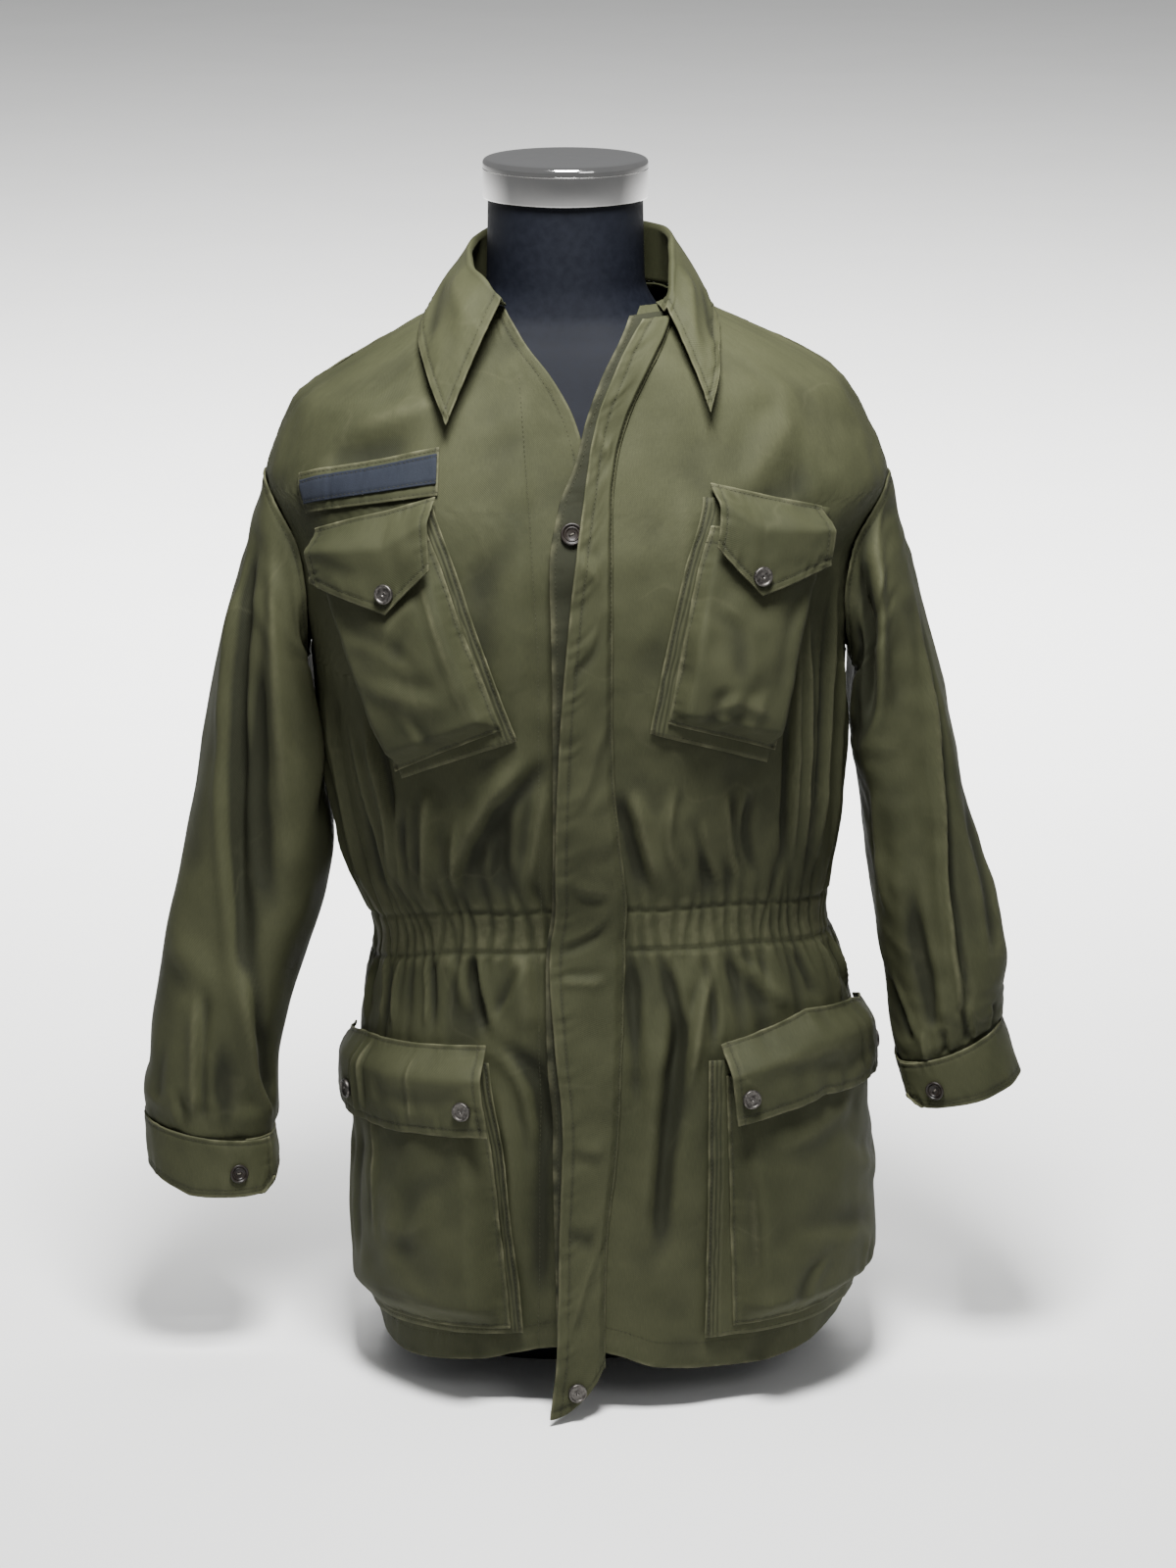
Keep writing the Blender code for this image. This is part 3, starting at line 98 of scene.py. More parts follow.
FOLD_RISE = 0.3           # share of a fold's length over which its ends die out
HEM_FOLD_FADE = 0.6

# Body rings: height, right end, left end, front depth, back depth, squareness.
BODY_RINGS = (
    (0.000, -0.146, 0.222, 0.168, 0.142, 2.40),
    (0.042, -0.150, 0.224, 0.165, 0.141, 2.40),
    (0.100, -0.152, 0.226, 0.160, 0.139, 2.40),
    (0.200, -0.154, 0.224, 0.150, 0.136, 2.40),
    (0.270, -0.163, 0.227, 0.142, 0.131, 2.40),
    (0.325, -0.160, 0.219, 0.133, 0.124, 2.35),
    (0.372, -0.151, 0.204, 0.127, 0.117, 2.30),
    (0.420, -0.171, 0.211, 0.134, 0.121, 2.30),
    (0.500, -0.189, 0.215, 0.143, 0.128, 2.30),
    (0.600, -0.201, 0.218, 0.147, 0.131, 2.30),
    (0.660, -0.213, 0.228, 0.141, 0.128, 2.20),
    (0.710, -0.229, 0.246, 0.129, 0.121, 2.10),
    (0.736, -0.222, 0.239, 0.121, 0.113, 2.00),
    (0.753, -0.215, 0.231, 0.115, 0.108, 1.95),
    (0.770, -0.206, 0.222, 0.109, 0.103, 1.90),
    (0.785, -0.186, 0.211, 0.104, 0.098, 1.85),
    (0.795, -0.170, 0.197, 0.101, 0.094, 1.80),
    (0.805, -0.153, 0.179, 0.098, 0.090, 1.80),
    (0.820, -0.127, 0.148, 0.093, 0.084, 1.75),
    (0.834, -0.102, 0.118, 0.089, 0.077, 1.75),
    (0.848, -0.079, 0.088, 0.084, 0.070, 1.80),
)

# How far the hem and the waist band sit above their nominal height: girth angle, hem, waist.
LEVEL_SHIFTS = (
    (-180, 0.003, -0.016),
    (-120, 0.002, -0.022),
    (-90, -0.012, -0.029),
    (-60, -0.017, -0.014),
    (-30, -0.004, 0.003),
    (-5, 0.013, 0.007),
    (8, -0.004, 0.010),
    (30, -0.009, 0.010),
    (60, 0.001, 0.000),
    (90, 0.014, -0.009),
    (120, 0.008, -0.013),
    (180, 0.003, -0.016),
)

# Large folds of the body: girth angle, lower end, upper end, half width in degrees, depth.
BODY_FOLDS = (
    (-62, 0.02, 0.33, 20, 0.0020),
    (-21, 0.02, 0.35, 6, -0.0060),
    (18, 0.10, 0.35, 6, 0.0040),
    (24, 0.02, 0.22, 8, -0.0060),
    (64, 0.02, 0.33, 20, 0.0020),
    (110, 0.02, 0.34, 10, -0.0060),
    (136, 0.02, 0.34, 9, 0.0060),
    (164, 0.02, 0.35, 9, -0.0060),
    (-166, 0.02, 0.34, 9, 0.0060),
    (-138, 0.02, 0.35, 10, -0.0060),
    (-112, 0.02, 0.33, 9, 0.0055),
    (-66, 0.39, 0.60, 6, -0.0040),
    (-38, 0.39, 0.50, 6, 0.0030),
    (30, 0.39, 0.52, 6, -0.0035),
    (58, 0.39, 0.60, 6, 0.0035),
    (128, 0.39, 0.66, 8, 0.0050),
    (156, 0.39, 0.60, 7, -0.0045),
    (-150, 0.39, 0.60, 8, 0.0050),
    (-126, 0.39, 0.68, 7, -0.0045),
)

# Creases of the body cloth: a path of girth angles and nominal heights, half width, height
# of the crest (less than 0 for a trough), the dip beside it as a share of that height (less
# than 0 when it is on the side of the lower angle) and how worn the crest is.
BODY_CREASES = (
    (((-58, 0.548), (-54, 0.498), (-53, 0.450), (-56, 0.400)), 0.0055, 0.0035, -0.5, 0.2),
    (((-50, 0.560), (-47, 0.470), (-54, 0.402)), 0.0060, 0.0045, 0.8, 0.3),
    (((-42, 0.486), (-46, 0.442), (-49, 0.404)), 0.0045, 0.0030, 0.7, 0.2),
    (((-32, 0.497), (-37, 0.432), (-42, 0.396)), 0.0060, 0.0045, -0.5, 0.3),
    (((-8, 0.528), (-13, 0.504), (-20, 0.474), (-28, 0.434), (-34, 0.394)), 0.0080, 0.0050, 0.7, 0.2),
    (((-14, 0.484), (-16, 0.450), (-21, 0.404)), 0.0050, -0.0030, 0.0, 0.0),
    (((-6, 0.500), (-9, 0.452), (-13, 0.400)), 0.0050, 0.0030, -0.6, 0.2),
    (((-26, 0.470), (-29, 0.430), (-31, 0.402)), 0.0038, 0.0022, 0.6, 0.2),
    (((-72, 0.560), (-69, 0.480), (-72, 0.400)), 0.0060, 0.0040, -0.7, 0.2),
    (((-84, 0.540), (-80, 0.470), (-82, 0.400)), 0.0060, 0.0035, 0.6, 0.2),
    (((-24, 0.292), (-28, 0.330), (-30, 0.358)), 0.0045, -0.0045, 0.7, 0.0),
    (((-11, 0.200), (-12, 0.245), (-16, 0.275), (-24, 0.296)), 0.0070, -0.0040, -0.6, 0.0),
    (((-64, 0.300), (-63, 0.330), (-65, 0.358)), 0.0040, 0.0030, 0.7, 0.3),
    (((-56, 0.296), (-57, 0.330), (-56, 0.360)), 0.0040, 0.0030, -0.6, 0.3),
    (((-42, 0.296), (-43, 0.330), (-46, 0.358)), 0.0040, 0.0030, 0.6, 0.2),
    (((-28, 0.306), (-33, 0.336), (-38, 0.358)), 0.0070, 0.0020, 0.4, 0.0),
    (((-14, 0.290), (-15, 0.330), (-16, 0.358)), 0.0110, 0.0035, 0.0, 0.1),
    (((-23, 0.306), (-19, 0.330), (-17, 0.350)), 0.0040, -0.0025, 0.5, 0.0),
    (((-20, 0.090), (-20, 0.180), (-22, 0.270)), 0.0080, 0.0040, 0.6, 0.1),
    (((-14, 0.070), (-13, 0.160), (-12, 0.250)), 0.0070, -0.0030, -0.5, 0.0),
    (((-76, 0.296), (-75, 0.330), (-78, 0.358)), 0.0045, 0.0030, -0.6, 0.2),
    (((53, 0.630), (54, 0.548), (54, 0.486), (56, 0.405)), 0.0050, 0.0045, 0.8, 0.4),
    (((50, 0.625), (50, 0.548), (50, 0.490), (51, 0.405)), 0.0045, 0.0035, -0.7, 0.3),
    (((66, 0.650), (64, 0.550), (62, 0.405)), 0.0060, 0.0045, -0.6, 0.3),
    (((47, 0.560), (47, 0.480), (47, 0.410)), 0.0040, -0.0030, 0.0, 0.0),
    (((8, 0.497), (11, 0.430), (13, 0.400)), 0.0060, 0.0040, -0.8, 0.3),
    (((29, 0.490), (31, 0.430), (34, 0.402)), 0.0045, 0.0035, 0.7, 0.3),
    (((23, 0.470), (25, 0.430), (28, 0.402)), 0.0045, 0.0030, -0.6, 0.2),
    (((37, 0.492), (35, 0.450), (39, 0.402)), 0.0050, -0.0030, -0.5, 0.0),
    (((17, 0.498), (15, 0.448), (18, 0.405)), 0.0040, 0.0025, 0.6, 0.2),
    (((76, 0.600), (74, 0.500), (76, 0.405)), 0.0060, 0.0040, 0.6, 0.2),
    (((88, 0.560), (85, 0.480), (86, 0.405)), 0.0060, 0.0035, -0.6, 0.2),
    (((9, 0.250), (13, 0.300), (12, 0.357)), 0.0050, -0.0035, 0.6, 0.0),
    (((7, 0.114), (9, 0.190), (11, 0.250), (15, 0.330)), 0.0070, -0.0060, -0.6, 0.0),
    (((14, 0.248), (18, 0.306), (25, 0.352)), 0.0050, 0.0040, -0.5, 0.3),
    (((32, 0.347), (37, 0.326), (44, 0.306)), 0.0080, 0.0030, -0.4, 0.0),
    (((52, 0.352), (54, 0.326), (58, 0.308)), 0.0070, -0.0024, 0.4, 0.0),
    (((4, 0.226), (4, 0.292), (5, 0.354)), 0.0050, -0.0025, 0.5, 0.0),
    (((20, 0.280), (22, 0.320), (22, 0.352)), 0.0040, -0.0025, 0.5, 0.0),
    (((72, 0.300), (68, 0.330), (66, 0.356)), 0.0040, 0.0030, 0.6, 0.3),
    (((85, 0.300), (79, 0.330), (77, 0.356)), 0.0050, 0.0030, -0.6, 0.2),
    (((104, 0.540), (97, 0.460), (100, 0.395)), 0.0070, -0.0040, 0.6, 0.0),
    (((122, 0.520), (116, 0.450), (118, 0.395)), 0.0060, 0.0040, -0.7, 0.3),
    (((135, 0.560), (140, 0.470), (138, 0.395)), 0.0070, -0.0040, 0.5, 0.0),
    (((152, 0.500), (147, 0.440), (150, 0.395)), 0.0060, 0.0038, 0.7, 0.2),
    (((168, 0.560), (173, 0.470), (171, 0.395)), 0.0070, 0.0040, -0.6, 0.2),
    (((-172, 0.520), (-167, 0.450), (-170, 0.395)), 0.0060, -0.0036, 0.6, 0.0),
    (((-158, 0.560), (-151, 0.480), (-155, 0.395)), 0.0070, 0.0042, 0.7, 0.2),
    (((-134, 0.520), (-138, 0.450), (-132, 0.395)), 0.0060, -0.0040, -0.5, 0.0),
    (((-104, 0.550), (-112, 0.460), (-108, 0.395)), 0.0070, 0.0042, 0.6, 0.2),
    (((103, 0.180), (109, 0.270), (106, 0.352)), 0.0080, 0.0044, -0.6, 0.2),
    (((124, 0.200), (120, 0.280), (122, 0.352)), 0.0070, -0.0042, 0.5, 0.0),
    (((150, 0.140), (144, 0.250), (146, 0.352)), 0.0080, -0.0040, -0.6, 0.0),
    (((156, 0.210), (161, 0.290), (158, 0.352)), 0.0060, 0.0040, 0.7, 0.3),
    (((178, 0.160), (172, 0.260), (176, 0.352)), 0.0080, 0.0040, -0.5, 0.1),
    (((-156, 0.220), (-162, 0.290), (-160, 0.352)), 0.0060, -0.0040, 0.6, 0.0),
    (((-150, 0.140), (-144, 0.250), (-146, 0.352)), 0.0080, 0.0042, 0.6, 0.2),
    (((-124, 0.200), (-130, 0.280), (-128, 0.352)), 0.0070, 0.0040, -0.7, 0.2),
    (((-100, 0.180), (-107, 0.270), (-104, 0.352)), 0.0070, -0.0042, 0.5, 0.0),
    (((-20, 0.520), (-17, 0.620), (-13, 0.700)), 0.0130, -0.0018, 0.4, 0.0),
    (((-50, 0.760), (-38, 0.772), (-28, 0.790)), 0.0100, 0.0020, 0.4, 0.2),
    (((-58, 0.735), (-44, 0.742), (-30, 0.745)), 0.0120, -0.0020, 0.3, 0.0),
    (((22, 0.560), (19, 0.650), (18, 0.740)), 0.0120, 0.0018, 0.4, 0.1),
    (((30, 0.720), (42, 0.752), (52, 0.770)), 0.0110, 0.0020, 0.4, 0.1),
    (((24, 0.690), (38, 0.715), (50, 0.735)), 0.0120, -0.0018, 0.3, 0.0),
    (((140, 0.640), (150, 0.710), (165, 0.760)), 0.0140, 0.0036, -0.5, 0.1),
    (((-140, 0.640), (-150, 0.710), (-165, 0.760)), 0.0140, 0.0036, -0.5, 0.1),
    (((128, 0.600), (137, 0.660), (150, 0.700)), 0.0120, -0.0034, 0.4, 0.0),
    (((-128, 0.600), (-137, 0.660), (-150, 0.700)), 0.0120, -0.0034, 0.4, 0.0),
)

# Girth angles of the waist band's troughs on the front, from the right side to the left one.
WAIST_TROUGHS = (
    -80.0, -72.5, -64.0, -59.5, -55.0, -51.5, -48.0, -44.5, -39.5, -36.0, -33.5, -30.0, -24.5, -19.5,
    -14.5, -10.5, -6.8, 4.8, 7.6, 10.8, 15.5, 19.0, 22.5, 26.5, 29.5, 34.0, 38.5, 41.5, 45.0, 48.5,
    52.5, 58.0, 64.5, 73.0,
)

# Centre front edges: height, then x of each edge.
# Columns: right front, fly strip, placket edge, placket sewing line.
FRONT_EDGES = (
    (0.000, 0.022, -0.010, -0.009, 0.030),
    (0.060, 0.022, -0.006, -0.004, 0.030),
    (0.130, 0.022, -0.008, -0.004, 0.031),
    (0.210, 0.022, -0.010, -0.002, 0.039),
    (0.300, 0.022, -0.014, -0.008, 0.043),
    (0.350, 0.022, -0.014, -0.011, 0.044),
    (0.400, 0.022, -0.011, -0.008, 0.045),
    (0.460, 0.022, -0.009, -0.007, 0.040),
    (0.510, 0.022, -0.009, -0.005, 0.036),
    (0.560, 0.022, -0.009, -0.002, 0.035),
    (0.620, 0.022, -0.010, 0.003, 0.035),
    (0.665, 0.022, -0.011, 0.008, 0.035),
    (0.710, 0.021, -0.004, 0.014, 0.035),
    (0.740, 0.016, 0.008, 0.018, 0.038),
    (0.770, 0.007, 0.016, 0.024, 0.046),
    (0.800, -0.010, 0.027, 0.035, 0.060),
    (0.825, -0.031, 0.040, 0.047, 0.074),
    (0.848, -0.046, 0.050, 0.064, 0.082),
)

# Sewn lines on the body: ends of the waist seams in degrees, and height and x on the right front.
WAIST_SEAMS = ((-176, -20), (18, 176))
RIGHT_FRONT_LINE = ((0.0, -0.022), (0.40, -0.020), (0.60, -0.020), (0.70, -0.026), (0.80, -0.034))

PLACKET_TIP = 0.006       # height of the placket's pointed lower end, and how far its edge rises
PLACKET_RISE = 0.034
PLACKET_DROP = 0.011      # how far below the neck seam the placket and the strip end
STRIP_DROP = 0.006
STRIP_FOOT = 0.036
PLACKET_OUT = 0.0068      # stand-off of the placket at its sewing line
PLACKET_SEWN = 0.0020     # stand-off of the stitched edge itself, and where the placket turns down
PLACKET_SEWN_FROM = 0.84
STRIP_OUT = 0.0026
STRIP_EDGE_OUT = 0.0012
FRONT_INSET = 0.006       # how far the left front's edge and the strip keep from the fly's lines
LAP_DIP = 0.0042          # how deep the right front dips under the left one
LAP_START = -0.036
LAP_EASE = 0.016
LAP_TOP = 0.80
LAP_FADE = 0.05

# How far the placket's free edge stands off the body: height, stand-off.
PLACKET_LIFT = (
    (0.000, 0.027),
    (0.050, 0.019),
    (0.120, 0.010),
    (0.300, 0.007),
    (0.500, 0.008),
    (0.620, 0.010),
    (0.690, 0.012),
    (0.760, 0.012),
    (0.800, 0.010),
    (0.850, 0.008),
)

# Sleeve rings, from the armhole down: inner height, outer height, inner x, outer x, middle y,
# half depth. The x values are measured outwards from the centre of the form.
RIGHT_SLEEVE_RINGS = (
    (0.545, 0.615, 0.2010, 0.254, 0.010, 0.071),
    (0.500, 0.560, 0.1930, 0.267, 0.012, 0.073),
    (0.455, 0.500, 0.1865, 0.278, 0.012, 0.072),
    (0.415, 0.440, 0.1830, 0.292, 0.010, 0.069),
    (0.375, 0.385, 0.1890, 0.304, 0.006, 0.066),
    (0.325, 0.325, 0.2050, 0.319, 0.000, 0.062),
    (0.280, 0.270, 0.2200, 0.328, -0.006, 0.058),
    (0.235, 0.230, 0.2290, 0.333, -0.010, 0.055),
    (0.204, 0.214, 0.2300, 0.336, -0.013, 0.052),
    (0.182, 0.198, 0.2330, 0.335, -0.015, 0.048),
)
LEFT_SLEEVE_RINGS = (
    (0.548, 0.628, 0.2235, 0.266, 0.008, 0.070),
    (0.510, 0.570, 0.2215, 0.281, 0.010, 0.072),
    (0.480, 0.520, 0.2255, 0.295, 0.010, 0.070),
    (0.440, 0.468, 0.2320, 0.308, 0.008, 0.068),
    (0.395, 0.415, 0.2370, 0.323, 0.004, 0.065),
    (0.345, 0.360, 0.2450, 0.339, -0.002, 0.061),
    (0.305, 0.315, 0.2520, 0.346, -0.008, 0.057),
    (0.270, 0.296, 0.2560, 0.346, -0.012, 0.054),
    (0.243, 0.278, 0.2620, 0.342, -0.015, 0.048),
)

SLEEVE_WRAP = 0.022       # how far the sleeve's inner side bends round the body
WRAP_END = 3.6            # ring at which the sleeve is free of the body, and how many rings it takes
WRAP_FADE = 2.4
SLEEVE_ROUNDNESS = 0.85
CAP_SHARE = 0.26          # share of the sleeve's length between the armhole and the first ring
CAP_LEANS = (0.70, 0.24)
CAP_LEAVE = 0.42
CAP_ARRIVE = 0.36
CAP_GAP = 0.0022
TUCK = 0.006              # how far a sleeve's end runs on inside its cuff, and how much it narrows
TUCK_IN = 0.0025
TUCK_SHARE = 0.015
SLEEVE_SOFT = ((0.0013, 0.09), (0.0006, 0.035))   # worn cloth's swells: height and size
SLEEVE_SEAM_FADE = 14     # degrees from the inner seam over which they die out
CUFF_GATHER = 0.0006      # height of the gathers at the cuff, where they start and their length
GATHER_FROM = 0.93
GATHER_WAVE = 0.024
SLEEVE_GIRTH = 0.40       # girth and length that turn sleeve places into lengths
SLEEVE_LENGTH = 0.50

# Sleeve folds: angle round the sleeve, upper end, lower end, half width in degrees, depth.
SLEEVE_FOLDS = (
    (62, 0.10, 0.95, 22, 0.0050),
    (108, 0.15, 0.80, 20, -0.0055),
    (150, 0.05, 0.90, 20, 0.0050),
    (215, 0.20, 0.95, 24, -0.0050),
    (262, 0.10, 0.90, 24, 0.0055),
    (310, 0.25, 0.95, 22, -0.0045),
)

# Sleeve creases: a path of angles round the sleeve and shares of its length, then the same
# columns as for the body. The front of the sleeve is at 90, its outer side at 180.
RIGHT_SLEEVE_CREASES = (
    (((146, 0.080), (138, 0.200), (128, 0.358), (120, 0.446), (101, 0.562), (80, 0.658), (64, 0.746)),
     0.0085, -0.0080, 0.45, 0.0),
    (((130, 0.030), (110, 0.120), (95, 0.200), (86, 0.358), (75, 0.482)), 0.0100, 0.0045, 0.0, 0.2),
    (((104, 0.242), (101, 0.386), (86, 0.526), (69, 0.630)), 0.0120, -0.0050, -0.4, 0.0),
    (((112, 0.014), (87, 0.046), (60, 0.120), (50, 0.250), (45, 0.370), (52, 0.480)),
     0.0090, 0.0050, -0.6, 0.3),
    (((92, 0.698), (118, 0.670), (151, 0.642)), 0.0090, 0.0022, 0.6, 0.0),
    (((123, 0.666), (110, 0.730), (101, 0.858), (99, 0.960)), 0.0060, 0.0036, -0.7, 0.3),
    (((89, 0.630), (69, 0.730), (47, 0.834), (16, 0.966)), 0.0070, 0.0050, -0.8, 0.2),
    (((53, 0.742), (33, 0.806), (15, 0.898)), 0.0060, -0.0030, 0.5, 0.0),
    (((90, 0.730), (79, 0.818), (73, 0.934), (72, 0.995)), 0.0080, -0.0022, 0.5, 0.0),
    (((137, 0.746), (140, 0.826), (139, 0.930)), 0.0080, -0.0016, -0.5, 0.0),
    (((117, 0.830), (110, 0.930), (108, 0.998)), 0.0050, -0.0016, 0.7, 0.0),
    (((200, 0.600), (218, 0.660), (240, 0.700)), 0.0080, -0.0040, 0.6, 0.0),
    (((196, 0.690), (215, 0.730), (240, 0.760)), 0.0080, 0.0040, 0.6, 0.2),
    (((250, 0.200), (258, 0.400), (254, 0.600)), 0.0120, -0.0050, -0.5, 0.0),
    (((286, 0.140), (280, 0.360), (284, 0.620)), 0.0110, 0.0045, 0.5, 0.1),
    (((230, 0.780), (240, 0.880), (238, 0.995)), 0.0060, 0.0035, -0.6, 0.2),
    (((262, 0.760), (256, 0.880), (258, 0.995)), 0.0060, -0.0035, 0.5, 0.0),
    (((296, 0.800), (288, 0.900), (292, 0.995)), 0.0060, 0.0030, 0.6, 0.1),
    (((170, 0.100), (176, 0.350), (168, 0.600)), 0.0120, 0.0030, 0.4, 0.1),
    (((214, 0.100), (206, 0.300), (212, 0.540)), 0.0110, -0.0040, 0.4, 0.0),
)
LEFT_SLEEVE_CREASES = (
    (((142, 0.002), (126, 0.042), (109, 0.118), (95, 0.178)), 0.0080, 0.0040, -0.5, 0.2),
    (((118, 0.030), (92, 0.140), (78, 0.240), (70, 0.340), (58, 0.400)), 0.0105, -0.0125, 0.45, 0.0),
    (((75, 0.050), (55, 0.180), (48, 0.330), (44, 0.440)), 0.0120, -0.0060, 0.0, 0.0),
    (((151, 0.230), (140, 0.350), (131, 0.446), (117, 0.582), (104, 0.674), (98, 0.762), (99, 0.886),
      (110, 0.985)), 0.0052, 0.0048, 0.8, 0.5),
    (((98, 0.300), (118, 0.318), (136, 0.332)), 0.0110, 0.0012, 0.3, 0.0),
    (((75, 0.600), (68, 0.718), (70, 0.826), (72, 0.950)), 0.0090, -0.0050, 0.4, 0.0),
    (((16, 0.790), (34, 0.858), (47, 0.940)), 0.0060, -0.0040, 0.6, 0.0),
    (((56, 0.474), (42, 0.578), (39, 0.700)), 0.0080, 0.0035, -0.5, 0.1),
    (((150, 0.526), (152, 0.622), (146, 0.710), (142, 0.802)), 0.0080, -0.0030, -0.4, 0.0),
    (((98, 0.830), (104, 0.920), (112, 0.998)), 0.0040, -0.0040, 0.8, 0.0),
    (((80, 0.900), (82, 0.950), (83, 0.998)), 0.0040, -0.0030, 0.6, 0.0),
    (((60, 0.900), (62, 0.960), (64, 0.998)), 0.0040, 0.0025, 0.6, 0.1),
    (((140, 0.880), (142, 0.940), (143, 0.998)), 0.0040, -0.0025, -0.6, 0.0),
    (((200, 0.580), (218, 0.640), (238, 0.680)), 0.0080, -0.0040, 0.6, 0.0),
    (((196, 0.670), (216, 0.710), (240, 0.740)), 0.0080, 0.0040, 0.6, 0.2),
    (((252, 0.200), (260, 0.380), (256, 0.580)), 0.0120, -0.0050, -0.5, 0.0),
    (((288, 0.140), (282, 0.360), (286, 0.600)), 0.0110, 0.0045, 0.5, 0.1),
    (((226, 0.780), (236, 0.880), (233, 0.995)), 0.0060, 0.0035, -0.6, 0.2),
    (((260, 0.760), (254, 0.880), (257, 0.995)), 0.0060, -0.0035, 0.5, 0.0),
    (((294, 0.800), (286, 0.900), (290, 0.995)), 0.0060, 0.0030, 0.6, 0.1),
    (((172, 0.080), (178, 0.330), (172, 0.560)), 0.0120, 0.0030, 0.4, 0.1),
    (((212, 0.080), (204, 0.280), (210, 0.500)), 0.0110, -0.0040, 0.4, 0.0),
)

# Cuff rings: inner height, outer height, inner x, outer x, middle y, half depth.
RIGHT_CUFF_RINGS = (
    (0.1812, 0.1972, 0.2320, 0.336, -0.015, 0.049),
    (0.1510, 0.1560, 0.2290, 0.334, -0.018, 0.050),
)
LEFT_CUFF_RINGS = (
    (0.2422, 0.2772, 0.2600, 0.3440, -0.015, 0.049),
    (0.2120, 0.2330, 0.2690, 0.3600, -0.018, 0.050),
)
CUFF_DIP = {"right": 0.0110, "left": 0.0020}   # how far the cuff's front hangs down
CUFF_DIP_FROM = 0.3
CUFF_LAP = 0.0042
CUFF_START = 52
CUFF_END = -332
CLIP_START = 0.955
CLIP_HEIGHT = 0.24
CLIP_FROM = 0.4
LAP_FROM = 0.62           # share of the way round from which the cuff lies over itself
CUFF_RADIUS = 0.05

# Places of the fasteners on their cloth pieces, as shares across and along.
CUFF_BUTTON = (0.905, 0.62)
STRAP_BUTTON = (0.5, 0.88)
FLY_BUTTON = (0.36, 0.812)
PLACKET_SNAP = (0.42, 0.0135)
FASTENER_OUT = 0.0002     # how far a fastener's foot stands off the cloth

# Collar stations, from the right front end round the back to the left front end:
# girth angle on the neck ring, roll line x, y, z, outer edge x, y, z.
COLLAR_STATIONS = (
    (-38, -0.0470, -0.0790, 0.8540, -0.0880, -0.1130, 0.7690),
    (-52, -0.0600, -0.0640, 0.8670, -0.1030, -0.0850, 0.8020),
    (-70, -0.0700, -0.0370, 0.8740, -0.1100, -0.0450, 0.8240),
    (-92, -0.0720, -0.0020, 0.8800, -0.1050, -0.0020, 0.8370),
    (-120, -0.0660, 0.0330, 0.8840, -0.0910, 0.0470, 0.8370),
    (-150, -0.0430, 0.0580, 0.8900, -0.0570, 0.0790, 0.8350),
    (-180, 0.0030, 0.0670, 0.8910, 0.0040, 0.0900, 0.8345),
    (-210, 0.0500, 0.0580, 0.8910, 0.0640, 0.0790, 0.8350),
    (-240, 0.0740, 0.0330, 0.8900, 0.0960, 0.0470, 0.8380),
    (-268, 0.0790, -0.0020, 0.8880, 0.1100, -0.0020, 0.8420),
    (-286, 0.0790, -0.0370, 0.8760, 0.1150, -0.0450, 0.8310),
    (-300, 0.0780, -0.0580, 0.8590, 0.1150, -0.0830, 0.8070),
    (-308, 0.0745, -0.0700, 0.8460, 0.1080, -0.1090, 0.7780),
)
COLLAR_SEAM = 0.0018
COLLAR_CENTRE = 0.004
COLLAR_STAND_OFF = 0.004
COLLAR_BOW = 0.002
COLLAR_ROLL = (0.32, 0.44)
COLLAR_RISE = 0.0035

# Pocket patches: the four corners as x and height, top inner, top outer, bottom outer, bottom
# inner. Hip patches give girth angles in place of x.
CHEST_BACKING = {
    "right": ((-0.098, 0.712), (-0.176, 0.686), (-0.121, 0.500), (-0.036, 0.536)),
    "left": ((0.102, 0.715), (0.196, 0.700), (0.150, 0.512), (0.063, 0.542)),
}
CHEST_BAG = {
    "right": ((-0.103, 0.694), (-0.186, 0.666), (-0.125, 0.506), (-0.047, 0.545)),
    "left": ((0.107, 0.694), (0.197, 0.680), (0.154, 0.522), (0.076, 0.550)),
}
HIP_BACKING = {
    "right": ((-23.5, 0.276), (-95, 0.250), (-95, 0.042), (-18, 0.064)),
    "left": ((19, 0.280), (99, 0.272), (99, 0.062), (18, 0.060)),
}
HIP_BAG = {
    "right": ((-26, 0.268), (-92, 0.242), (-92, 0.050), (-21, 0.068)),
    "left": ((23, 0.268), (96, 0.262), (96, 0.076), (25, 0.068)),
}

# Flap stations from the inner edge to the outer one: place and height on the sewn top edge,
# place and height on the loose lower edge. Places are x on the chest, girth angles on the hip.
CHEST_FLAP = {
    "right": (
        (-0.095, 0.714, -0.094, 0.664),
        (-0.129, 0.703, -0.124, 0.630),
        (-0.184, 0.684, -0.175, 0.647),
    ),
    "left": (
        (0.107, 0.724, 0.107, 0.680),
        (0.138, 0.716, 0.137, 0.644),
        (0.189, 0.702, 0.184, 0.662),
    ),
}
HIP_FLAP = {
    "right": (
        (-24, 0.290, -23, 0.225),
        (-47, 0.283, -46, 0.219),
        (-69, 0.277, -69, 0.214),
        (-92, 0.262, -93, 0.212),
    ),
    "left": (
        (22, 0.292, 24, 0.234),
        (48, 0.308, 49, 0.245),
        (74, 0.299, 75, 0.238),
        (101, 0.276, 101, 0.224),
    ),
}
CHEST_SNAP = (0.5, 0.80)
HIP_SNAPS = {"right": (0.07, 0.70), "left": (0.045, 0.93)}
HIP_SNAP_SHARE = 0.69
PLEAT_STEPS = 3           # pleats beside a bag's inner edge, their pitch and how far each one rises
STEP_PITCH = 0.0032
STEP_RISE = 0.0006
STEP_EASE = 0.0009
STEP_SWAY = 0.0006
STEP_WAVE = 0.045
STEP_WORN = 0.14
# Depth of the painted shadow beside each pleat step.
STEP_SHADOW = 0.004
BAG_BASE = 0.0036
FLAP_BASE = 0.0028
FLAP_CLEAR = 0.0106

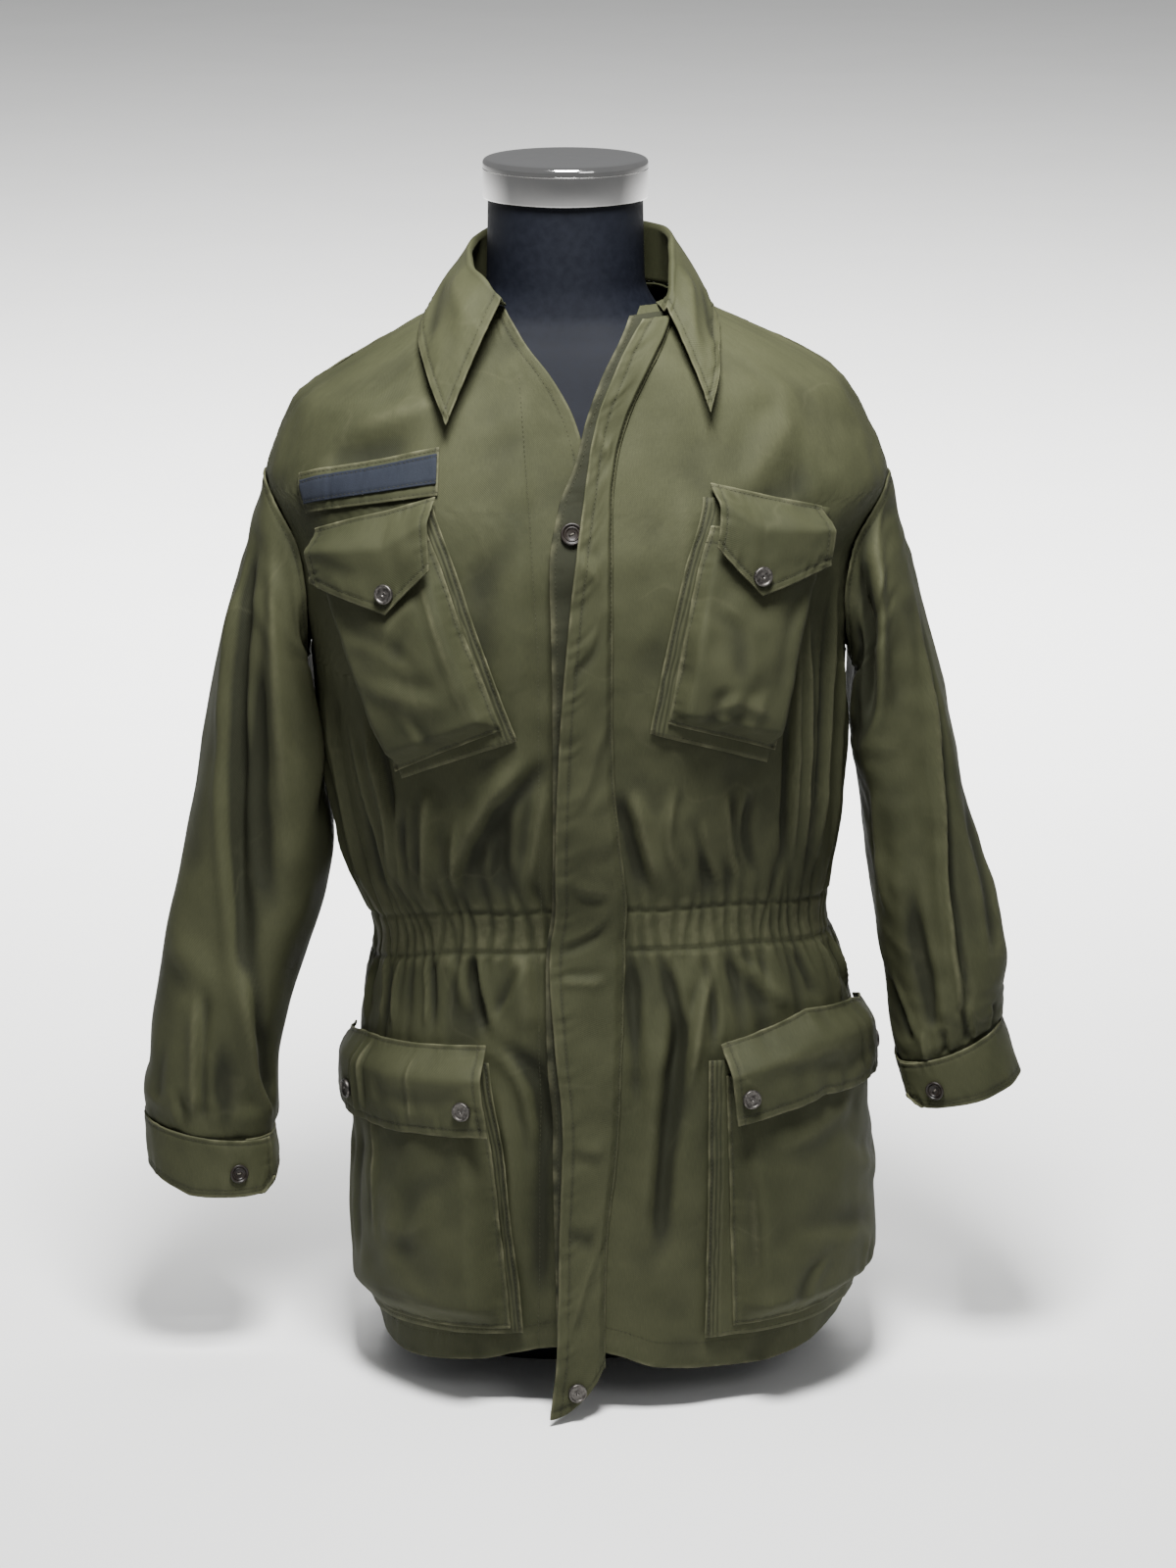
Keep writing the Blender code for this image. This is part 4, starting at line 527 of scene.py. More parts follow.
# Name tape corners as x and height: top outer, top inner, bottom inner, bottom outer.
TAPE_BACKING = ((-0.199, 0.721), (-0.093, 0.749), (-0.094, 0.716), (-0.194, 0.694))
TAPE_LOOP = ((-0.197, 0.716), (-0.094, 0.744), (-0.095, 0.724), (-0.194, 0.701))
TAPE_BACKING_OUT = 0.0026
TAPE_LOOP_OUT = 0.0044

STRAP_OUTER = 0.740       # height of a shoulder strap at the armhole and at its pointed end
STRAP_INNER = 0.822
STRAP_WIDTH = 0.046
STRAP_BACK = 0.046
STRAP_DRIFT = 0.006
STRAP_LIFT = 0.0022
STRAP_BOW = 0.0022
STRAP_POINT = 0.86        # share of the length where the point starts, and how much it narrows
STRAP_NARROW = 0.55

# Dress form rings: height, half width, front depth, back depth.
FORM_RINGS = (
    (0.000, 0.114, 0.062, 0.086),
    (0.006, 0.120, 0.067, 0.092),
    (0.050, 0.126, 0.086, 0.102),
    (0.120, 0.131, 0.108, 0.109),
    (0.200, 0.132, 0.111, 0.109),
    (0.300, 0.126, 0.101, 0.101),
    (0.372, 0.121, 0.097, 0.095),
    (0.450, 0.133, 0.106, 0.102),
    (0.550, 0.152, 0.118, 0.111),
    (0.620, 0.165, 0.119, 0.111),
    (0.690, 0.178, 0.107, 0.103),
    (0.730, 0.181, 0.096, 0.094),
    (0.760, 0.172, 0.086, 0.086),
    (0.780, 0.156, 0.079, 0.080),
    (0.795, 0.137, 0.074, 0.075),
    (0.810, 0.112, 0.069, 0.070),
    (0.825, 0.088, 0.064, 0.064),
    (0.840, 0.069, 0.060, 0.060),
    (0.860, 0.060, 0.058, 0.058),
    (0.9205, 0.0585, 0.0585, 0.0585),
)


# ------------------------------------------------------------------ small tools
class Profile:
    """Smooth curves through a table whose first column rises and is looked up."""

    def __init__(self, rows: tuple) -> None:
        """Keep the table and the slopes between its rows.

        Args:
            rows: Rows of a key and one or more values.
        """
        table = np.array(rows, dtype=float)
        self.keys = table[:, 0]
        self.values = table[:, 1:]
        slope = np.diff(self.values, axis=0) / np.diff(self.keys)[:, None]
        product = slope[:-1] * slope[1:]
        total = slope[:-1] + slope[1:]
        inner = np.where(product > 0, 2 * product / np.where(total == 0, 1, total), 0)
        self.tangents = np.vstack((slope[:1], inner, slope[-1:]))

    def __call__(self, key: Array) -> Array:
        """Read every column at the keys.

        Args:
            key: Keys of any shape.

        Returns:
            One array of that shape for each column.
        """
        key = np.clip(np.asarray(key, dtype=float), self.keys[0], self.keys[-1])
        row = np.clip(np.searchsorted(self.keys, key, side="right") - 1, 0, len(self.keys) - 2)
        span = self.keys[row + 1] - self.keys[row]
        part = ((key - self.keys[row]) / span)[..., None]
        span = span[..., None]
        start = (1 + 2 * part) * (1 - part) ** 2 * self.values[row]
        end = part ** 2 * (3 - 2 * part) * self.values[row + 1]
        leave = part * (1 - part) ** 2 * span * self.tangents[row]
        arrive = part ** 2 * (part - 1) * span * self.tangents[row + 1]
        return np.moveaxis(start + end + leave + arrive, -1, 0)


def numbered(rows: tuple) -> Profile:
    """Run smooth curves through rows that are numbered from 0."""
    return Profile(tuple((number, *row) for number, row in enumerate(rows)))


def smooth(value: Array) -> Array:
    """Ease from 0 to 1 as the value goes from 0 to 1."""
    value = np.clip(value, 0, 1)
    return value * value * (3 - 2 * value)


def eased_from(value: Array, start: float) -> Array:
    """Ease from 0 to 1 as the value goes from a start to 1."""
    return smooth((value - start) / (1 - start))


def unit(vectors: Array) -> Array:
    """Scale an array of vectors to length 1."""
    return vectors / np.maximum(np.linalg.norm(vectors, axis=-1, keepdims=True), 1e-12)


def between(low: Array, high: Array, part: Array) -> Array:
    """Blend from low to high."""
    return low + (high - low) * part


def bell(off: Array, width: float) -> Array:
    """Make a smooth rise of height 1 that dies out over a few widths."""
    return np.exp(-(off / width) ** 2)


def swell(part: Array, fade: float) -> Array:
    """Rise to 1 and die out again as part goes from 0 to 1."""
    return smooth(part / fade) * smooth((1 - part) / fade)


def signed_power(value: Array, power: Array) -> Array:
    """Raise the size of a value to a power and keep its sign."""
    return np.sign(value) * np.abs(value) ** power


def grid_normals(place: Surface, across: Array, along: Array, step: float = 1e-3) -> Array:
    """Find the normals of a surface by differences.

    Args:
        place: The surface.
        across: First coordinate of the places.
        along: Second coordinate of the places.
        step: Step of the differences.

    Returns:
        A unit vector for each place.
    """
    side = place(across + step, along) - place(across - step, along)
    rise = place(across, along + step) - place(across, along - step)
    return unit(np.cross(side, rise))


def ripple(position: Array, seed: float) -> Array:
    """Make an uneven wave along a line.

    Args:
        position: Place along the line, about one wave to a unit.
        seed: Any number; another one gives another wave.

    Returns:
        Values from about -1 to 1.
    """
    turn = 2 * np.pi * position
    wobble = 2.1 * np.sin(0.37 * turn + seed) + 0.9 * np.sin(0.13 * turn + 2.3 * seed)
    return np.sin(turn + wobble + 1.7 * seed) * (0.62 + 0.38 * np.sin(0.43 * turn + 3.1 * seed))


def rumple(x: Array, y: Array, size: float, seed: int) -> Array:
    """Make the soft unevenness of worn cloth.

    Args:
        x: First length on the cloth.
        y: Second length on the cloth.
        size: Usual length of a swell.
        seed: Seed of the directions and phases.

    Returns:
        Values from about -1 to 1.
    """
    chance = np.random.default_rng(seed)
    total = np.zeros(np.broadcast(x, y).shape)
    waves = 8
    for _ in range(waves):
        heading = chance.uniform(0, np.pi)
        rate = 2 * np.pi / (size * chance.uniform(0.7, 1.7))
        phase = chance.uniform(0, 2 * np.pi)
        bend = 1.1 * np.sin((x * np.sin(heading) - y * np.cos(heading)) * rate * 0.6 + phase * 2)
        total = total + np.sin((x * np.cos(heading) + y * np.sin(heading)) * rate + phase + bend)
    return total / math.sqrt(waves * 1.4)


class Creases:
    """Soft folds along smooth lines, each with a crest and a dip on one side of it."""

    GAIN = 1.4           # depth of the worn cloth's creases, to the heights in the tables
    FADE = 0.30          # share of a crease's length over which each end dies out
    DIP_PLACE = 1.5      # distance from the crest to the dip and the dip's width, in half widths
    DIP_WIDTH = 0.85
    WORN_WIDTH = 0.30

    def __init__(self, rows: tuple, x_unit: float = 1.0, y_unit: float = 1.0) -> None:
        """Turn the rows of a table into lines in metres.

        Args:
            rows: Rows of a path, half width, height, dip and wear.
            x_unit: Metres to a unit of a path's first coordinate.
            y_unit: Metres to a unit of its second coordinate.
        """
        self.lines = []
        for path, width, height, dip, wear in rows:
            points = [(x * x_unit, y * y_unit) for x, y in path]
            upright = abs(points[-1][1] - points[0][1]) > abs(points[-1][0] - points[0][0])
            table = sorted((y, x) if upright else (x, y) for x, y in points)
            self.lines.append((upright, Profile(tuple(table)), width, height, dip, wear))

    def read(self, x: Array, y: Array) -> tuple[Array, Array]:
        """Add up the creases at places on the cloth.

        Args:
            x: First length on the cloth.
            y: Second length on the cloth.

        Returns:
            The height that the creases add, and how worn their crests are.
        """
        x, y = np.broadcast_arrays(x, y)
        relief = np.zeros(x.shape)
        worn = np.zeros(x.shape)
        for upright, line, width, height, dip, wear in self.lines:
            key, other = (y, x) if upright else (x, y)
            low, high = line.keys[0], line.keys[-1]
            reach = 4 * width
            near = (key > low) & (key < high)
            near &= (other > line.values.min() - reach) & (other < line.values.max() + reach)
            if not near.any():
                continue
            spot = key[near]
            step = 0.003 * (high - low)
            slope = (line(spot + step)[0] - line(spot - step)[0]) / (2 * step)
            off = (other[near] - line(spot)[0]) / np.sqrt(1 + slope ** 2) / width
            part = (spot - low) / (high - low)
            rise = swell(part, self.FADE)
            beside = bell(off - math.copysign(self.DIP_PLACE, dip), self.DIP_WIDTH)
            relief[near] += self.GAIN * height * rise * (bell(off, 1) - abs(dip) * beside)
            worn[near] += wear * rise * bell(off, self.WORN_WIDTH)
        return relief, worn


# ------------------------------------------------------------------ the jacket's body
body_ring = Profile(BODY_RINGS)
level_shift = Profile(LEVEL_SHIFTS)
front_edges = Profile(FRONT_EDGES)
placket_lift = Profile(PLACKET_LIFT)


def half_turn(angle: Array, middle: Array = 0.0) -> Array:
    """Find how many degrees, from -180 to 180, an angle in radians is past a middle in degrees."""
    return (np.degrees(angle) - middle + 180) % 360 - 180


def levels(angle: Array) -> tuple[Array, Array]:
    """Find the true heights of the hem and of the waist at a girth angle."""
    hem_shift, waist_shift = level_shift(half_turn(angle))
    return HEM_HEIGHT + hem_shift, WAIST_HEIGHT + waist_shift


def relevel(height: Array, old: tuple[Array, Array], new: tuple[Array, Array]) -> Array:
    """Stretch heights from one hem and waist to another; from the armpit up they stay.

    Args:
        height: Heights to move.
        old: The hem and the waist that they are measured with.
        new: The hem and the waist that they get.

    Returns:
        The moved heights.
    """
    (hem, waist), (new_hem, new_waist) = old, new
    below = between(new_hem, new_waist, (height - hem) / (waist - hem))
    above = between(new_waist, ARMPIT_HEIGHT, (height - waist) / (ARMPIT_HEIGHT - waist))
    return np.where(height < waist, below, np.where(height < ARMPIT_HEIGHT, above, height))


def height_at(angle: Array, nominal: Array) -> Array:
    """Find the true height of a nominal one at a girth angle."""
    return relevel(nominal, (HEM_HEIGHT, WAIST_HEIGHT), levels(angle))


def nominal_at(angle: Array, height: Array) -> Array:
    """Find the nominal height of a true one at a girth angle."""
    return relevel(height, levels(angle), (HEM_HEIGHT, WAIST_HEIGHT))


def smooth_body(angle: Array, nominal: Array) -> Array:
    """Find the point of the body before any fold.

    Args:
        angle: Girth angle in radians.
        nominal: Nominal height.

    Returns:
        A point for each place.
    """
    right, left, front, back, power = body_ring(nominal)
    x = 0.5 * (right + left) + 0.5 * (left - right) * signed_power(np.sin(angle), 2 / power)
    depth = np.where(np.cos(angle) > 0, -front, back)
    y = depth * np.abs(np.cos(angle)) ** (2 / power)
    return np.stack((x, y, height_at(angle, nominal)), axis=-1)


def smooth_body_normal(angle: Array, nominal: Array) -> Array:
    """Find the outward normal of the body before any fold."""
    return grid_normals(smooth_body, angle, nominal, 4e-3)


def angle_at(x: Array, nominal: Array) -> Array:
    """Find the girth angle of a place on the front.

    Args:
        x: Its x.
        nominal: Nominal height.

    Returns:
        The angle in radians.
    """
    right, left, _front, _back, power = body_ring(nominal)
    part = np.clip((x - 0.5 * (right + left)) / (0.5 * (left - right)), -1, 1)
    return np.arcsin(signed_power(part, power / 2))


def edge_angle(nominal: Array, reach: Array) -> Array:
    """Find the girth angle of an edge on the left side.

    Args:
        nominal: Nominal height.
        reach: How far the edge is behind the side line, or before it where less than 0.

    Returns:
        The angle in radians.
    """
    _right, _left, front, back, power = body_ring(nominal)
    depth = np.where(reach < 0, front, back)
    turn = np.arccos(np.clip(np.abs(reach) / depth, 0, 1) ** (power / 2))
    return np.where(reach < 0, turn, np.pi - turn)


def armhole_reach(nominal: Array, most: float, tuck: float) -> Array:
    """Find how far the armhole edge is from the side line at a height.

    Args:
        nominal: Nominal height.
        most: The edge's greatest distance from the side line.
        tuck: How far the edge runs on into the armhole.

    Returns:
        The distance at each height.
    """
    part = np.clip(np.abs(nominal - ARMHOLE_MIDDLE) / (ARMHOLE_HALF - tuck), 0, 1)
    return (most - tuck) * np.sqrt(1 - part ** 2)


class WaistBand:
    """The pleats that the elastic draws in: uneven troughs between soft puffs."""

    SEED = 12
    SPREAD = (3.4, 6.2)       # least and most degrees between troughs on the hidden sides
    DEPTH = 0.0023
    WIDTH = 0.0021
    REACH = (0.012, 0.075)    # how far the pleats run on above and below the band
    PUFF = 0.0009
    SINK = 0.0013             # how deep the two elastic seams draw the cloth in
    SEAM_WIDTH = 0.0020
    PUFF_REACH = 0.012
    HELD = 0.35               # share of the relief that the elastic seams hold down
    NEAR = 6                  # how far a trough is worked out: degrees beside it, metres past the band
    FAR = 0.13
    FLY_FADE = 2

    def __init__(self) -> None:
        """Spread the troughs over the sides and the back, and give each its own form."""
        chance = np.random.default_rng(self.SEED)
        angles = list(WAIST_TROUGHS)
        while angles[-1] < 360 + angles[0] - self.SPREAD[1]:
            angles.append(angles[-1] + chance.uniform(*self.SPREAD))
        count = len(angles)
        depths = self.DEPTH * chance.uniform(0.55, 1.10, count)
        widths = self.WIDTH * chance.uniform(1.0, 1.3, count)
        leans = chance.normal(0.0, 0.8, count)
        rises = between(*self.REACH, chance.uniform(0, 1, count) ** 1.6)
        drops = between(*self.REACH, chance.uniform(0, 1, count) ** 1.6)
        self.troughs = list(zip(angles, depths, widths, leans, rises, drops))

    def read(self, angle: Array, nominal: Array) -> Array:
        """Add up the pleats at places on the body.

        Args:
            angle: Girth angle in radians.
            nominal: Nominal height.

        Returns:
            Height above the calm cloth.
        """
        angle, off = np.broadcast_arrays(angle, nominal - WAIST_HEIGHT)
        outside = np.maximum(np.abs(off) - BAND_HALF, 0)
        relief = self.PUFF * bell(outside, self.PUFF_REACH)
        for middle, depth, width, lean, rise, drop in self.troughs:
            across = half_turn(angle, middle + lean * np.clip(off / BAND_HALF, -4, 4))
            near = (np.abs(across) < self.NEAR) & (outside < self.FAR)
            beyond = outside[near]
            fade = np.exp(-(beyond / np.where(off[near] > 0, rise, drop)) ** 1.3)
            fade = fade * (1 + np.minimum(beyond / 0.030, 0.9))
            wide = width * (1 + np.minimum(beyond / 0.020, 1.8))
            lengths = np.radians(across[near]) * GIRTH_RADIUS
            relief[near] -= depth * fade * bell(lengths, wide)
        pinch = bell(np.abs(off) - BAND_HALF, self.SEAM_WIDTH)
        off_fly = smooth((np.abs(half_turn(angle) - FLY_MIDDLE) - FLY_HALF) / self.FLY_FADE)
        return off_fly * (relief * (1 - self.HELD * pinch) - self.SINK * pinch)


def folds_at(rows: tuple, angle: Array, along: Array, hem: float = 0.0) -> Array:
    """Add up large folds.

    Args:
        rows: Rows of an angle in degrees, two ends, half width in degrees and depth.
        angle: Angle round the piece in radians.
        along: Height or share of the length.
        hem: Folds that start below this run on to the edge.

    Returns:
        Height above the smooth cloth.
    """
    relief = np.zeros(np.broadcast(angle, along).shape)
    for middle, start, end, width, depth in rows:
        part = np.clip((along - start) / (end - start), 0, 1)
        rise = smooth((1 - part) / HEM_FOLD_FADE) if start < hem else swell(part, FOLD_RISE)
        relief = relief + depth * rise * bell(half_turn(angle, middle), width)
    return relief


class BodyRelief:
    """The creases and waist pleats of the jacket's body, as heights above its folds."""

    SOFT = ((0.0009, 0.07, 4), (0.0004, 0.028, 9))   # worn cloth's swells: height, size, seed
    SEAM_FADE = 6             # degrees from the centre back over which the swells die out
    PUFF_WEAR = 0.3
    marks = Creases(BODY_CREASES, math.radians(1) * GIRTH_RADIUS)
    band = WaistBand()

    @classmethod
    def creases(cls, angle: Array, nominal: Array) -> tuple[Array, Array]:
        """Add up the small creases and the unevenness of worn cloth.

        Args:
            angle: Girth angle in radians.
            nominal: Nominal height.

        Returns:
            Height above the folds, and the wear of the crests.
        """
        degrees = half_turn(angle)
        x = np.radians(degrees) * GIRTH_RADIUS
        relief, worn = cls.marks.read(x, nominal)
        soft = sum(height * rumple(x, nominal, size, seed) for height, size, seed in cls.SOFT)
        return relief + soft * smooth((180 - np.abs(degrees)) / cls.SEAM_FADE), worn

    @classmethod
    def marks_at(cls, angle: Array, nominal: Array) -> tuple[Array, Array]:
        """Find the wear, and the relief from which the cloth's tone and its painted shade are worked
        out.

        Args:
            angle: Girth angle in radians.
            nominal: Nominal height.

        Returns:
            The wear of the crests, and the relief that paints shade into troughs and lightens crests.
        """
        relief, worn = cls.creases(angle, nominal)
        gathered = cls.band.read(angle, nominal)
        crest = cls.PUFF_WEAR * smooth(gathered / cls.band.PUFF - 0.2)
        return worn + crest, relief + gathered


def calm_body(angle: Array, nominal: Array, out: Array) -> Array:
    """Find a point over the body cloth that follows its folds but not its gathers.

    Args:
        angle: Girth angle in radians.
        nominal: Nominal height.
        out: Distance out from the cloth's outer face.

    Returns:
        A point for each place.
    """
    relief = folds_at(BODY_FOLDS, angle, nominal, HEM_HEIGHT) + BodyRelief.creases(angle, nominal)[0]
    return smooth_body(angle, nominal) + smooth_body_normal(angle, nominal) * (relief + out)[..., None]


def body(angle: Array, nominal: Array, out: Array) -> Array:
    """Find a point of the body cloth's outer face, or a distance out from it."""
    return calm_body(angle, nominal, out + BodyRelief.band.read(angle, nominal))


def over_body(angle: Array, height: Array, out: Array) -> Array:
    """Find a point over the body at a girth angle and a true height."""
    return calm_body(angle, nominal_at(angle, height), out)


# ------------------------------------------------------------------ cloth pieces
class Side(Enum):
    """The four edges of a cloth piece's grid."""

    START = "start"      # across is at its first value
    END = "end"
    LOW = "low"          # along is at its first value
    HIGH = "high"


@dataclass(frozen=True)
class Hem:
    """A sewn edge: a groove along the stitches with painted shade in it, puckers round it and a worn
    rim.
    """

    side: Side
    inset: float = 0.0060
    groove: float = 0.00035
    pucker: float = 0.00040
    wave: float = 0.012
    worn: float = 0.8
    stitched: bool = True

    PUCKER_REACH = 0.0075     # widths of the puckered strip, the groove and the worn rim
    GROOVE_WIDTH = 0.0013
    RIM_WIDTH = 0.0011
    RIM_WORN = 0.75
    TOP_WORN = 0.12           # wear of the raised strip between the rim and the groove
    TOP_WIDTH = 0.003
    GROOVE_SHADE = 0.0016      # painted shade in the groove, as a depth
    PATCH = 0.037             # length of the worn patches along the edge

    def read(self, distance: Array, position: Array, seed: float) -> tuple[Array, Array, Array]:
        """Find what the hem adds to the cloth.

        Args:
            distance: Distance from the edge.
            position: Place along the edge.
            seed: Seed of its unevenness.

        Returns:
            The height, the wear and the painted shade that it adds.
        """
        off = distance - self.inset
        groove = bell(off, self.GROOVE_WIDTH)
        pucker = self.pucker * bell(off, self.PUCKER_REACH) * ripple(position / self.wave, seed)
        patchy = np.clip(0.55 + 0.6 * ripple(position / self.PATCH, seed + 4), 0, 1)
        rim = self.RIM_WORN * bell(distance, self.RIM_WIDTH)
        top = self.TOP_WORN * bell(distance - self.inset * 0.5, self.TOP_WIDTH)
        # Painted shade along the stitched groove.
        tone = -self.GROOVE_SHADE * groove * (self.groove > 0)
        return pucker - self.groove * groove, self.worn * patchy * (rim + top), tone


@dataclass
class Cloth:
    """A cloth piece: a surface sampled on a grid, dressed with hems and creases."""

    node: str                 # the solid that it stands for
    place: Surface
    across: Array
    along: Array
    thickness: float = CLOTH
    flip: bool = False        # whether the grid's own normals point inwards
    ring: bool = False        # whether its last column is its first one again
    hems: tuple[Hem, ...] = ()
    creases: tuple = ()
    steps: int = 0            # small pleats beside its first column
    painted_gap_shade: float = 0.0      # painted shade of cloth that lies deep in a gap under another piece, as a depth
    soft: float = 0.0003      # height and length of its swells
    soft_size: float = 0.03
    seed: int = 1
    marks: Callable[[Array, Array], tuple[Array, Array]] | None = None
    held: str = "hung"
    rests_on: tuple[str, ...] = ("form_torso",)
    threads: list = field(init=False, repr=False, default_factory=list)

    @property
    def name(self) -> str:
        """Name the piece after its solid."""
        return f"{self.node}_cloth"

    @property
    def way(self) -> int:
        """Say how the grid's own normals turn into outward ones."""
        return -1 if self.flip else 1

    @staticmethod
    def lengths(points: Array) -> tuple[Array, Array]:
        """Measure a grid of points: the distances from its first column and from its first row."""
        across = np.cumsum(np.linalg.norm(np.diff(points, axis=1), axis=-1), axis=1)
        along = np.cumsum(np.linalg.norm(np.diff(points, axis=0), axis=-1), axis=0)
        return np.pad(across, ((0, 0), (1, 0))), np.pad(along, ((1, 0), (0, 0)))

    def edge_distance(self, side: Side) -> tuple[Array, Array]:
        """Measure how far each place is from an edge, and how far along that edge."""
        across, along = self.run
        if side in (Side.START, Side.END):
            return (across if side is Side.START else across[:, -1:] - across), along
        return (along if side is Side.LOW else along[-1:, :] - along), across

    def sample(self) -> None:
        """Work out the finished points, normals, wear and relief of the piece."""
        across, along = np.meshgrid(self.across, self.along)
        base = self.place(across, along)
        self.run = run_across, run_along = self.lengths(base)
        self.size = width, length = float(run_across[:, -1].mean()), float(run_along[-1, :].mean())
        x = (across - self.across[0]) / (self.across[-1] - self.across[0]) * width
        y = (along - self.along[0]) / (self.along[-1] - self.along[0]) * length
        relief, worn = Creases(self.creases, width, length).read(x, y)
        relief = relief + self.soft * rumple(x, y, self.soft_size, self.seed)
        tone = np.zeros(relief.shape)
        for number, hem in enumerate(self.hems):
            added = hem.read(*self.edge_distance(hem.side), self.seed + 1.7 * number)
            relief, worn, tone = relief + added[0], worn + added[1], tone + added[2]
        for number in range(self.steps):
            sway = STEP_SWAY * ripple(run_along / STEP_WAVE, self.seed + number)
            beyond = run_across - STEP_PITCH * (number + 1) + sway
            relief = relief + STEP_RISE * smooth(beyond / STEP_EASE)
            worn = worn + STEP_WORN * bell(beyond - 0.0010, 0.0007)
            # Painted shadow just beside each step's edge.
            tone = tone - STEP_SHADOW * bell(beyond + 0.0006, 0.0009)
        if self.ring:
            relief[:, -1] = relief[:, 0]
            worn[:, -1] = worn[:, 0]
        facing = grid_normals(self.place, across, along) * self.way
        self.points = base + facing * relief[..., None]
        self.normals = self.surface_normals(self.points)
        if self.marks is not None:
            more_worn, more_tone = self.marks(across, along)
            worn = worn + more_worn
            tone = tone + more_tone
        # The relief attribute also carries the painted shade of grooves, pleat steps and gaps.
        self.relief = relief + tone - self.painted_gap_shade
        self.worn = np.clip(worn, 0, 1)

    def surface_normals(self, points: Array) -> Array:
        """Find the outward normals of a grid of points."""
        if self.ring:
            wrapped = np.concatenate((points[:, -2:-1], points, points[:, 1:2]), axis=1)
            side = wrapped[:, 2:] - wrapped[:, :-2]
        else:
            side = np.gradient(points, axis=1)
        return unit(np.cross(side, np.gradient(points, axis=0))) * self.way

    def at(self, across: Array, along: Array) -> tuple[Array, Array]:
        """Read the finished surface between its grid points.

        Args:
            across: First coordinate of the places.
            along: Second coordinate of the places.

        Returns:
            The points and the normals.
        """
        column = np.interp(across, self.across, np.arange(len(self.across)))
        row = np.interp(along, self.along, np.arange(len(self.along)))
        low_column = np.clip(column.astype(int), 0, len(self.across) - 2)
        low_row = np.clip(row.astype(int), 0, len(self.along) - 2)
        part_column = (column - low_column)[..., None]
        part_row = (row - low_row)[..., None]
        read = []
        for grid in (self.points, self.normals):
            rows = [between(grid[r, low_column], grid[r, low_column + 1], part_column)
                    for r in (low_row, low_row + 1)]
            read.append(between(*rows, part_row))
        return read[0], unit(read[1])

    def hem_lines(self) -> None:
        """Add the stitches of every stitched hem."""
        for hem in self.hems:
            if not hem.stitched:
                continue
            beside = hem.side in (Side.START, Side.END)
            first = hem.side in (Side.START, Side.LOW)
            runs, places = (self.run[0], self.across) if beside else (self.run[1].T, self.along)
            spots = np.array([np.interp(hem.inset if first else run[-1] - hem.inset, run, places)
                              for run in runs])
            self.threads.append(self.at(spots, self.along) if beside else self.at(self.across, spots))

    def build(self, finish: bpy.types.Material) -> bpy.types.Object:
        """Make the piece as a closed shell with rounded edges.

        Args:
            finish: Its material.

        Returns:
            The finished object, which rides on the root and stands for its solids.
        """
        self.sample()
        self.hem_lines()
        obj = self.shell()
        obj.data.materials.append(finish)
        stand_for(obj, (self.node,))
        return obj

    def border(self) -> list[list[tuple[int, int]]]:
        """List the grid places along each closed border, the piece on the left of the way."""
        rows, columns = self.points.shape[:2]
        if self.ring:
            first = [(0, c) for c in range(columns - 1)]
            last = [(rows - 1, c) for c in range(columns - 2, -1, -1)]
            return [first, last]
        path = [(0, c) for c in range(columns - 1)]
        path += [(r, columns - 1) for r in range(rows - 1)]
        path += [(rows - 1, c) for c in range(columns - 1, 0, -1)]
        path += [(r, 0) for r in range(rows - 1, 0, -1)]
        return [path]

    def shell(self) -> bpy.types.Object:
        """Turn the sampled piece into a closed mesh.

        Returns:
            A new object with a metric map of the cut and its wear and relief as attributes.
        """
        rows, columns = self.points.shape[:2]
        used = columns - 1 if self.ring else columns
        outer = self.points[:, :used].reshape(-1, 3)
        inner = (self.points - self.normals * self.thickness)[:, :used].reshape(-1, 3)
        count = rows * used
        across, along = self.run
        chart_x = np.broadcast_to(across.mean(axis=0)[None, :], (rows, columns))
        chart_y = np.broadcast_to(along.mean(axis=1)[:, None], (rows, columns))
        charted = np.stack((chart_x, chart_y), axis=-1)
        row, column = np.meshgrid(np.arange(rows - 1), np.arange(columns - 1), indexing="ij")
        corners = [(row, column), (row, column + 1), (row + 1, column + 1), (row + 1, column)]
        outside = np.stack([r * used + c % used for r, c in corners], axis=-1).reshape(-1, 4)
        chart = np.stack([charted[r, c] for r, c in corners], axis=-2).reshape(-1, 4, 2)
        faces = [outside, outside[:, ::-1] + count]
        charts = [chart, chart[:, ::-1]]
        middles = []
        worn = [self.worn[:, :used].ravel()] * 2
        lift = [self.relief[:, :used].ravel(), -self.relief[:, :used].ravel()]
        start = 2 * count
        for path in self.border():
            r, c = np.array(path).T
            middle = (self.points[r, c] - self.normals[r, c] * self.thickness * 0.5
                      + self.outward(path) * self.thickness * EDGE_ROUND)
            number = np.arange(len(path))
            after = (number + 1) % len(path)
            top = r * used + c % used
            spot = charted[r, c]
            upper = np.stack((top[after], top, start + number, start + after), axis=-1)
            lower = np.stack((start + after, start + number, top + count, top[after] + count), axis=-1)
            faces += [upper, lower]
            charts += [np.stack((spot[after], spot, spot, spot[after]), axis=1)] * 2
            middles.append(middle)
            worn.append(np.clip(self.worn[r, c] * EDGE_WORN, 0, 1))
            lift.append(self.relief[r, c])
            start += len(path)
        quads = np.concatenate(faces)
        chart = np.concatenate(charts)
        if self.flip:
            quads = quads[:, ::-1]
            chart = chart[:, ::-1]
        mesh = bpy.data.meshes.new(self.name)
        mesh.from_pydata(np.concatenate([outer, inner, *middles]).tolist(), [], quads.tolist())
        mesh.uv_layers.new(name="cut").data.foreach_set("uv", chart.reshape(-1).astype(np.float32))
        for label, values in (("wear", worn), ("relief", lift)):
            layer = mesh.attributes.new(label, "FLOAT", "POINT")
            layer.data.foreach_set("value", np.concatenate(values).astype(np.float32))
        mesh.shade_smooth()
        mesh.update()
        return add_object(self.name, mesh)

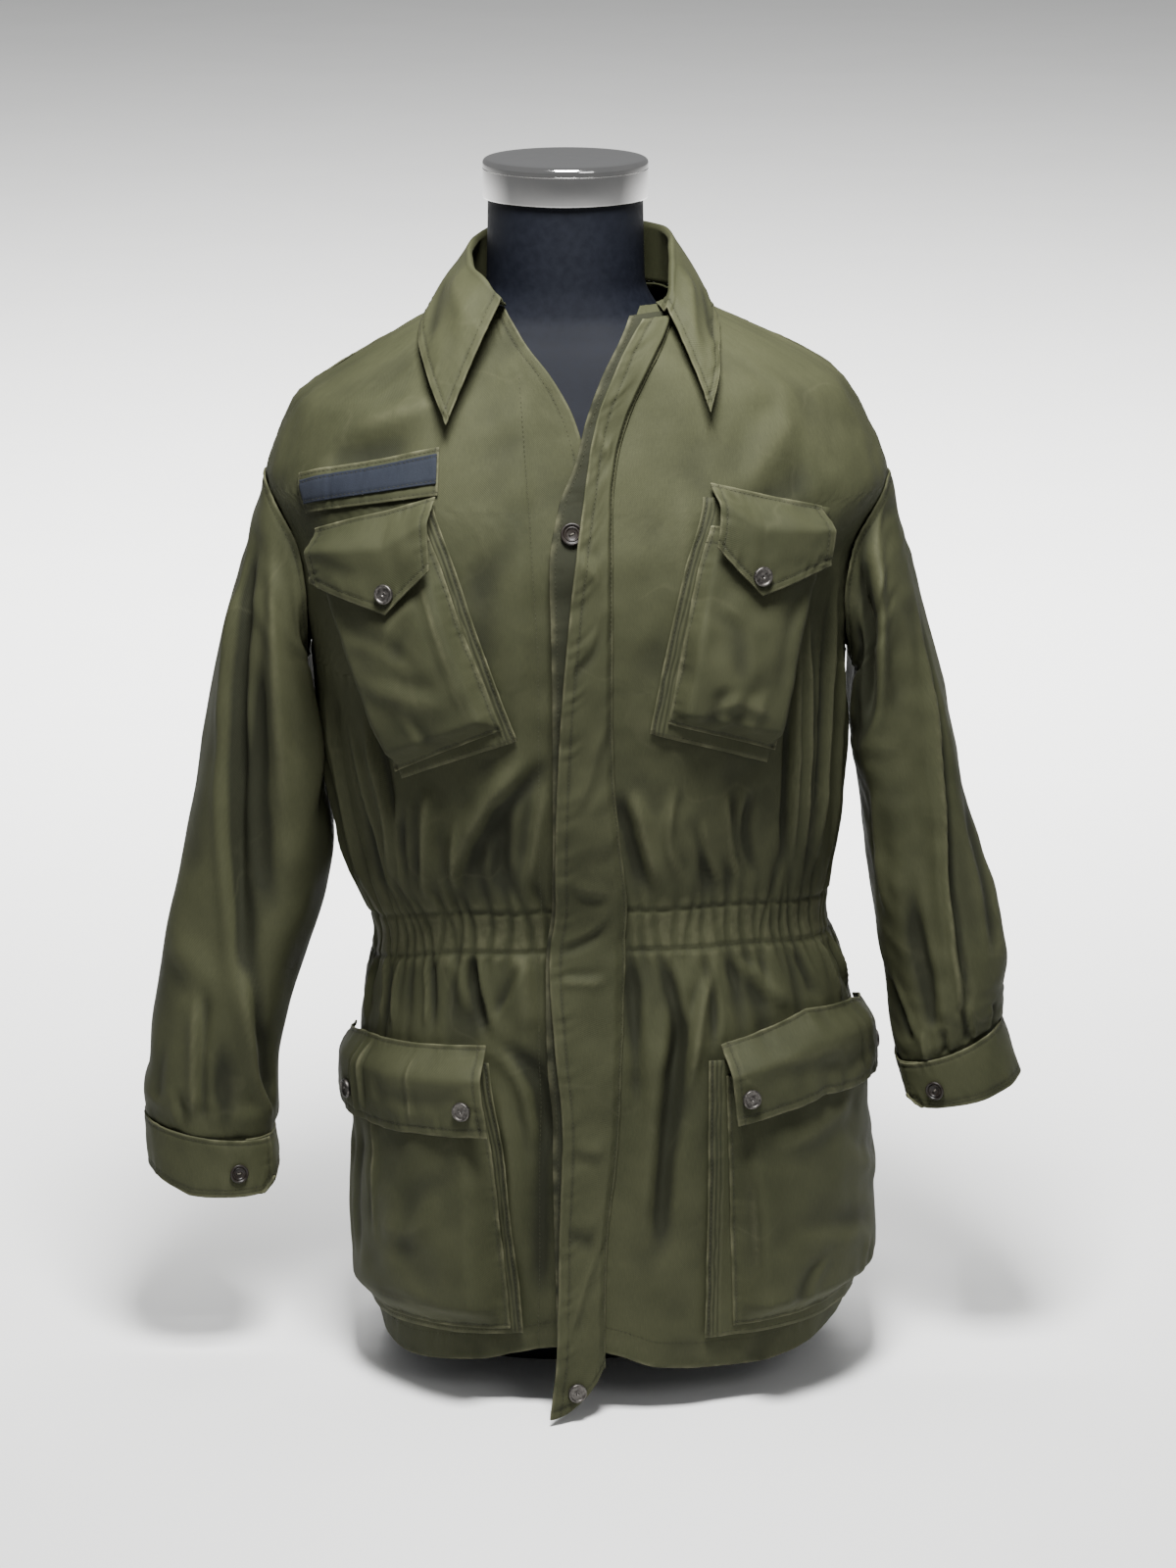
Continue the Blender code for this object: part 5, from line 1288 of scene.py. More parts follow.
    def outward(self, path: list[tuple[int, int]]) -> Array:
        """Find the directions that lead away from the piece.

        Args:
            path: Grid places along a border.

        Returns:
            A unit vector for each place.
        """
        rows, columns = self.points.shape[:2]
        ways = []
        for r, c in path:
            inner = [(1, c)] * (r == 0) + [(r - 1, c)] * (r == rows - 1)
            if not self.ring:
                inner += [(r, 1)] * (c == 0) + [(r, c - 1)] * (c == columns - 1)
            ways.append(sum(unit(self.points[r, c] - self.points[place]) for place in inner))
        return unit(np.array(ways))


def add_object(name: str, data: bpy.types.ID) -> bpy.types.Object:
    """Put a mesh, a light or a camera into the scene as an object at the origin."""
    obj = bpy.data.objects.new(name, data)
    bpy.context.scene.collection.objects.link(obj)
    return obj


def spaced(low: float, high: float, step: float, fine: tuple = ()) -> Array:
    """Space values evenly, with extra ones round some places.

    Args:
        low: First value.
        high: Last value.
        step: Usual step.
        fine: Rows of a place, how far to refine round it, and the step there.

    Returns:
        Rising values, each a fair step from the next.
    """
    values = list(np.linspace(low, high, max(2, int(round((high - low) / step)) + 1)))
    for place, reach, small in fine:
        around = np.arange(place - reach, place + reach + small / 2, small)
        values = [v for v in values if abs(v - place) > reach + 0.4 * small or v in (low, high)]
        values += [v for v in around if low < v < high]
    values = sorted(values)
    kept = [values[0]]
    for value in values[1:]:
        if value - kept[-1] > 0.2 * step * (0.25 if fine else 1):
            kept.append(value)
    kept[-1] = high
    return np.array(kept)


def edge_fine(length: float, inset: float) -> tuple:
    """Refine a 0-to-1 grid near both ends of a piece of a given length.

    Args:
        length: Length of the piece.
        inset: Distance of the stitches from its edges.

    Returns:
        Rows for spaced().
    """
    near = (inset + 0.002) / length
    step = 0.0011 / length
    return ((0.0, near, step), (1.0, near, step))


# ------------------------------------------------------------------ body panels
@dataclass
class Panels:
    """The two fronts and the back."""

    front_column: float = 0.0020
    back_column: float = 0.0029
    row: float = 0.0055
    band_row: float = 0.0021
    tuck: float = 0.006       # how far the armhole edges run on beneath the sleeves

    def rows(self) -> Array:
        """List the nominal heights of the rows, close together at the waist and armholes."""
        low = spaced(HEM_HEIGHT, WAIST_HEIGHT - 0.03, self.row, ((HEM_HEIGHT, 0.004, 0.0012),))
        band = spaced(WAIST_HEIGHT - 0.03, WAIST_HEIGHT + 0.03, self.band_row)
        chest = spaced(WAIST_HEIGHT + 0.03, ARMPIT_HEIGHT, self.row)
        armhole = ARMHOLE_MIDDLE - (ARMHOLE_HALF - self.tuck) * np.cos(np.linspace(0, np.pi, 40))
        shoulder = spaced(ARMHOLE_TOP, NECK_HEIGHT, 0.0050)
        return np.concatenate((low[:-1], band[:-1], chest[:-1], armhole[:-1], shoulder))

    def side(self, nominal: Array, way: int) -> Array:
        """Find the left side's edge: of the front where way is -1 and of the back where it is 1."""
        most = ARMHOLE_FRONT if way < 0 else ARMHOLE_BACK
        return edge_angle(nominal, way * (SEAM * 0.5 + armhole_reach(nominal, most, self.tuck)))

    def angle(self, node: str, across: Array, nominal: Array) -> Array:
        """Find the girth angle of a place on a panel.

        Args:
            node: The solid that the panel stands for.
            across: Share of the panel's width.
            nominal: Nominal height.

        Returns:
            The angle in radians.
        """
        right, strip, _edge, _line = front_edges(nominal)
        if node == "front_right":
            edges = -self.side(nominal, -1), angle_at(right, nominal)
        elif node == "front_left":
            edges = angle_at(strip + FRONT_INSET, nominal), self.side(nominal, -1)
        else:
            edges = self.side(nominal, 1), 2 * np.pi - self.side(nominal, 1)
        return between(*edges, across)

    def place(self, node: str, across: Array, nominal: Array) -> Array:
        """Find a point of a panel; the right front dips where the left one laps over it.

        Args:
            node: The solid that the panel stands for.
            across: Share of the panel's width.
            nominal: Nominal height.

        Returns:
            A point for each place.
        """
        angle = self.angle(node, across, nominal)
        x = smooth_body(angle, nominal)[..., 0]
        lap = smooth((x - LAP_START) / LAP_EASE) * smooth((LAP_TOP - nominal) / LAP_FADE)
        return body(angle, nominal, -LAP_DIP * lap * (node == "front_right"))

    def marks(self, node: str, across: Array, nominal: Array) -> tuple[Array, Array]:
        """Find the wear and the relief of a place on a panel."""
        return BodyRelief.marks_at(self.angle(node, across, nominal), nominal)

    def cloths(self) -> list[Cloth]:
        """Lay out the right front, the left front and the back."""
        low = Hem(Side.LOW, inset=0.020, groove=0.0005, pucker=0.0005, wave=0.022)
        first, last = (Hem(side, groove=0.0, pucker=0.0004, worn=0.25, stitched=False)
                       for side in (Side.START, Side.END))
        return [Cloth(node, partial(self.place, node), spaced(0, 1, column / width), self.rows(),
                      hems=(low, *hems), seed=seed, soft=0.00012, soft_size=0.012,
                      marks=partial(self.marks, node))
                for node, column, width, hems, seed in (
                    ("front_right", self.front_column, 0.26, (first, Hem(Side.END, inset=0.008)), 3),
                    ("front_left", self.front_column, 0.29, (last,), 5),
                    ("back", self.back_column, 0.50, (first, last), 7))]


@dataclass
class Fly:
    """The buttonhole strip and the placket over it."""

    length: float = 0.83
    step: float = 0.0026

    @staticmethod
    def strip(across: Array, along: Array) -> Array:
        """Find a point of the buttonhole strip.

        Args:
            across: Share of its width, from the free edge.
            along: Share of its length, from the foot.

        Returns:
            A point for each place.
        """
        height = between(STRIP_FOOT, NECK_HEIGHT - STRIP_DROP, along)
        _right, start, _edge, line = front_edges(height)
        angle = angle_at(between(start, line - FRONT_INSET, across), height)
        return over_body(angle, height, STRIP_OUT + STRIP_EDGE_OUT * (1 - across))

    @staticmethod
    def placket(across: Array, along: Array) -> Array:
        """Find a point of the outer placket.

        Args:
            across: Share of its width, from the free edge.
            along: Share of its length, from the foot.

        Returns:
            A point for each place.
        """
        foot = PLACKET_TIP + PLACKET_RISE * np.clip(across, 0, 2) ** 2
        height = between(foot, NECK_HEIGHT - PLACKET_DROP, along)
        _right, _strip, edge, line = front_edges(height)
        lift = between(PLACKET_OUT, placket_lift(height)[0], np.clip(1 - across, 0, 2) ** 1.5)
        lift = between(lift, PLACKET_SEWN, eased_from(across, PLACKET_SEWN_FROM))
        return over_body(angle_at(between(edge, line, across), height), height, lift)

    def cloths(self) -> list[Cloth]:
        """Lay out the strip and the placket."""
        along = spaced(0, 1, self.step / self.length, ((0.0, 0.01, 0.0014 / self.length),))
        # The strip is painted darker, as shade in the gap under the placket.
        strip = Cloth("fly_strip", self.strip, spaced(0, 1, 0.10), along, thickness=THIN_CLOTH,
                      hems=(Hem(Side.START, 0.004, pucker=0.0003), Hem(Side.LOW, 0.004)), seed=11,
                      painted_gap_shade=0.0045)
        creases = (
            (((0.10, 0.905), (0.50, 0.895), (0.78, 0.885)), 0.006, 0.0014, -0.5, 0.1),
            (((0.00, 0.800), (0.45, 0.790), (0.78, 0.775)), 0.007, 0.0016, 0.5, 0.1),
            (((0.10, 0.700), (0.55, 0.715), (0.80, 0.730)), 0.006, -0.0013, 0.5, 0.0),
            (((0.20, 0.560), (0.55, 0.600), (0.80, 0.650)), 0.006, 0.0012, 0.5, 0.1),
            (((0.20, 0.500), (0.50, 0.490), (0.80, 0.478)), 0.005, 0.0014, -0.6, 0.2),
            (((0.05, 0.430), (0.50, 0.438), (0.80, 0.448)), 0.005, -0.0014, 0.5, 0.0),
            (((0.10, 0.405), (0.50, 0.398), (0.80, 0.390)), 0.004, 0.0014, 0.6, 0.2),
            (((0.20, 0.250), (0.50, 0.242), (0.80, 0.230)), 0.006, 0.0014, -0.5, 0.1),
            (((0.10, 0.170), (0.45, 0.158), (0.80, 0.140)), 0.006, -0.0014, 0.5, 0.0),
            (((0.10, 0.060), (0.40, 0.095), (0.80, 0.140)), 0.006, 0.0014, 0.5, 0.1),
        )
        placket = Cloth("fly_placket", self.placket, spaced(0, 1, 0.05, edge_fine(0.044, 0.006)), along,
                        hems=(Hem(Side.START, 0.0080, 0.0004, 0.0006, 0.016),
                              Hem(Side.END, 0.0018, 0.0002, 0.0001, 0.020, 0.3), Hem(Side.LOW)),
                        creases=creases, seed=12)
        return [strip, placket]


# ------------------------------------------------------------------ pockets
def corner_angles(corners: tuple, by_angle: bool) -> list[tuple[float, float]]:
    """Give corners their girth angles in radians.

    Args:
        corners: Rows of a place and a height.
        by_angle: Whether the places are girth angles in degrees already, and not x.

    Returns:
        Rows of an angle and a height.
    """
    turned = []
    for first, height in corners:
        angle = math.radians(first) if by_angle else float(angle_at(np.array(first), np.array(height)))
        turned.append((angle, height))
    return turned


def corner_blend(corners: list, across: Array, along: Array) -> list[Array]:
    """Blend four corners: across from inner to outer, along from top to bottom."""
    top = [between(corners[0][k], corners[1][k], across) for k in (0, 1)]
    bottom = [between(corners[3][k], corners[2][k], across) for k in (0, 1)]
    return [between(top[k], bottom[k], along) for k in (0, 1)]


def patch_point(corners: list, out: float, across: Array, along: Array) -> Array:
    """Find a point of a flat patch on the body.

    Args:
        corners: Rows of a girth angle and a height.
        out: Stand-off of the patch.
        across: Share of the way from the inner side to the outer one.
        along: Share of the way from the top to the bottom.

    Returns:
        A point for each place.
    """
    angle, height = corner_blend(corners, across, along)
    return over_body(angle, height, np.full(np.shape(angle), out))


@dataclass
class Pocket:
    """A bellows pocket: its edge patch, its bag and its flap."""

    kind: str
    side: str
    backing: tuple
    bag: tuple
    flap: tuple
    depth: float
    mouth: float
    patch_out: float
    bag_side_share: float     # depth at the outer side, as a share of that at the inner one
    flap_side_share: float    # the same for the flap's stand-off
    flare: float
    width: float
    height: float
    bag_creases: tuple
    flap_creases: tuple
    seed: int
    cloth_step: float = 0.0024
    flap_step: float = 0.0019
    gusset: float = 0.10      # share of the bag that each gusset takes
    filled: float = 0.75      # share of its height over which it fills out
    flap_rise: float = 0.38   # share of the flap over which it rises to the bag
    flare_from: float = 0.55  # share across from which the flap's corner flares

    @property
    def by_angle(self) -> bool:
        """Say whether places are girth angles, as on the hip, and not x."""
        return self.kind == "hip"

    def bag_point(self, across: Array, along: Array) -> Array:
        """Find a point of the bag: gussets at the sides and the bottom, open at the top.

        Args:
            across: Share of the way from the inner side to the outer one.
            along: Share of the way from the top to the bottom.

        Returns:
            A point for each place.
        """
        angle, height = corner_blend(corner_angles(self.bag, self.by_angle), across, along)
        gussets = swell(across, self.gusset) * smooth((1 - along) / self.gusset)
        full = between(self.mouth, self.depth, smooth(along / self.filled))
        taper = between(1, self.bag_side_share, np.clip(across, 0, 1))
        return over_body(angle, height, self.patch_out + BAG_BASE + full * gussets * taper)

    def flap_point(self, across: Array, along: Array) -> Array:
        """Find a point of the flap: top edge sewn down, lower edge over the bag.

        Args:
            across: Share of the way from the inner side to the outer one.
            along: Share of the way from the top to the lower edge.

        Returns:
            A point for each place.
        """
        keys = np.linspace(0, 1, len(self.flap))
        edges = []
        for first in (0, 2):
            points = corner_angles(tuple(row[first:first + 2] for row in self.flap), self.by_angle)
            edges.append([np.interp(across, keys, column) for column in zip(*points)])
        angle, height = (between(top, low, along) for top, low in zip(*edges))
        taper = between(1, self.flap_side_share, np.clip(across, 0, 1))
        stand = FLAP_BASE + (self.mouth + FLAP_CLEAR) * taper * smooth(along / self.flap_rise)
        flare = self.flare * eased_from(across, self.flare_from) * along
        return over_body(angle, height, self.patch_out + stand + flare)

    def cloths(self) -> list[Cloth]:
        """Lay out the patch, the bag and the flap."""
        flip = self.side == "left"
        step, width = self.cloth_step, self.width
        pleats = ((0.0, 0.0125 / width, 0.0008 / width),)
        patch = Cloth(f"{self.kind}_backing_{self.side}",
                      partial(patch_point, corner_angles(self.backing, self.by_angle), self.patch_out),
                      spaced(0, 1, step / width * 1.8, pleats), spaced(0, 1, step / self.height * 1.6),
                      thickness=THIN_CLOTH, flip=flip,
                      hems=(Hem(Side.START, 0.0022, pucker=0.0003), Hem(Side.HIGH, 0.0025)),
                      steps=PLEAT_STEPS, soft=0.0, seed=self.seed, held="laid")
        bag = Cloth(f"{self.kind}_pocket_{self.side}", self.bag_point,
                    spaced(0, 1, step / width, edge_fine(width, 0.004)),
                    spaced(0, 1, step / self.height, edge_fine(self.height, 0.004)), flip=flip,
                    hems=(Hem(Side.START, 0.0022), Hem(Side.END, 0.0022),
                          Hem(Side.HIGH, 0.0022, pucker=0.0005), Hem(Side.LOW, 0.012)),
                    creases=self.bag_creases, soft=0.0006, soft_size=0.045, seed=self.seed + 1)
        flap_height = (0.28 if self.by_angle else 0.35) * self.height
        flap = Cloth(f"{self.kind}_flap_{self.side}", self.flap_point,
                     spaced(0, 1, self.flap_step / width, edge_fine(width, 0.005)),
                     spaced(0, 1, self.flap_step / flap_height, edge_fine(flap_height, 0.005)),
                     flip=flip,
                     hems=(Hem(Side.START, 0.0055, pucker=0.0005), Hem(Side.END, 0.0055, pucker=0.0005),
                           Hem(Side.HIGH, 0.0055, pucker=0.0006, wave=0.014),
                           Hem(Side.LOW, 0.0022, pucker=0.0003)),
                     creases=self.flap_creases, soft=0.0005, seed=self.seed + 2)
        return [patch, bag, flap]


# Creases of the pockets: a path of shares across and along, then the same columns as before.
CHEST_BAG_CREASES = {
    "right": (
        (((0.15, 0.30), (0.40, 0.38), (0.62, 0.50)), 0.008, 0.0014, 0.4, 0.1),
        (((0.95, 0.32), (0.60, 0.42), (0.30, 0.60)), 0.008, -0.0012, 0.3, 0.0),
        (((0.20, 0.80), (0.55, 0.70), (0.90, 0.62)), 0.009, 0.0013, -0.5, 0.1),
        (((0.12, 0.10), (0.14, 0.50), (0.16, 0.95)), 0.004, 0.0007, 0.5, 0.4),
        (((0.50, 0.98), (0.52, 0.88), (0.56, 0.76)), 0.006, -0.0012, 0.5, 0.0),
    ),
    "left": (
        (((0.10, 0.35), (0.35, 0.50), (0.45, 0.75)), 0.008, -0.0014, 0.5, 0.0),
        (((0.25, 0.98), (0.30, 0.85), (0.34, 0.72)), 0.007, -0.0020, 0.6, 0.0),
        (((0.60, 0.98), (0.62, 0.86), (0.66, 0.70)), 0.008, 0.0014, -0.5, 0.1),
        (((0.80, 0.20), (0.76, 0.50), (0.80, 0.80)), 0.007, -0.0010, 0.5, 0.0),
        (((0.15, 0.92), (0.45, 0.80), (0.85, 0.84)), 0.007, 0.0013, 0.5, 0.2),
    ),
}
HIP_BAG_CREASES = {
    "right": (
        (((0.52, 0.05), (0.53, 0.40), (0.50, 0.72)), 0.004, 0.0014, 0.6, 0.8),
        (((0.10, 0.30), (0.30, 0.50), (0.38, 0.80)), 0.012, -0.0016, 0.3, 0.0),
        (((0.65, 0.15), (0.68, 0.50), (0.64, 0.85)), 0.008, -0.0020, 0.5, 0.0),
        (((0.80, 0.20), (0.78, 0.50), (0.82, 0.90)), 0.006, 0.0013, -0.6, 0.4),
        (((0.12, 0.94), (0.40, 0.90), (0.75, 0.93)), 0.006, -0.0012, 0.6, 0.2),
        (((0.20, 0.55), (0.35, 0.62), (0.50, 0.60)), 0.010, 0.0012, 0.4, 0.1),
    ),
    "left": (
        (((0.10, 0.30), (0.35, 0.25), (0.60, 0.15)), 0.010, 0.0014, 0.4, 0.1),
        (((0.15, 0.60), (0.45, 0.66), (0.72, 0.75)), 0.010, -0.0014, 0.4, 0.0),
        (((0.45, 0.38), (0.65, 0.50), (0.86, 0.60)), 0.010, 0.0013, -0.5, 0.1),
        (((0.20, 0.96), (0.22, 0.86), (0.30, 0.74)), 0.007, -0.0016, 0.5, 0.0),
        (((0.55, 0.97), (0.56, 0.88), (0.60, 0.78)), 0.006, 0.0013, 0.6, 0.1),
        (((0.05, 0.35), (0.06, 0.60), (0.05, 0.85)), 0.005, -0.0012, 0.6, 0.3),
    ),
}
HIP_FLAP_CREASES = {
    "right": (
        (((0.27, 0.02), (0.28, 0.50), (0.29, 0.98)), 0.0030, 0.0008, 0.5, 0.5),
        (((0.57, 0.00), (0.575, 0.50), (0.58, 0.98)), 0.0028, 0.0018, -0.8, 0.9),
        (((0.63, 0.02), (0.635, 0.50), (0.64, 0.98)), 0.0026, 0.0014, 0.8, 0.6),
        (((0.05, 0.50), (0.25, 0.62), (0.50, 0.55)), 0.0080, -0.0010, 0.3, 0.0),
    ),
    "left": (
        (((0.08, 0.30), (0.30, 0.45), (0.50, 0.50)), 0.0080, 0.0012, 0.4, 0.1),
        (((0.30, 0.80), (0.55, 0.66), (0.80, 0.60)), 0.0080, -0.0010, 0.4, 0.0),
        (((0.60, 0.10), (0.62, 0.50), (0.66, 0.95)), 0.0060, 0.0010, -0.5, 0.2),
    ),
}


# ------------------------------------------------------------------ shoulders and sleeves
@dataclass
class Sleeve:
    """One sleeve, its cuff and the strap on its shoulder."""

    side: str
    rings: tuple
    creases: tuple
    cuff_rings: tuple
    seed: int

    def __post_init__(self) -> None:
        """Run curves through the rings, of which the last is tucked into the cuff."""
        inner_z, outer_z, inner_x, outer_x, middle, half_depth = self.rings[-1]
        tucked = (inner_z - TUCK, outer_z - TUCK, inner_x + TUCK_IN, outer_x - TUCK_IN, middle,
                  half_depth - TUCK_IN)
        self.curves = numbered((*self.rings, tucked))
        self.cuff_curves = numbered(self.cuff_rings)
        self.mirror = -1 if self.side == "right" else 1

    def ring_point(self, angle: Array, row: Array) -> Array:
        """Find a point of the hanging sleeve.

        Args:
            angle: Angle round it, from the inner side by the front.
            row: Number of the ring.

        Returns:
            A point for each place.
        """
        inner_z, outer_z, inner_x, outer_x, middle, half_depth = self.curves(row)
        outward = 0.5 * (1 - np.cos(angle))
        swing = np.sin(angle)
        pressed = SLEEVE_WRAP * smooth((WRAP_END - row) / WRAP_FADE)
        x = between(inner_x, outer_x, outward) - pressed * swing ** 2 * (1 - outward) ** 2
        y = middle - half_depth * signed_power(swing, SLEEVE_ROUNDNESS)
        return np.stack((self.mirror * x, y, between(inner_z, outer_z, outward)), axis=-1)

    def armhole_point(self, angle: Array) -> Array:
        """Find a point of the armhole's edge, just over the body.

        Args:
            angle: Angle round the sleeve.

        Returns:
            A point for each angle.
        """
        most = np.where(np.sin(angle) > 0, -ARMHOLE_FRONT, ARMHOLE_BACK)
        height = ARMHOLE_MIDDLE - ARMHOLE_HALF * np.cos(angle)
        turn = self.mirror * edge_angle(height, most * np.abs(np.sin(angle)))
        return smooth_body(turn, height) + smooth_body_normal(turn, height) * CAP_GAP

    def plain(self, angle: Array, along: Array) -> Array:
        """Find a point of the sleeve before any fold: a round cap, then the hanging rings.

        Args:
            angle: Angle round the sleeve.
            along: Share of its length; beyond 1 it is tucked into the cuff.

        Returns:
            A point for each place.
        """
        row = np.clip((along - CAP_SHARE) / (1 - CAP_SHARE), 0, 1) * (len(self.rings) - 1)
        hanging = self.ring_point(angle, row + np.clip((along - 1) / TUCK_SHARE, 0, 1))
        start = self.armhole_point(angle)
        first = self.ring_point(angle, np.zeros_like(along))
        length = np.linalg.norm(first - start, axis=-1, keepdims=True)
        lean = between(*CAP_LEANS, 0.5 * (1 - np.cos(angle)))
        outward = np.stack((self.mirror * lean, np.zeros_like(lean), -np.sqrt(1 - lean ** 2)), axis=-1)
        down = unit(self.ring_point(angle, np.full_like(along, 0.15)) - first)
        part = np.clip(along / CAP_SHARE, 0, 1)[..., None]
        leave = start + outward * length * CAP_LEAVE
        arrive = first - down * length * CAP_ARRIVE
        cap = ((1 - part) ** 3 * start + 3 * part * (1 - part) ** 2 * leave
               + 3 * part ** 2 * (1 - part) * arrive + part ** 3 * first)
        return np.where(part < 1, cap, hanging)

    def place(self, angle: Array, along: Array) -> Array:
        """Find a point of the folded sleeve.

        Args:
            angle: Angle round the sleeve.
            along: Share of its length; beyond 1 it is tucked into the cuff.

        Returns:
            A point for each place.
        """
        relief = folds_at(SLEEVE_FOLDS, angle, along) + self.marks(angle, along)[1]
        relief = relief * (1 - smooth((along - 1) / (0.3 * TUCK_SHARE)))
        normal = grid_normals(self.plain, angle, along, 4e-3) * -self.mirror
        return self.plain(angle, along) + normal * relief[..., None]

    def marks(self, angle: Array, along: Array) -> tuple[Array, Array]:
        """Find how worn the sleeve's crests are, and the relief of its creases.

        Args:
            angle: Angle round the sleeve in radians.
            along: Share of its length.

        Returns:
            The wear and the relief.
        """
        degrees = np.degrees(angle) % 360
        x = degrees / 360 * SLEEVE_GIRTH
        y = along * SLEEVE_LENGTH
        relief, worn = Creases(self.creases, SLEEVE_GIRTH / 360, SLEEVE_LENGTH).read(x, y)
        soft = sum(height * rumple(x, y, size, self.seed + number)
                   for number, (height, size) in enumerate(SLEEVE_SOFT))
        gather = CUFF_GATHER * eased_from(along, GATHER_FROM)
        gather = gather * ripple(x / GATHER_WAVE, self.seed)
        ends = smooth(degrees / SLEEVE_SEAM_FADE) * smooth((360 - degrees) / SLEEVE_SEAM_FADE)
        return worn, relief + (soft + gather) * ends

    def cuff_point(self, across: Array, along: Array) -> Array:
        """Find a point of the cuff band, which laps over itself; its tab end is clipped.

        Args:
            across: Share of the way round.
            along: Share of the way down.

        Returns:
            A point for each place.
        """
        turn = np.radians(between(CUFF_START, CUFF_END, across))
        clip = CLIP_HEIGHT * eased_from(across, CLIP_START)
        row = np.minimum(along, 1 - clip * eased_from(along, CLIP_FROM))
        inner_z, outer_z, inner_x, outer_x, middle, half_depth = self.cuff_curves(row)
        outward = 0.5 * (1 - np.cos(turn))
        swing = np.sin(turn)
        front = smooth(swing / 0.5) * np.clip((0.97 - outward) / 0.32, 0, 1)
        dip = CUFF_DIP[self.side] * front * eased_from(row, CUFF_DIP_FROM)
        height = between(inner_z, outer_z, outward) - dip
        spread = 1 + CUFF_LAP / CUFF_RADIUS * smooth((across - LAP_FROM) / 0.3)
        centre_x = 0.5 * (inner_x + outer_x)
        x = centre_x + (between(inner_x, outer_x, outward) - centre_x) * spread
        y = middle - half_depth * signed_power(swing, SLEEVE_ROUNDNESS) * spread
        return np.stack((self.mirror * x, y, height), axis=-1)

    def strap_point(self, across: Array, along: Array) -> Array:
        """Find a point of the shoulder strap, which lies just behind the shoulder's top.

        Args:
            across: Share of its width.
            along: Share of its length, from the armhole to the point.

        Returns:
            A point for each place.
        """
        height = between(STRAP_OUTER, STRAP_INNER, along)
        narrow = 1 - STRAP_NARROW * eased_from(along, STRAP_POINT)
        reach = STRAP_WIDTH * (across - 0.5) * narrow + STRAP_BACK + STRAP_DRIFT * (1 - along)
        lift = STRAP_LIFT + STRAP_BOW * np.sin(np.pi * along)
        return body(self.mirror * edge_angle(height, reach), height, lift)

    def cloths(self) -> list[Cloth]:
        """Lay out the sleeve, the cuff and the strap."""
        along = np.concatenate((spaced(0, 0.05, 0.005)[:-1], spaced(0.05, 0.95, 0.0078)[:-1],
                                spaced(0.95, 1 + TUCK_SHARE, 0.0045)))
        left = self.side == "left"
        sleeve = Cloth(f"sleeve_{self.side}", self.place, np.linspace(0, 2 * np.pi, 119), along,
                       flip=left, ring=True, hems=(Hem(Side.LOW, 0.005, 0.0006, 0.0005, worn=0.6),),
                       soft=0.0, seed=self.seed, marks=self.marks)
        cuff = Cloth(f"cuff_{self.side}", self.cuff_point,
                     spaced(0, 1, 0.0018 / 0.34, edge_fine(0.34, 0.004)),
                     spaced(0, 1, 0.0018 / 0.044, edge_fine(0.044, 0.003)), flip=not left,
                     hems=(Hem(Side.LOW, 0.0028), Hem(Side.END, 0.0045),
                           Hem(Side.HIGH, 0.0055, pucker=0.0005, wave=0.015),
                           Hem(Side.HIGH, 0.0025, pucker=0.0, worn=0.0)),
                     soft=0.0005, seed=self.seed + 3, rests_on=(sleeve.name,))
        strap = Cloth(f"shoulder_strap_{self.side}", self.strap_point,
                      spaced(0, 1, 0.045, edge_fine(0.046, 0.006)),
                      spaced(0, 1, 0.0022 / 0.12, edge_fine(0.12, 0.006)), flip=not left,
                      hems=(Hem(Side.START), Hem(Side.END), Hem(Side.HIGH)), soft=0.0002,
                      seed=self.seed + 5, held="laid")
        return [sleeve, cuff, strap]


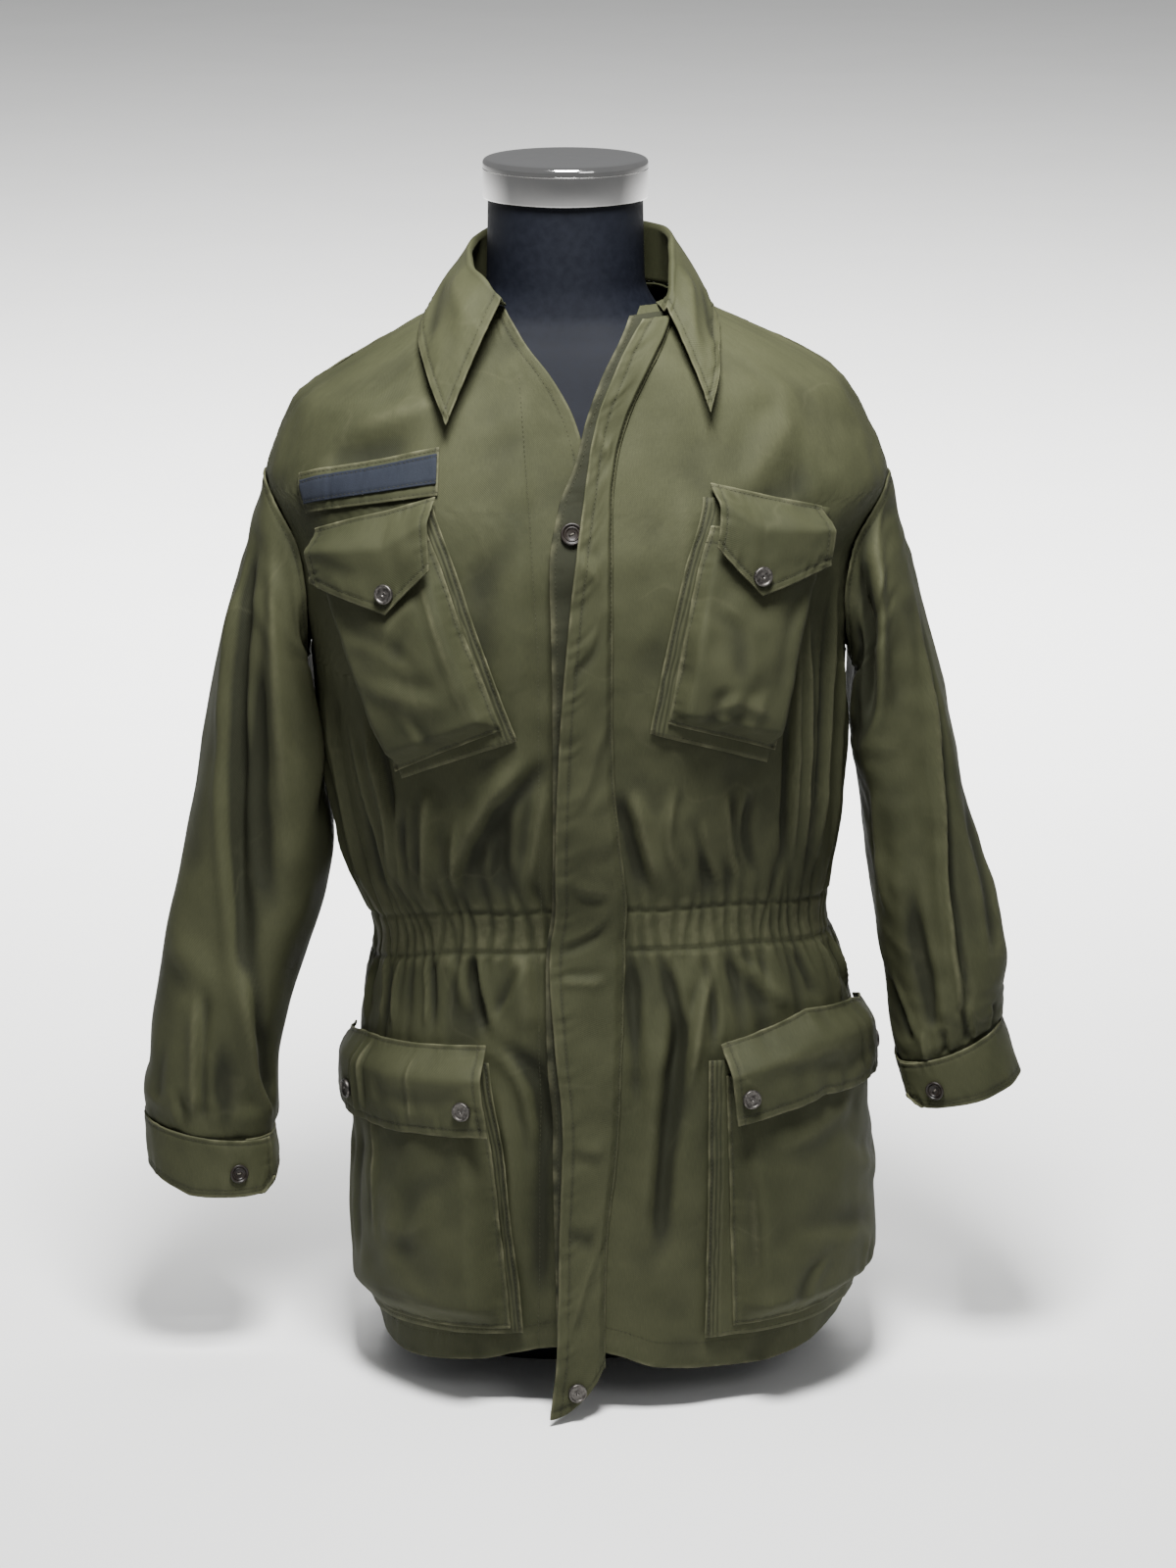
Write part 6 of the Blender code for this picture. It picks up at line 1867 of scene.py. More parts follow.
@dataclass
class Collar:
    """The pointed collar, turned down over its stand."""

    length: float = 0.50
    depth: float = 0.115

    @staticmethod
    def place(across: Array, along: Array) -> Array:
        """Find a point of the collar.

        Args:
            across: Share of its length, from the right to the left.
            along: Share of its depth, from the seam to the outer edge.

        Returns:
            A point for each place.
        """
        values = numbered(COLLAR_STATIONS)(across * (len(COLLAR_STATIONS) - 1))
        angle = np.radians(values[0])
        roll = np.stack(values[1:4], axis=-1)
        edge = np.stack(values[4:7], axis=-1)
        seam = smooth_body(angle, np.full(np.shape(angle), NECK_HEIGHT)) + np.array((0, 0, COLLAR_SEAM))
        away = unit((seam - np.array((COLLAR_CENTRE, 0, 0))) * np.array((1, 1, 0)))
        inner_roll = roll - away * COLLAR_STAND_OFF * 0.5
        outer_roll = roll + away * COLLAR_STAND_OFF
        roll_start, roll_end = COLLAR_ROLL
        part = np.asarray(along)[..., None]
        stand = between(seam, inner_roll, np.clip(part / roll_start, 0, 1))
        fall_part = np.clip((part - roll_end) / (1 - roll_end), 0, 1)
        fall = between(outer_roll, edge, fall_part) + away * np.sin(np.pi * fall_part) * COLLAR_BOW
        turn = np.clip((part - roll_start) / (roll_end - roll_start), 0, 1)
        over = between(inner_roll, outer_roll, turn)
        over = over + np.array((0, 0, COLLAR_RISE)) * np.sin(np.pi * turn)
        return np.where(part < roll_start, stand, np.where(part < roll_end, over, fall))

    def cloths(self) -> list[Cloth]:
        """Lay out the collar."""
        creases = (
            (((0.03, 0.60), (0.12, 0.57), (0.20, 0.52)), 0.010, 0.0020, 0.4, 0.1),
            (((0.10, 0.92), (0.17, 0.80), (0.24, 0.70)), 0.009, -0.0018, 0.4, 0.0),
            (((0.80, 0.55), (0.88, 0.60), (0.97, 0.66)), 0.010, 0.0020, 0.4, 0.1),
            (((0.78, 0.80), (0.84, 0.87), (0.90, 0.92)), 0.009, -0.0018, 0.4, 0.0),
            (((0.45, 0.60), (0.52, 0.72), (0.60, 0.85)), 0.010, 0.0018, 0.4, 0.1),
        )
        fold = tuple((place, 0.02, 0.008) for place in COLLAR_ROLL)
        hems = tuple(Hem(side, 0.007, pucker=pucker, wave=wave) for side, pucker, wave in (
            (Side.START, 0.0006, 0.010), (Side.END, 0.0006, 0.010), (Side.HIGH, 0.0007, 0.011)))
        return [Cloth("collar", self.place,
                      spaced(0, 1, 0.0030 / self.length, edge_fine(self.length, 0.007)),
                      spaced(0, 1, 0.0027 / self.depth, (*fold, edge_fine(self.depth, 0.007)[1])),
                      hems=hems, creases=creases, soft=0.0004, seed=41)]


@dataclass
class NameTape:
    """The olive strip and the bare loop strip on it."""

    width: float = 0.108

    def cloths(self) -> list[Cloth]:
        """Lay out the two strips."""
        backing_hems = (Hem(Side.LOW, 0.0022, pucker=0.0003, worn=1.0),
                        Hem(Side.HIGH, 0.0022, pucker=0.0003), Hem(Side.START, 0.0022),
                        Hem(Side.END, 0.0022))
        loop_hems = (Hem(Side.LOW, 0.0016, worn=0.0), Hem(Side.HIGH, 0.0016, worn=0.0))
        made = []
        for name, corners, out, hems in (
                ("name_tape_backing", TAPE_BACKING, TAPE_BACKING_OUT, backing_hems),
                ("name_tape_loop", TAPE_LOOP, TAPE_LOOP_OUT, loop_hems)):
            outer, inner, low_inner, low_outer = corner_angles(corners, False)
            made.append(Cloth(name, partial(patch_point, [inner, outer, low_outer, low_inner], out),
                              spaced(0, 1, 0.0016 / self.width), spaced(0, 1, 0.04),
                              thickness=THIN_CLOTH, hems=hems, soft=0.0001, seed=51, held="laid"))
        return made


# ------------------------------------------------------------------ hard pieces
SHARP = 50                # degrees from which the edges of turned pieces stay sharp


def smooth_mesh(name: str, points: list, faces: list, sharp: float | None = None) -> bpy.types.Mesh:
    """Make a smooth-shaded mesh.

    Args:
        name: Its name.
        points: Its points.
        faces: Its faces.
        sharp: Angle in degrees from which edges stay sharp.

    Returns:
        The mesh.
    """
    mesh = bpy.data.meshes.new(name)
    mesh.from_pydata(points, [], faces)
    mesh.shade_smooth()
    if sharp is not None:
        mesh.set_sharp_from_angle(angle=math.radians(sharp))
    return mesh


def evaluated_mesh(obj: bpy.types.Object) -> bpy.types.Mesh:
    """Turn an object with its modifiers into a new mesh."""
    bpy.context.view_layer.update()
    return bpy.data.meshes.new_from_object(obj.evaluated_get(bpy.context.evaluated_depsgraph_get()))


def turned(name: str, profile: list[tuple[float, float]], sides: int) -> bpy.types.Mesh:
    """Turn a profile about the Z axis into a closed mesh.

    Args:
        name: Name of the mesh.
        profile: Rows of a radius and a height, from the top of the axis out and down.
        sides: Sides of the turned shape.

    Returns:
        The mesh, with its faces pointing out.
    """
    turns = 2 * np.pi * np.arange(sides) / sides
    points = []
    rings = []
    for radius, height in profile:
        if radius <= 0:
            rings.append([len(points)] * sides)
            points.append((0.0, 0.0, height))
        else:
            rings.append(list(range(len(points), len(points) + sides)))
            points += [(radius * math.cos(t), radius * math.sin(t), height) for t in turns]
    faces = []
    for upper, lower in zip(rings, rings[1:]):
        for k in range(sides):
            after = (k + 1) % sides
            face = list(dict.fromkeys((upper[k], lower[k], lower[after], upper[after])))
            if len(face) > 2:
                faces.append(face)
    return smooth_mesh(name, points, faces, SHARP)


def arc(centre: tuple[float, float], radius: float, start: float, end: float,
        count: int) -> list[tuple[float, float]]:
    """List points on a round stretch of a profile.

    Args:
        centre: Radius and height of the arc's centre.
        radius: Its own radius.
        start: First angle in degrees, from outwards towards up.
        end: Last angle.
        count: Number of points.

    Returns:
        Rows of a radius and a height.
    """
    turns = np.radians(np.linspace(start, end, count))
    return [(centre[0] + radius * math.cos(t), centre[1] + radius * math.sin(t)) for t in turns]


@dataclass
class DressForm:
    """The limbless form and the bright cap on its neck."""

    sides: int = 96
    roundness: float = 0.95
    cap_radius: float = 0.0625
    cap_bottom: float = 0.9210
    cap_top: float = 0.9500
    cap_edge: float = 0.0035

    def torso(self, finish: bpy.types.Material) -> bpy.types.Object:
        """Build the smooth form.

        Args:
            finish: Its material.

        Returns:
            The finished object.
        """
        rings = Profile(FORM_RINGS)
        heights = np.concatenate((np.linspace(0, 0.006, 4)[:-1], np.linspace(0.006, 0.74, 90)[:-1],
                                  np.linspace(0.74, FORM_RINGS[-1][0], 60)))
        turns = 2 * np.pi * np.arange(self.sides) / self.sides
        turn, height = np.meshgrid(turns, heights)
        half, front, back = rings(height)
        x = half * signed_power(np.sin(turn), self.roundness)
        y = np.where(np.cos(turn) > 0, -front, back) * np.abs(np.cos(turn)) ** self.roundness
        points = np.stack((x, y, height), axis=-1).reshape(-1, 3)
        last = (len(heights) - 1) * self.sides
        faces = []
        for low in range(0, last, self.sides):
            for k in range(self.sides):
                after = (k + 1) % self.sides
                faces.append((low + k, low + after, low + self.sides + after, low + self.sides + k))
        faces += [tuple(reversed(range(self.sides))), tuple(range(last, last + self.sides))]
        mesh = smooth_mesh("form_torso_shell", points.tolist(), faces, SHARP)
        mesh.materials.append(finish)
        return stand_for(add_object(mesh.name, mesh), ("form_torso",))

    def cap(self, finish: bpy.types.Material) -> bpy.types.Object:
        """Build the neck cap, with a fine groove under its lid.

        Args:
            finish: Its material.

        Returns:
            The finished object.
        """
        radius, top, bottom, edge = self.cap_radius, self.cap_top, self.cap_bottom, self.cap_edge
        profile = [(0.0, top - 0.0004), (0.040, top - 0.0003), (radius - 0.012, top)]
        profile += arc((radius - edge, top - edge), edge, 90, 0, 9)
        profile += [(radius, top - 0.0065), (radius - 0.0006, top - 0.0069), (radius, top - 0.0073)]
        profile += arc((radius - 0.001, bottom + 0.001), 0.001, 0, -90, 4)
        profile += [(0.0, bottom)]
        mesh = turned("form_neck_cap_lid", profile, 128)
        mesh.materials.append(finish)
        return stand_for(add_object(mesh.name, mesh), ("form_neck_cap",))


def stand_for(obj: bpy.types.Object, nodes: tuple[str, ...]) -> bpy.types.Object:
    """Attach a finished piece to the root and hide the solids that it stands for.

    Args:
        obj: The finished piece.
        nodes: The solids that it stands for.

    Returns:
        The same piece.
    """
    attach(obj, "root")
    if nodes:
        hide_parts(*nodes)
    return obj


class Nodes:
    """Nodes in the making, for a material, a group of shader nodes or a Geometry Nodes tree."""

    def __init__(self, tree: bpy.types.NodeTree) -> None:
        """Keep the tree that nodes are added to."""
        self.tree = tree

    def feed(self, node: Node, links: dict) -> Node:
        """Feed a node's inputs.

        Args:
            node: The node.
            links: What feeds its inputs, by input name or number: a socket or a plain value.

        Returns:
            The same node.
        """
        for label, source in links.items():
            if isinstance(source, bpy.types.NodeSocket):
                self.tree.links.new(source, node.inputs[label])
            else:
                node.inputs[label].default_value = source
        return node

    def node(self, kind: str, links: dict | None = None, **values: object) -> Node:
        """Add a node.

        Args:
            kind: Its type.
            links: What feeds its inputs.
            values: Its own properties.

        Returns:
            The node.
        """
        made = self.tree.nodes.new(kind)
        for key, value in values.items():
            setattr(made, key, value)
        return self.feed(made, links or {})

    def math(self, operation: str, first: object, second: object = 0.0, clamp: bool = False) -> Socket:
        """Add a Math node and return its value."""
        return self.node("ShaderNodeMath", {0: first, 1: second}, operation=operation,
                         use_clamp=clamp).outputs[0]

    def noise(self, place: Socket, scale: float, detail: float = 3.0, rough: float = 0.55) -> Socket:
        """Add a noise texture and return its value from 0 to 1."""
        return self.node("ShaderNodeTexNoise", {"Vector": place, "Scale": scale, "Detail": detail,
                                                "Roughness": rough}).outputs["Fac"]

    def span(self, value: Socket, low: float, high: float, to_low: float, to_high: float) -> Socket:
        """Map a range of values onto another."""
        return self.node("ShaderNodeMapRange", {"Value": value, "From Min": low, "From Max": high,
                                                "To Min": to_low, "To Max": to_high}).outputs[0]

    def mix(self, part: object, first: object, second: object) -> Socket:
        """Mix two colours."""
        return self.node("ShaderNodeMix", {"Factor": part, 6: first, 7: second},
                         data_type="RGBA").outputs[2]


def new_group(name: str, kind: str, inputs: tuple, outputs: tuple) -> bpy.types.NodeTree:
    """Make a node group with its sockets.

    Args:
        name: Its name.
        kind: Its type of tree.
        inputs: Rows of a name, a socket type and, for some, a default value.
        outputs: Rows of a name and a socket type.

    Returns:
        The group.
    """
    group = bpy.data.node_groups.new(name, kind)
    for way, rows in (("INPUT", inputs), ("OUTPUT", outputs)):
        for label, socket, *value in rows:
            made = group.interface.new_socket(label, in_out=way, socket_type=f"NodeSocket{socket}")
            if value:
                made.default_value = value[0]
    return group


class Tree(Nodes):
    """A Geometry Nodes tree in the making, with named inputs."""

    def __init__(self, name: str, inputs: tuple) -> None:
        """Start a tree with a geometry input and output.

        Args:
            name: Name of the tree.
            inputs: Rows of a name, a socket type and, for plain values, the value.
        """
        geometry = ("Geometry", "Geometry")
        super().__init__(new_group(name, "GeometryNodeTree", (geometry, *inputs), (geometry,)))
        self.keys = {item.name: item.identifier for item in self.tree.interface.items_tree
                     if item.in_out == "INPUT"}
        self.values = {label: value[0] for label, _kind, *value in inputs if value}
        self.put = self.tree.nodes.new("NodeGroupInput").outputs

    def facing(self) -> Socket:
        """Read the way that each point faces."""
        return self.node("GeometryNodeInputNamedAttribute", {"Name": "facing"},
                         data_type="FLOAT_VECTOR").outputs[0]

    def turn(self, upright: Socket, euler: Socket) -> Socket:
        """Turn a pose about its own axes."""
        swing = self.node("FunctionNodeEulerToRotation", {"Euler": euler}).outputs[0]
        return self.node("FunctionNodeRotateRotation", {"Rotation": upright, "Rotate By": swing},
                         rotation_space="LOCAL").outputs[0]

    def finish(self, links: dict) -> None:
        """Lay the instances, realize them, set the material and lead them to the output."""
        laid = self.node("GeometryNodeInstanceOnPoints", links)
        real = self.node("GeometryNodeRealizeInstances", {"Geometry": laid.outputs[0]})
        coat = self.node("GeometryNodeSetMaterial", {"Geometry": real.outputs[0],
                                                     "Material": self.put["Material"]})
        self.node("NodeGroupOutput", {0: coat.outputs[0]})

    def apply(self, name: str, carrier: bpy.types.Mesh, values: dict) -> bpy.types.Object:
        """Run the tree on a mesh and keep the result as a plain piece.

        Args:
            name: Name of the finished piece.
            carrier: Mesh that the tree starts from.
            values: Objects and materials for the named inputs.

        Returns:
            The finished object, without any modifier.
        """
        holder = add_object(f"{name}_lines", carrier)
        modifier = holder.modifiers.new(name, "NODES")
        modifier.node_group = self.tree
        for label, value in {**self.values, **values}.items():
            modifier[self.keys[label]] = value
        holder.update_tag()
        mesh = evaluated_mesh(holder)
        mesh.name = name
        bpy.data.objects.remove(holder)
        mesh.shade_smooth()
        return add_object(name, mesh)


def line_carrier(name: str, lines: list[tuple[Array, Array]]) -> bpy.types.Mesh:
    """Make a mesh of polylines that keep the cloth's normals.

    Args:
        name: Name of the mesh.
        lines: Rows of points and normals.

    Returns:
        The mesh, with the normals in the attribute facing.
    """
    points, normals = (np.concatenate(parts) for parts in zip(*lines))
    ends = np.cumsum([len(line[0]) for line in lines])
    edges = [(k, k + 1) for k in range(len(points) - 1) if k + 1 not in ends]
    mesh = bpy.data.meshes.new(name)
    mesh.from_pydata(points.tolist(), edges, [])
    layer = mesh.attributes.new("facing", "FLOAT_VECTOR", "POINT")
    layer.data.foreach_set("vector", normals.astype(np.float32).ravel())
    return mesh


@dataclass
class Sewing:
    """The stitches along every sewn line, made by one tree."""

    name: str = "sewing_thread"
    pitch: float = 0.0036
    length: float = 0.0027
    width: float = 0.00055
    height: float = 0.00034
    sink: float = 0.00006
    slant: float = 0.12       # most that a stitch is turned from the line
    seed: int = 7

    def tree(self) -> Tree:
        """Build the tree that lays a stitch at every pitch along the lines."""
        tree = Tree("stitches", (
            ("Pitch", "Float", self.pitch), ("Length", "Float", self.length),
            ("Width", "Float", self.width), ("Height", "Float", self.height),
            ("Slant", "Float", self.slant), ("Seed", "Int", self.seed), ("Material", "Material")))
        put = tree.put
        curve = tree.node("GeometryNodeMeshToCurve", {"Mesh": put["Geometry"]})
        even = tree.node("GeometryNodeResampleCurve",
                         {"Curve": curve.outputs[0], "Length": put["Pitch"]}, mode="LENGTH")
        stitch = tree.node("GeometryNodeMeshUVSphere", {"Radius": 0.5, "Segments": 4, "Rings": 3})
        tangent = tree.node("GeometryNodeInputTangent")
        along = tree.node("FunctionNodeAlignRotationToVector", {"Vector": tangent.outputs[0]}, axis="X")
        upright = tree.node("FunctionNodeAlignRotationToVector",
                            {"Rotation": along.outputs[0], "Vector": tree.facing()},
                            axis="Z", pivot_axis="X")
        chance = tree.node("FunctionNodeRandomValue", {"Seed": put["Seed"]}, data_type="FLOAT_VECTOR")
        slant = tree.node("ShaderNodeVectorMath", {0: chance.outputs[0], 1: (0.5, 0.5, 0.5)},
                          operation="SUBTRACT")
        swing = tree.node("ShaderNodeVectorMath", {0: slant.outputs[0], "Scale": put["Slant"]},
                          operation="SCALE")
        size = tree.node("ShaderNodeCombineXYZ", {"X": put["Length"], "Y": put["Width"],
                                                  "Z": put["Height"]})
        tree.finish({"Points": even.outputs[0], "Instance": stitch.outputs[0],
                     "Rotation": tree.turn(upright.outputs[0], swing.outputs[0]),
                     "Scale": size.outputs[0]})
        return tree

    def build(self, lines: list[tuple[Array, Array]], finish: bpy.types.Material) -> bpy.types.Object:
        """Lay the stitches.

        Args:
            lines: Rows of points and normals.
            finish: Material of the thread.

        Returns:
            The finished piece.
        """
        out = self.height * 0.5 - self.sink
        path = line_carrier(f"{self.name}_path", [(spots + ways * out, ways) for spots, ways in lines])
        obj = self.tree().apply(self.name, path, {"Material": finish})
        return stand_for(obj, ())


@dataclass(frozen=True)
class Spot:
    """Where a fastener sits: its centre and the way that it faces."""

    node: str
    centre: Array
    facing: Array


@dataclass
class Fasteners:
    """The press-stud caps and the two-hole buttons."""

    snap_radius: float = 0.0075
    snap_height: float = 0.0030
    button_radius: float = 0.0075
    fly_button_radius: float = 0.0085
    button_height: float = 0.0028
    hole_radius: float = 0.0009
    hole_apart: float = 0.0033
    turn: float = 0.6         # most that a fastener is turned round, in radians
    seed: int = 3

    def snap_cap(self) -> bpy.types.Mesh:
        """Turn a cap with a rolled rim, a flat field and a small middle dimple."""
        r, h = self.snap_radius, self.snap_height
        profile = [(0.0, 0.62 * h), (0.10 * r, 0.63 * h), (0.17 * r, 0.80 * h), (0.22 * r, 0.86 * h)]
        profile += [(0.28 * r, 0.80 * h), (0.34 * r, 0.74 * h)]
        profile += [(0.66 * r, 0.76 * h), (0.74 * r, 0.84 * h)]
        profile += arc((0.86 * r, 0.80 * h), 0.12 * r, 120, 0, 6)
        profile += [(r, 0.55 * h), (0.97 * r, 0.15 * h), (0.92 * r, 0.0), (0.0, 0.0)]
        return turned("snap_cap_form", profile, 32)

    def button_form(self, radius: float) -> bpy.types.Mesh:
        """Turn a button with a raised rim and bore its two holes.

        Args:
            radius: Radius of the button.

        Returns:
            The bored mesh.
        """
        r, h = radius, self.button_height
        profile = [(0.0, 0.52 * h), (0.42 * r, 0.52 * h), (0.50 * r, 0.60 * h)]
        profile += arc((0.60 * r, 0.66 * h), 0.07 * r, 150, 20, 5)
        profile += [(0.70 * r, 0.64 * h), (0.76 * r, 0.72 * h)]
        profile += arc((0.88 * r, 0.72 * h), 0.12 * r, 130, -20, 7)
        profile += [(0.97 * r, 0.30 * h), (0.80 * r, 0.0), (0.0, 0.0)]
        blank = add_object("button_blank", turned("button_blank", profile, 40))
        for place in (-0.5, 0.5):
            hole = self.hole_radius
            bore = turned("button_bore", [(0.0, 2 * h), (hole, 2 * h), (hole, -h), (0.0, -h)], 16)
            bore.transform(Matrix.Translation((place * self.hole_apart, 0, 0)))
            tool = add_object("button_bore", bore)
            cut = blank.modifiers.new("hole", "BOOLEAN")
            cut.operation = "DIFFERENCE"
            cut.solver = "EXACT"
            cut.object = tool
        mesh = evaluated_mesh(blank)
        for obj in [o for o in bpy.data.objects if o.name.startswith(("button_blank", "button_bore"))]:
            bpy.data.objects.remove(obj)
        mesh.shade_smooth()
        mesh.set_sharp_from_angle(angle=math.radians(40))
        return mesh

    def tree(self) -> Tree:
        """Build the tree that sets one form on every spot."""
        tree = Tree("fasteners", (("Form", "Object"), ("Turn", "Float", self.turn),
                                  ("Seed", "Int", self.seed), ("Material", "Material")))
        form = tree.node("GeometryNodeObjectInfo", {"Object": tree.put["Form"]})
        upright = tree.node("FunctionNodeAlignRotationToVector", {"Vector": tree.facing()}, axis="Z")
        chance = tree.node("FunctionNodeRandomValue", {"Seed": tree.put["Seed"]}, data_type="FLOAT")
        angle = tree.math("MULTIPLY", chance.outputs[1], tree.put["Turn"])
        euler = tree.node("ShaderNodeCombineXYZ", {"Z": angle})
        points = tree.node("GeometryNodeMeshToPoints", {"Mesh": tree.put["Geometry"]})
        tree.finish({"Points": points.outputs[0], "Instance": form.outputs["Geometry"],
                     "Rotation": tree.turn(upright.outputs[0], euler.outputs[0])})
        return tree

    def set_out(self, name: str, form: bpy.types.Mesh, spots: list[Spot], finish: bpy.types.Material,
                stands: bool) -> bpy.types.Object:
        """Set one form on its spots as one piece.

        Args:
            name: Name of the piece.
            form: The fastener's mesh.
            spots: Where it goes.
            finish: Its material.
            stands: Whether it stands for the spots' solids.

        Returns:
            The finished piece.
        """
        master = add_object(f"{name}_form", form)
        lines = [(np.array([spot.centre]), np.array([spot.facing])) for spot in spots]
        obj = self.tree().apply(name, line_carrier(f"{name}_spots", lines),
                                {"Form": master, "Material": finish})
        bpy.data.objects.remove(master)
        obj.data.set_sharp_from_angle(angle=math.radians(40))
        return stand_for(obj, tuple(spot.node for spot in spots) if stands else ())

    def thread_form(self) -> bpy.types.Mesh:
        """Make the bar of thread between a button's holes."""
        half = self.hole_apart * 0.5
        radius = self.hole_radius * 0.62
        level = 0.52 * self.button_height
        rows, sides = 9, 8
        points = []
        for part in np.linspace(0, 1, rows):
            x = between(-half, half, part)
            z = level + radius * 0.7 * math.sin(math.pi * part) - radius * 0.9 * (2 * part - 1) ** 2
            points += [(x, radius * math.cos(turn), z + radius * math.sin(turn))
                       for turn in 2 * math.pi * np.arange(sides) / sides]
        last = (rows - 1) * sides
        faces = [tuple(range(sides)), tuple(reversed(range(last, last + sides)))]
        for low in range(0, last, sides):
            for s in range(sides):
                a, b = low + s, low + (s + 1) % sides
                faces.append((a, a + sides, b + sides, b))
        return smooth_mesh("button_thread_form", points, faces)


# ------------------------------------------------------------------ finishes
Colour = tuple[float, float, float, float]


def cloth_tone_group() -> bpy.types.NodeTree:
    """Build the group that fades, mottles and wears a dyed cloth, and paints shade into its troughs.

    Returns:
        A group with the tone as its output.
    """
    group = new_group("cloth_tone", "ShaderNodeTree", (
        ("Place", "Vector"), ("Dye", "Color"), ("Faded", "Color"), ("Worn", "Color"),
        ("Shade", "Color"), ("Wear", "Float"), ("Relief", "Float")), (("Tone", "Color"),))
    s = Nodes(group)
    put = s.node("NodeGroupInput").outputs
    broad = s.span(s.noise(put["Place"], 7.0), 0.36, 0.66, 0.0, 1.0)
    patch = s.span(s.noise(put["Place"], 26.0, 4.0), 0.35, 0.70, 0.0, 0.45)
    tone = s.mix(broad, put["Dye"], put["Faded"])
    tone = s.mix(patch, tone, put["Faded"])
    tone = s.mix(s.span(put["Relief"], 0.0002, 0.0030, 0.0, 0.45), tone, put["Faded"])
    # Painted shade: negative relief of creases, grooves, pleat steps and gaps darkens the tone.
    tone = s.mix(s.span(put["Relief"], -0.0002, -0.0036, 0.0, 0.75), tone, put["Shade"])
    rub = s.span(s.noise(put["Place"], 160.0), 0.3, 0.7, 0.35, 1.1)
    tone = s.mix(s.math("MULTIPLY", put["Wear"], rub, True), tone, put["Worn"])
    bent = s.math("SUBTRACT", s.noise(put["Place"], 9.0, 2.5), 0.5)
    set_in = s.span(s.math("ABSOLUTE", bent), 0.0, 0.014, 0.08, 0.0)
    where = s.span(s.noise(put["Place"], 17.0, 2.0), 0.48, 0.62, 0.0, 1.0)
    tone = s.mix(s.math("MULTIPLY", set_in, where, True), tone, put["Worn"])
    s.node("NodeGroupOutput", {"Tone": tone})
    return group


def weave_group() -> bpy.types.NodeTree:
    """Build the group that gives a twill's ridges and a cloth's fine unevenness as a height.

    Returns:
        A group with the height and the threads' flecks as its outputs.
    """
    group = new_group("weave_height", "ShaderNodeTree", (
        ("Chart", "Vector"), ("Place", "Vector"), ("Ridges", "Float"), ("Slubs", "Float"),
        ("Fuzz", "Float")), (("Height", "Float"), ("Fleck", "Float")))
    s = Nodes(group)
    put = s.node("NodeGroupInput").outputs
    twill = s.node("ShaderNodeTexWave", {"Vector": put["Chart"], "Scale": 420.0, "Distortion": 0.6,
                                         "Detail": 1.0, "Detail Scale": 2.0},
                   wave_type="BANDS", bands_direction="DIAGONAL").outputs["Fac"]
    stretched = s.node("ShaderNodeMapping", {"Vector": put["Chart"], "Scale": (1500.0, 130.0, 1.0)})
    slub = s.noise(stretched.outputs[0], 1.0, 2.0)
    height = s.math("MULTIPLY", twill, put["Ridges"])
    for value, share in ((slub, put["Slubs"]), (s.noise(put["Place"], 1400.0, 2.0), put["Fuzz"]),
                         (s.noise(put["Place"], 240.0), 0.00018)):
        height = s.math("ADD", height, s.math("MULTIPLY", value, share))
    s.node("NodeGroupOutput", {"Height": height, "Fleck": slub})
    return group


def new_material(name: str, colour: Colour) -> tuple[bpy.types.Material, Nodes, Node]:
    """Start a material.

    Args:
        name: Its name.
        colour: The colour that a plain viewport shows.

    Returns:
        The material, its nodes and its Principled shader.
    """
    made = bpy.data.materials.new(name)
    made.use_nodes = True
    made.diffuse_color = colour
    return made, Nodes(made.node_tree), made.node_tree.nodes["Principled BSDF"]


@dataclass(frozen=True)
class ClothFinish:
    """A dyed, worn cloth."""

    name: str
    dye: Colour
    faded: Colour
    worn: Colour
    # Colour of the painted shade in troughs, grooves and gaps.
    shade: Colour
    roughness: float
    sheen: float
    ridges: float
    slubs: float
    fuzz: float

    def material(self, tone: bpy.types.NodeTree, weave: bpy.types.NodeTree) -> bpy.types.Material:
        """Build the material.

        Args:
            tone: The group that fades and wears a dye.
            weave: The group that gives the weave's height.

        Returns:
            The material.
        """
        made, s, shader = new_material(self.name, self.dye)
        place = s.node("ShaderNodeTexCoord").outputs["Object"]
        chart = s.node("ShaderNodeUVMap", uv_map="cut").outputs[0]
        wear, relief = (s.node("ShaderNodeAttribute", attribute_name=label).outputs["Fac"]
                        for label in ("wear", "relief"))
        cloth = s.node("ShaderNodeGroup", {"Place": place, "Wear": wear, "Relief": relief,
                                           "Dye": self.dye, "Faded": self.faded, "Worn": self.worn,
                                           "Shade": self.shade}, node_tree=tone)
        thread = s.node("ShaderNodeGroup", {"Chart": chart, "Place": place, "Ridges": self.ridges,
                                            "Slubs": self.slubs, "Fuzz": self.fuzz}, node_tree=weave)
        fleck = s.span(thread.outputs["Fleck"], 0.3, 0.7, 0.90, 1.10)
        tint = s.node("ShaderNodeVectorMath", {0: cloth.outputs["Tone"], "Scale": fleck},
                      operation="SCALE")
        bump = s.node("ShaderNodeBump", {"Height": thread.outputs["Height"], "Strength": 0.75,
                                         "Distance": 1.0})
        s.feed(shader, {"Base Color": tint.outputs[0], "Normal": bump.outputs[0],
                        "Roughness": s.span(wear, 0.0, 1.0, self.roughness, self.roughness + 0.08),
                        "Sheen Weight": self.sheen, "Sheen Roughness": 0.45, "Sheen Tint": self.worn,
                        "Specular IOR Level": 0.16})
        return made


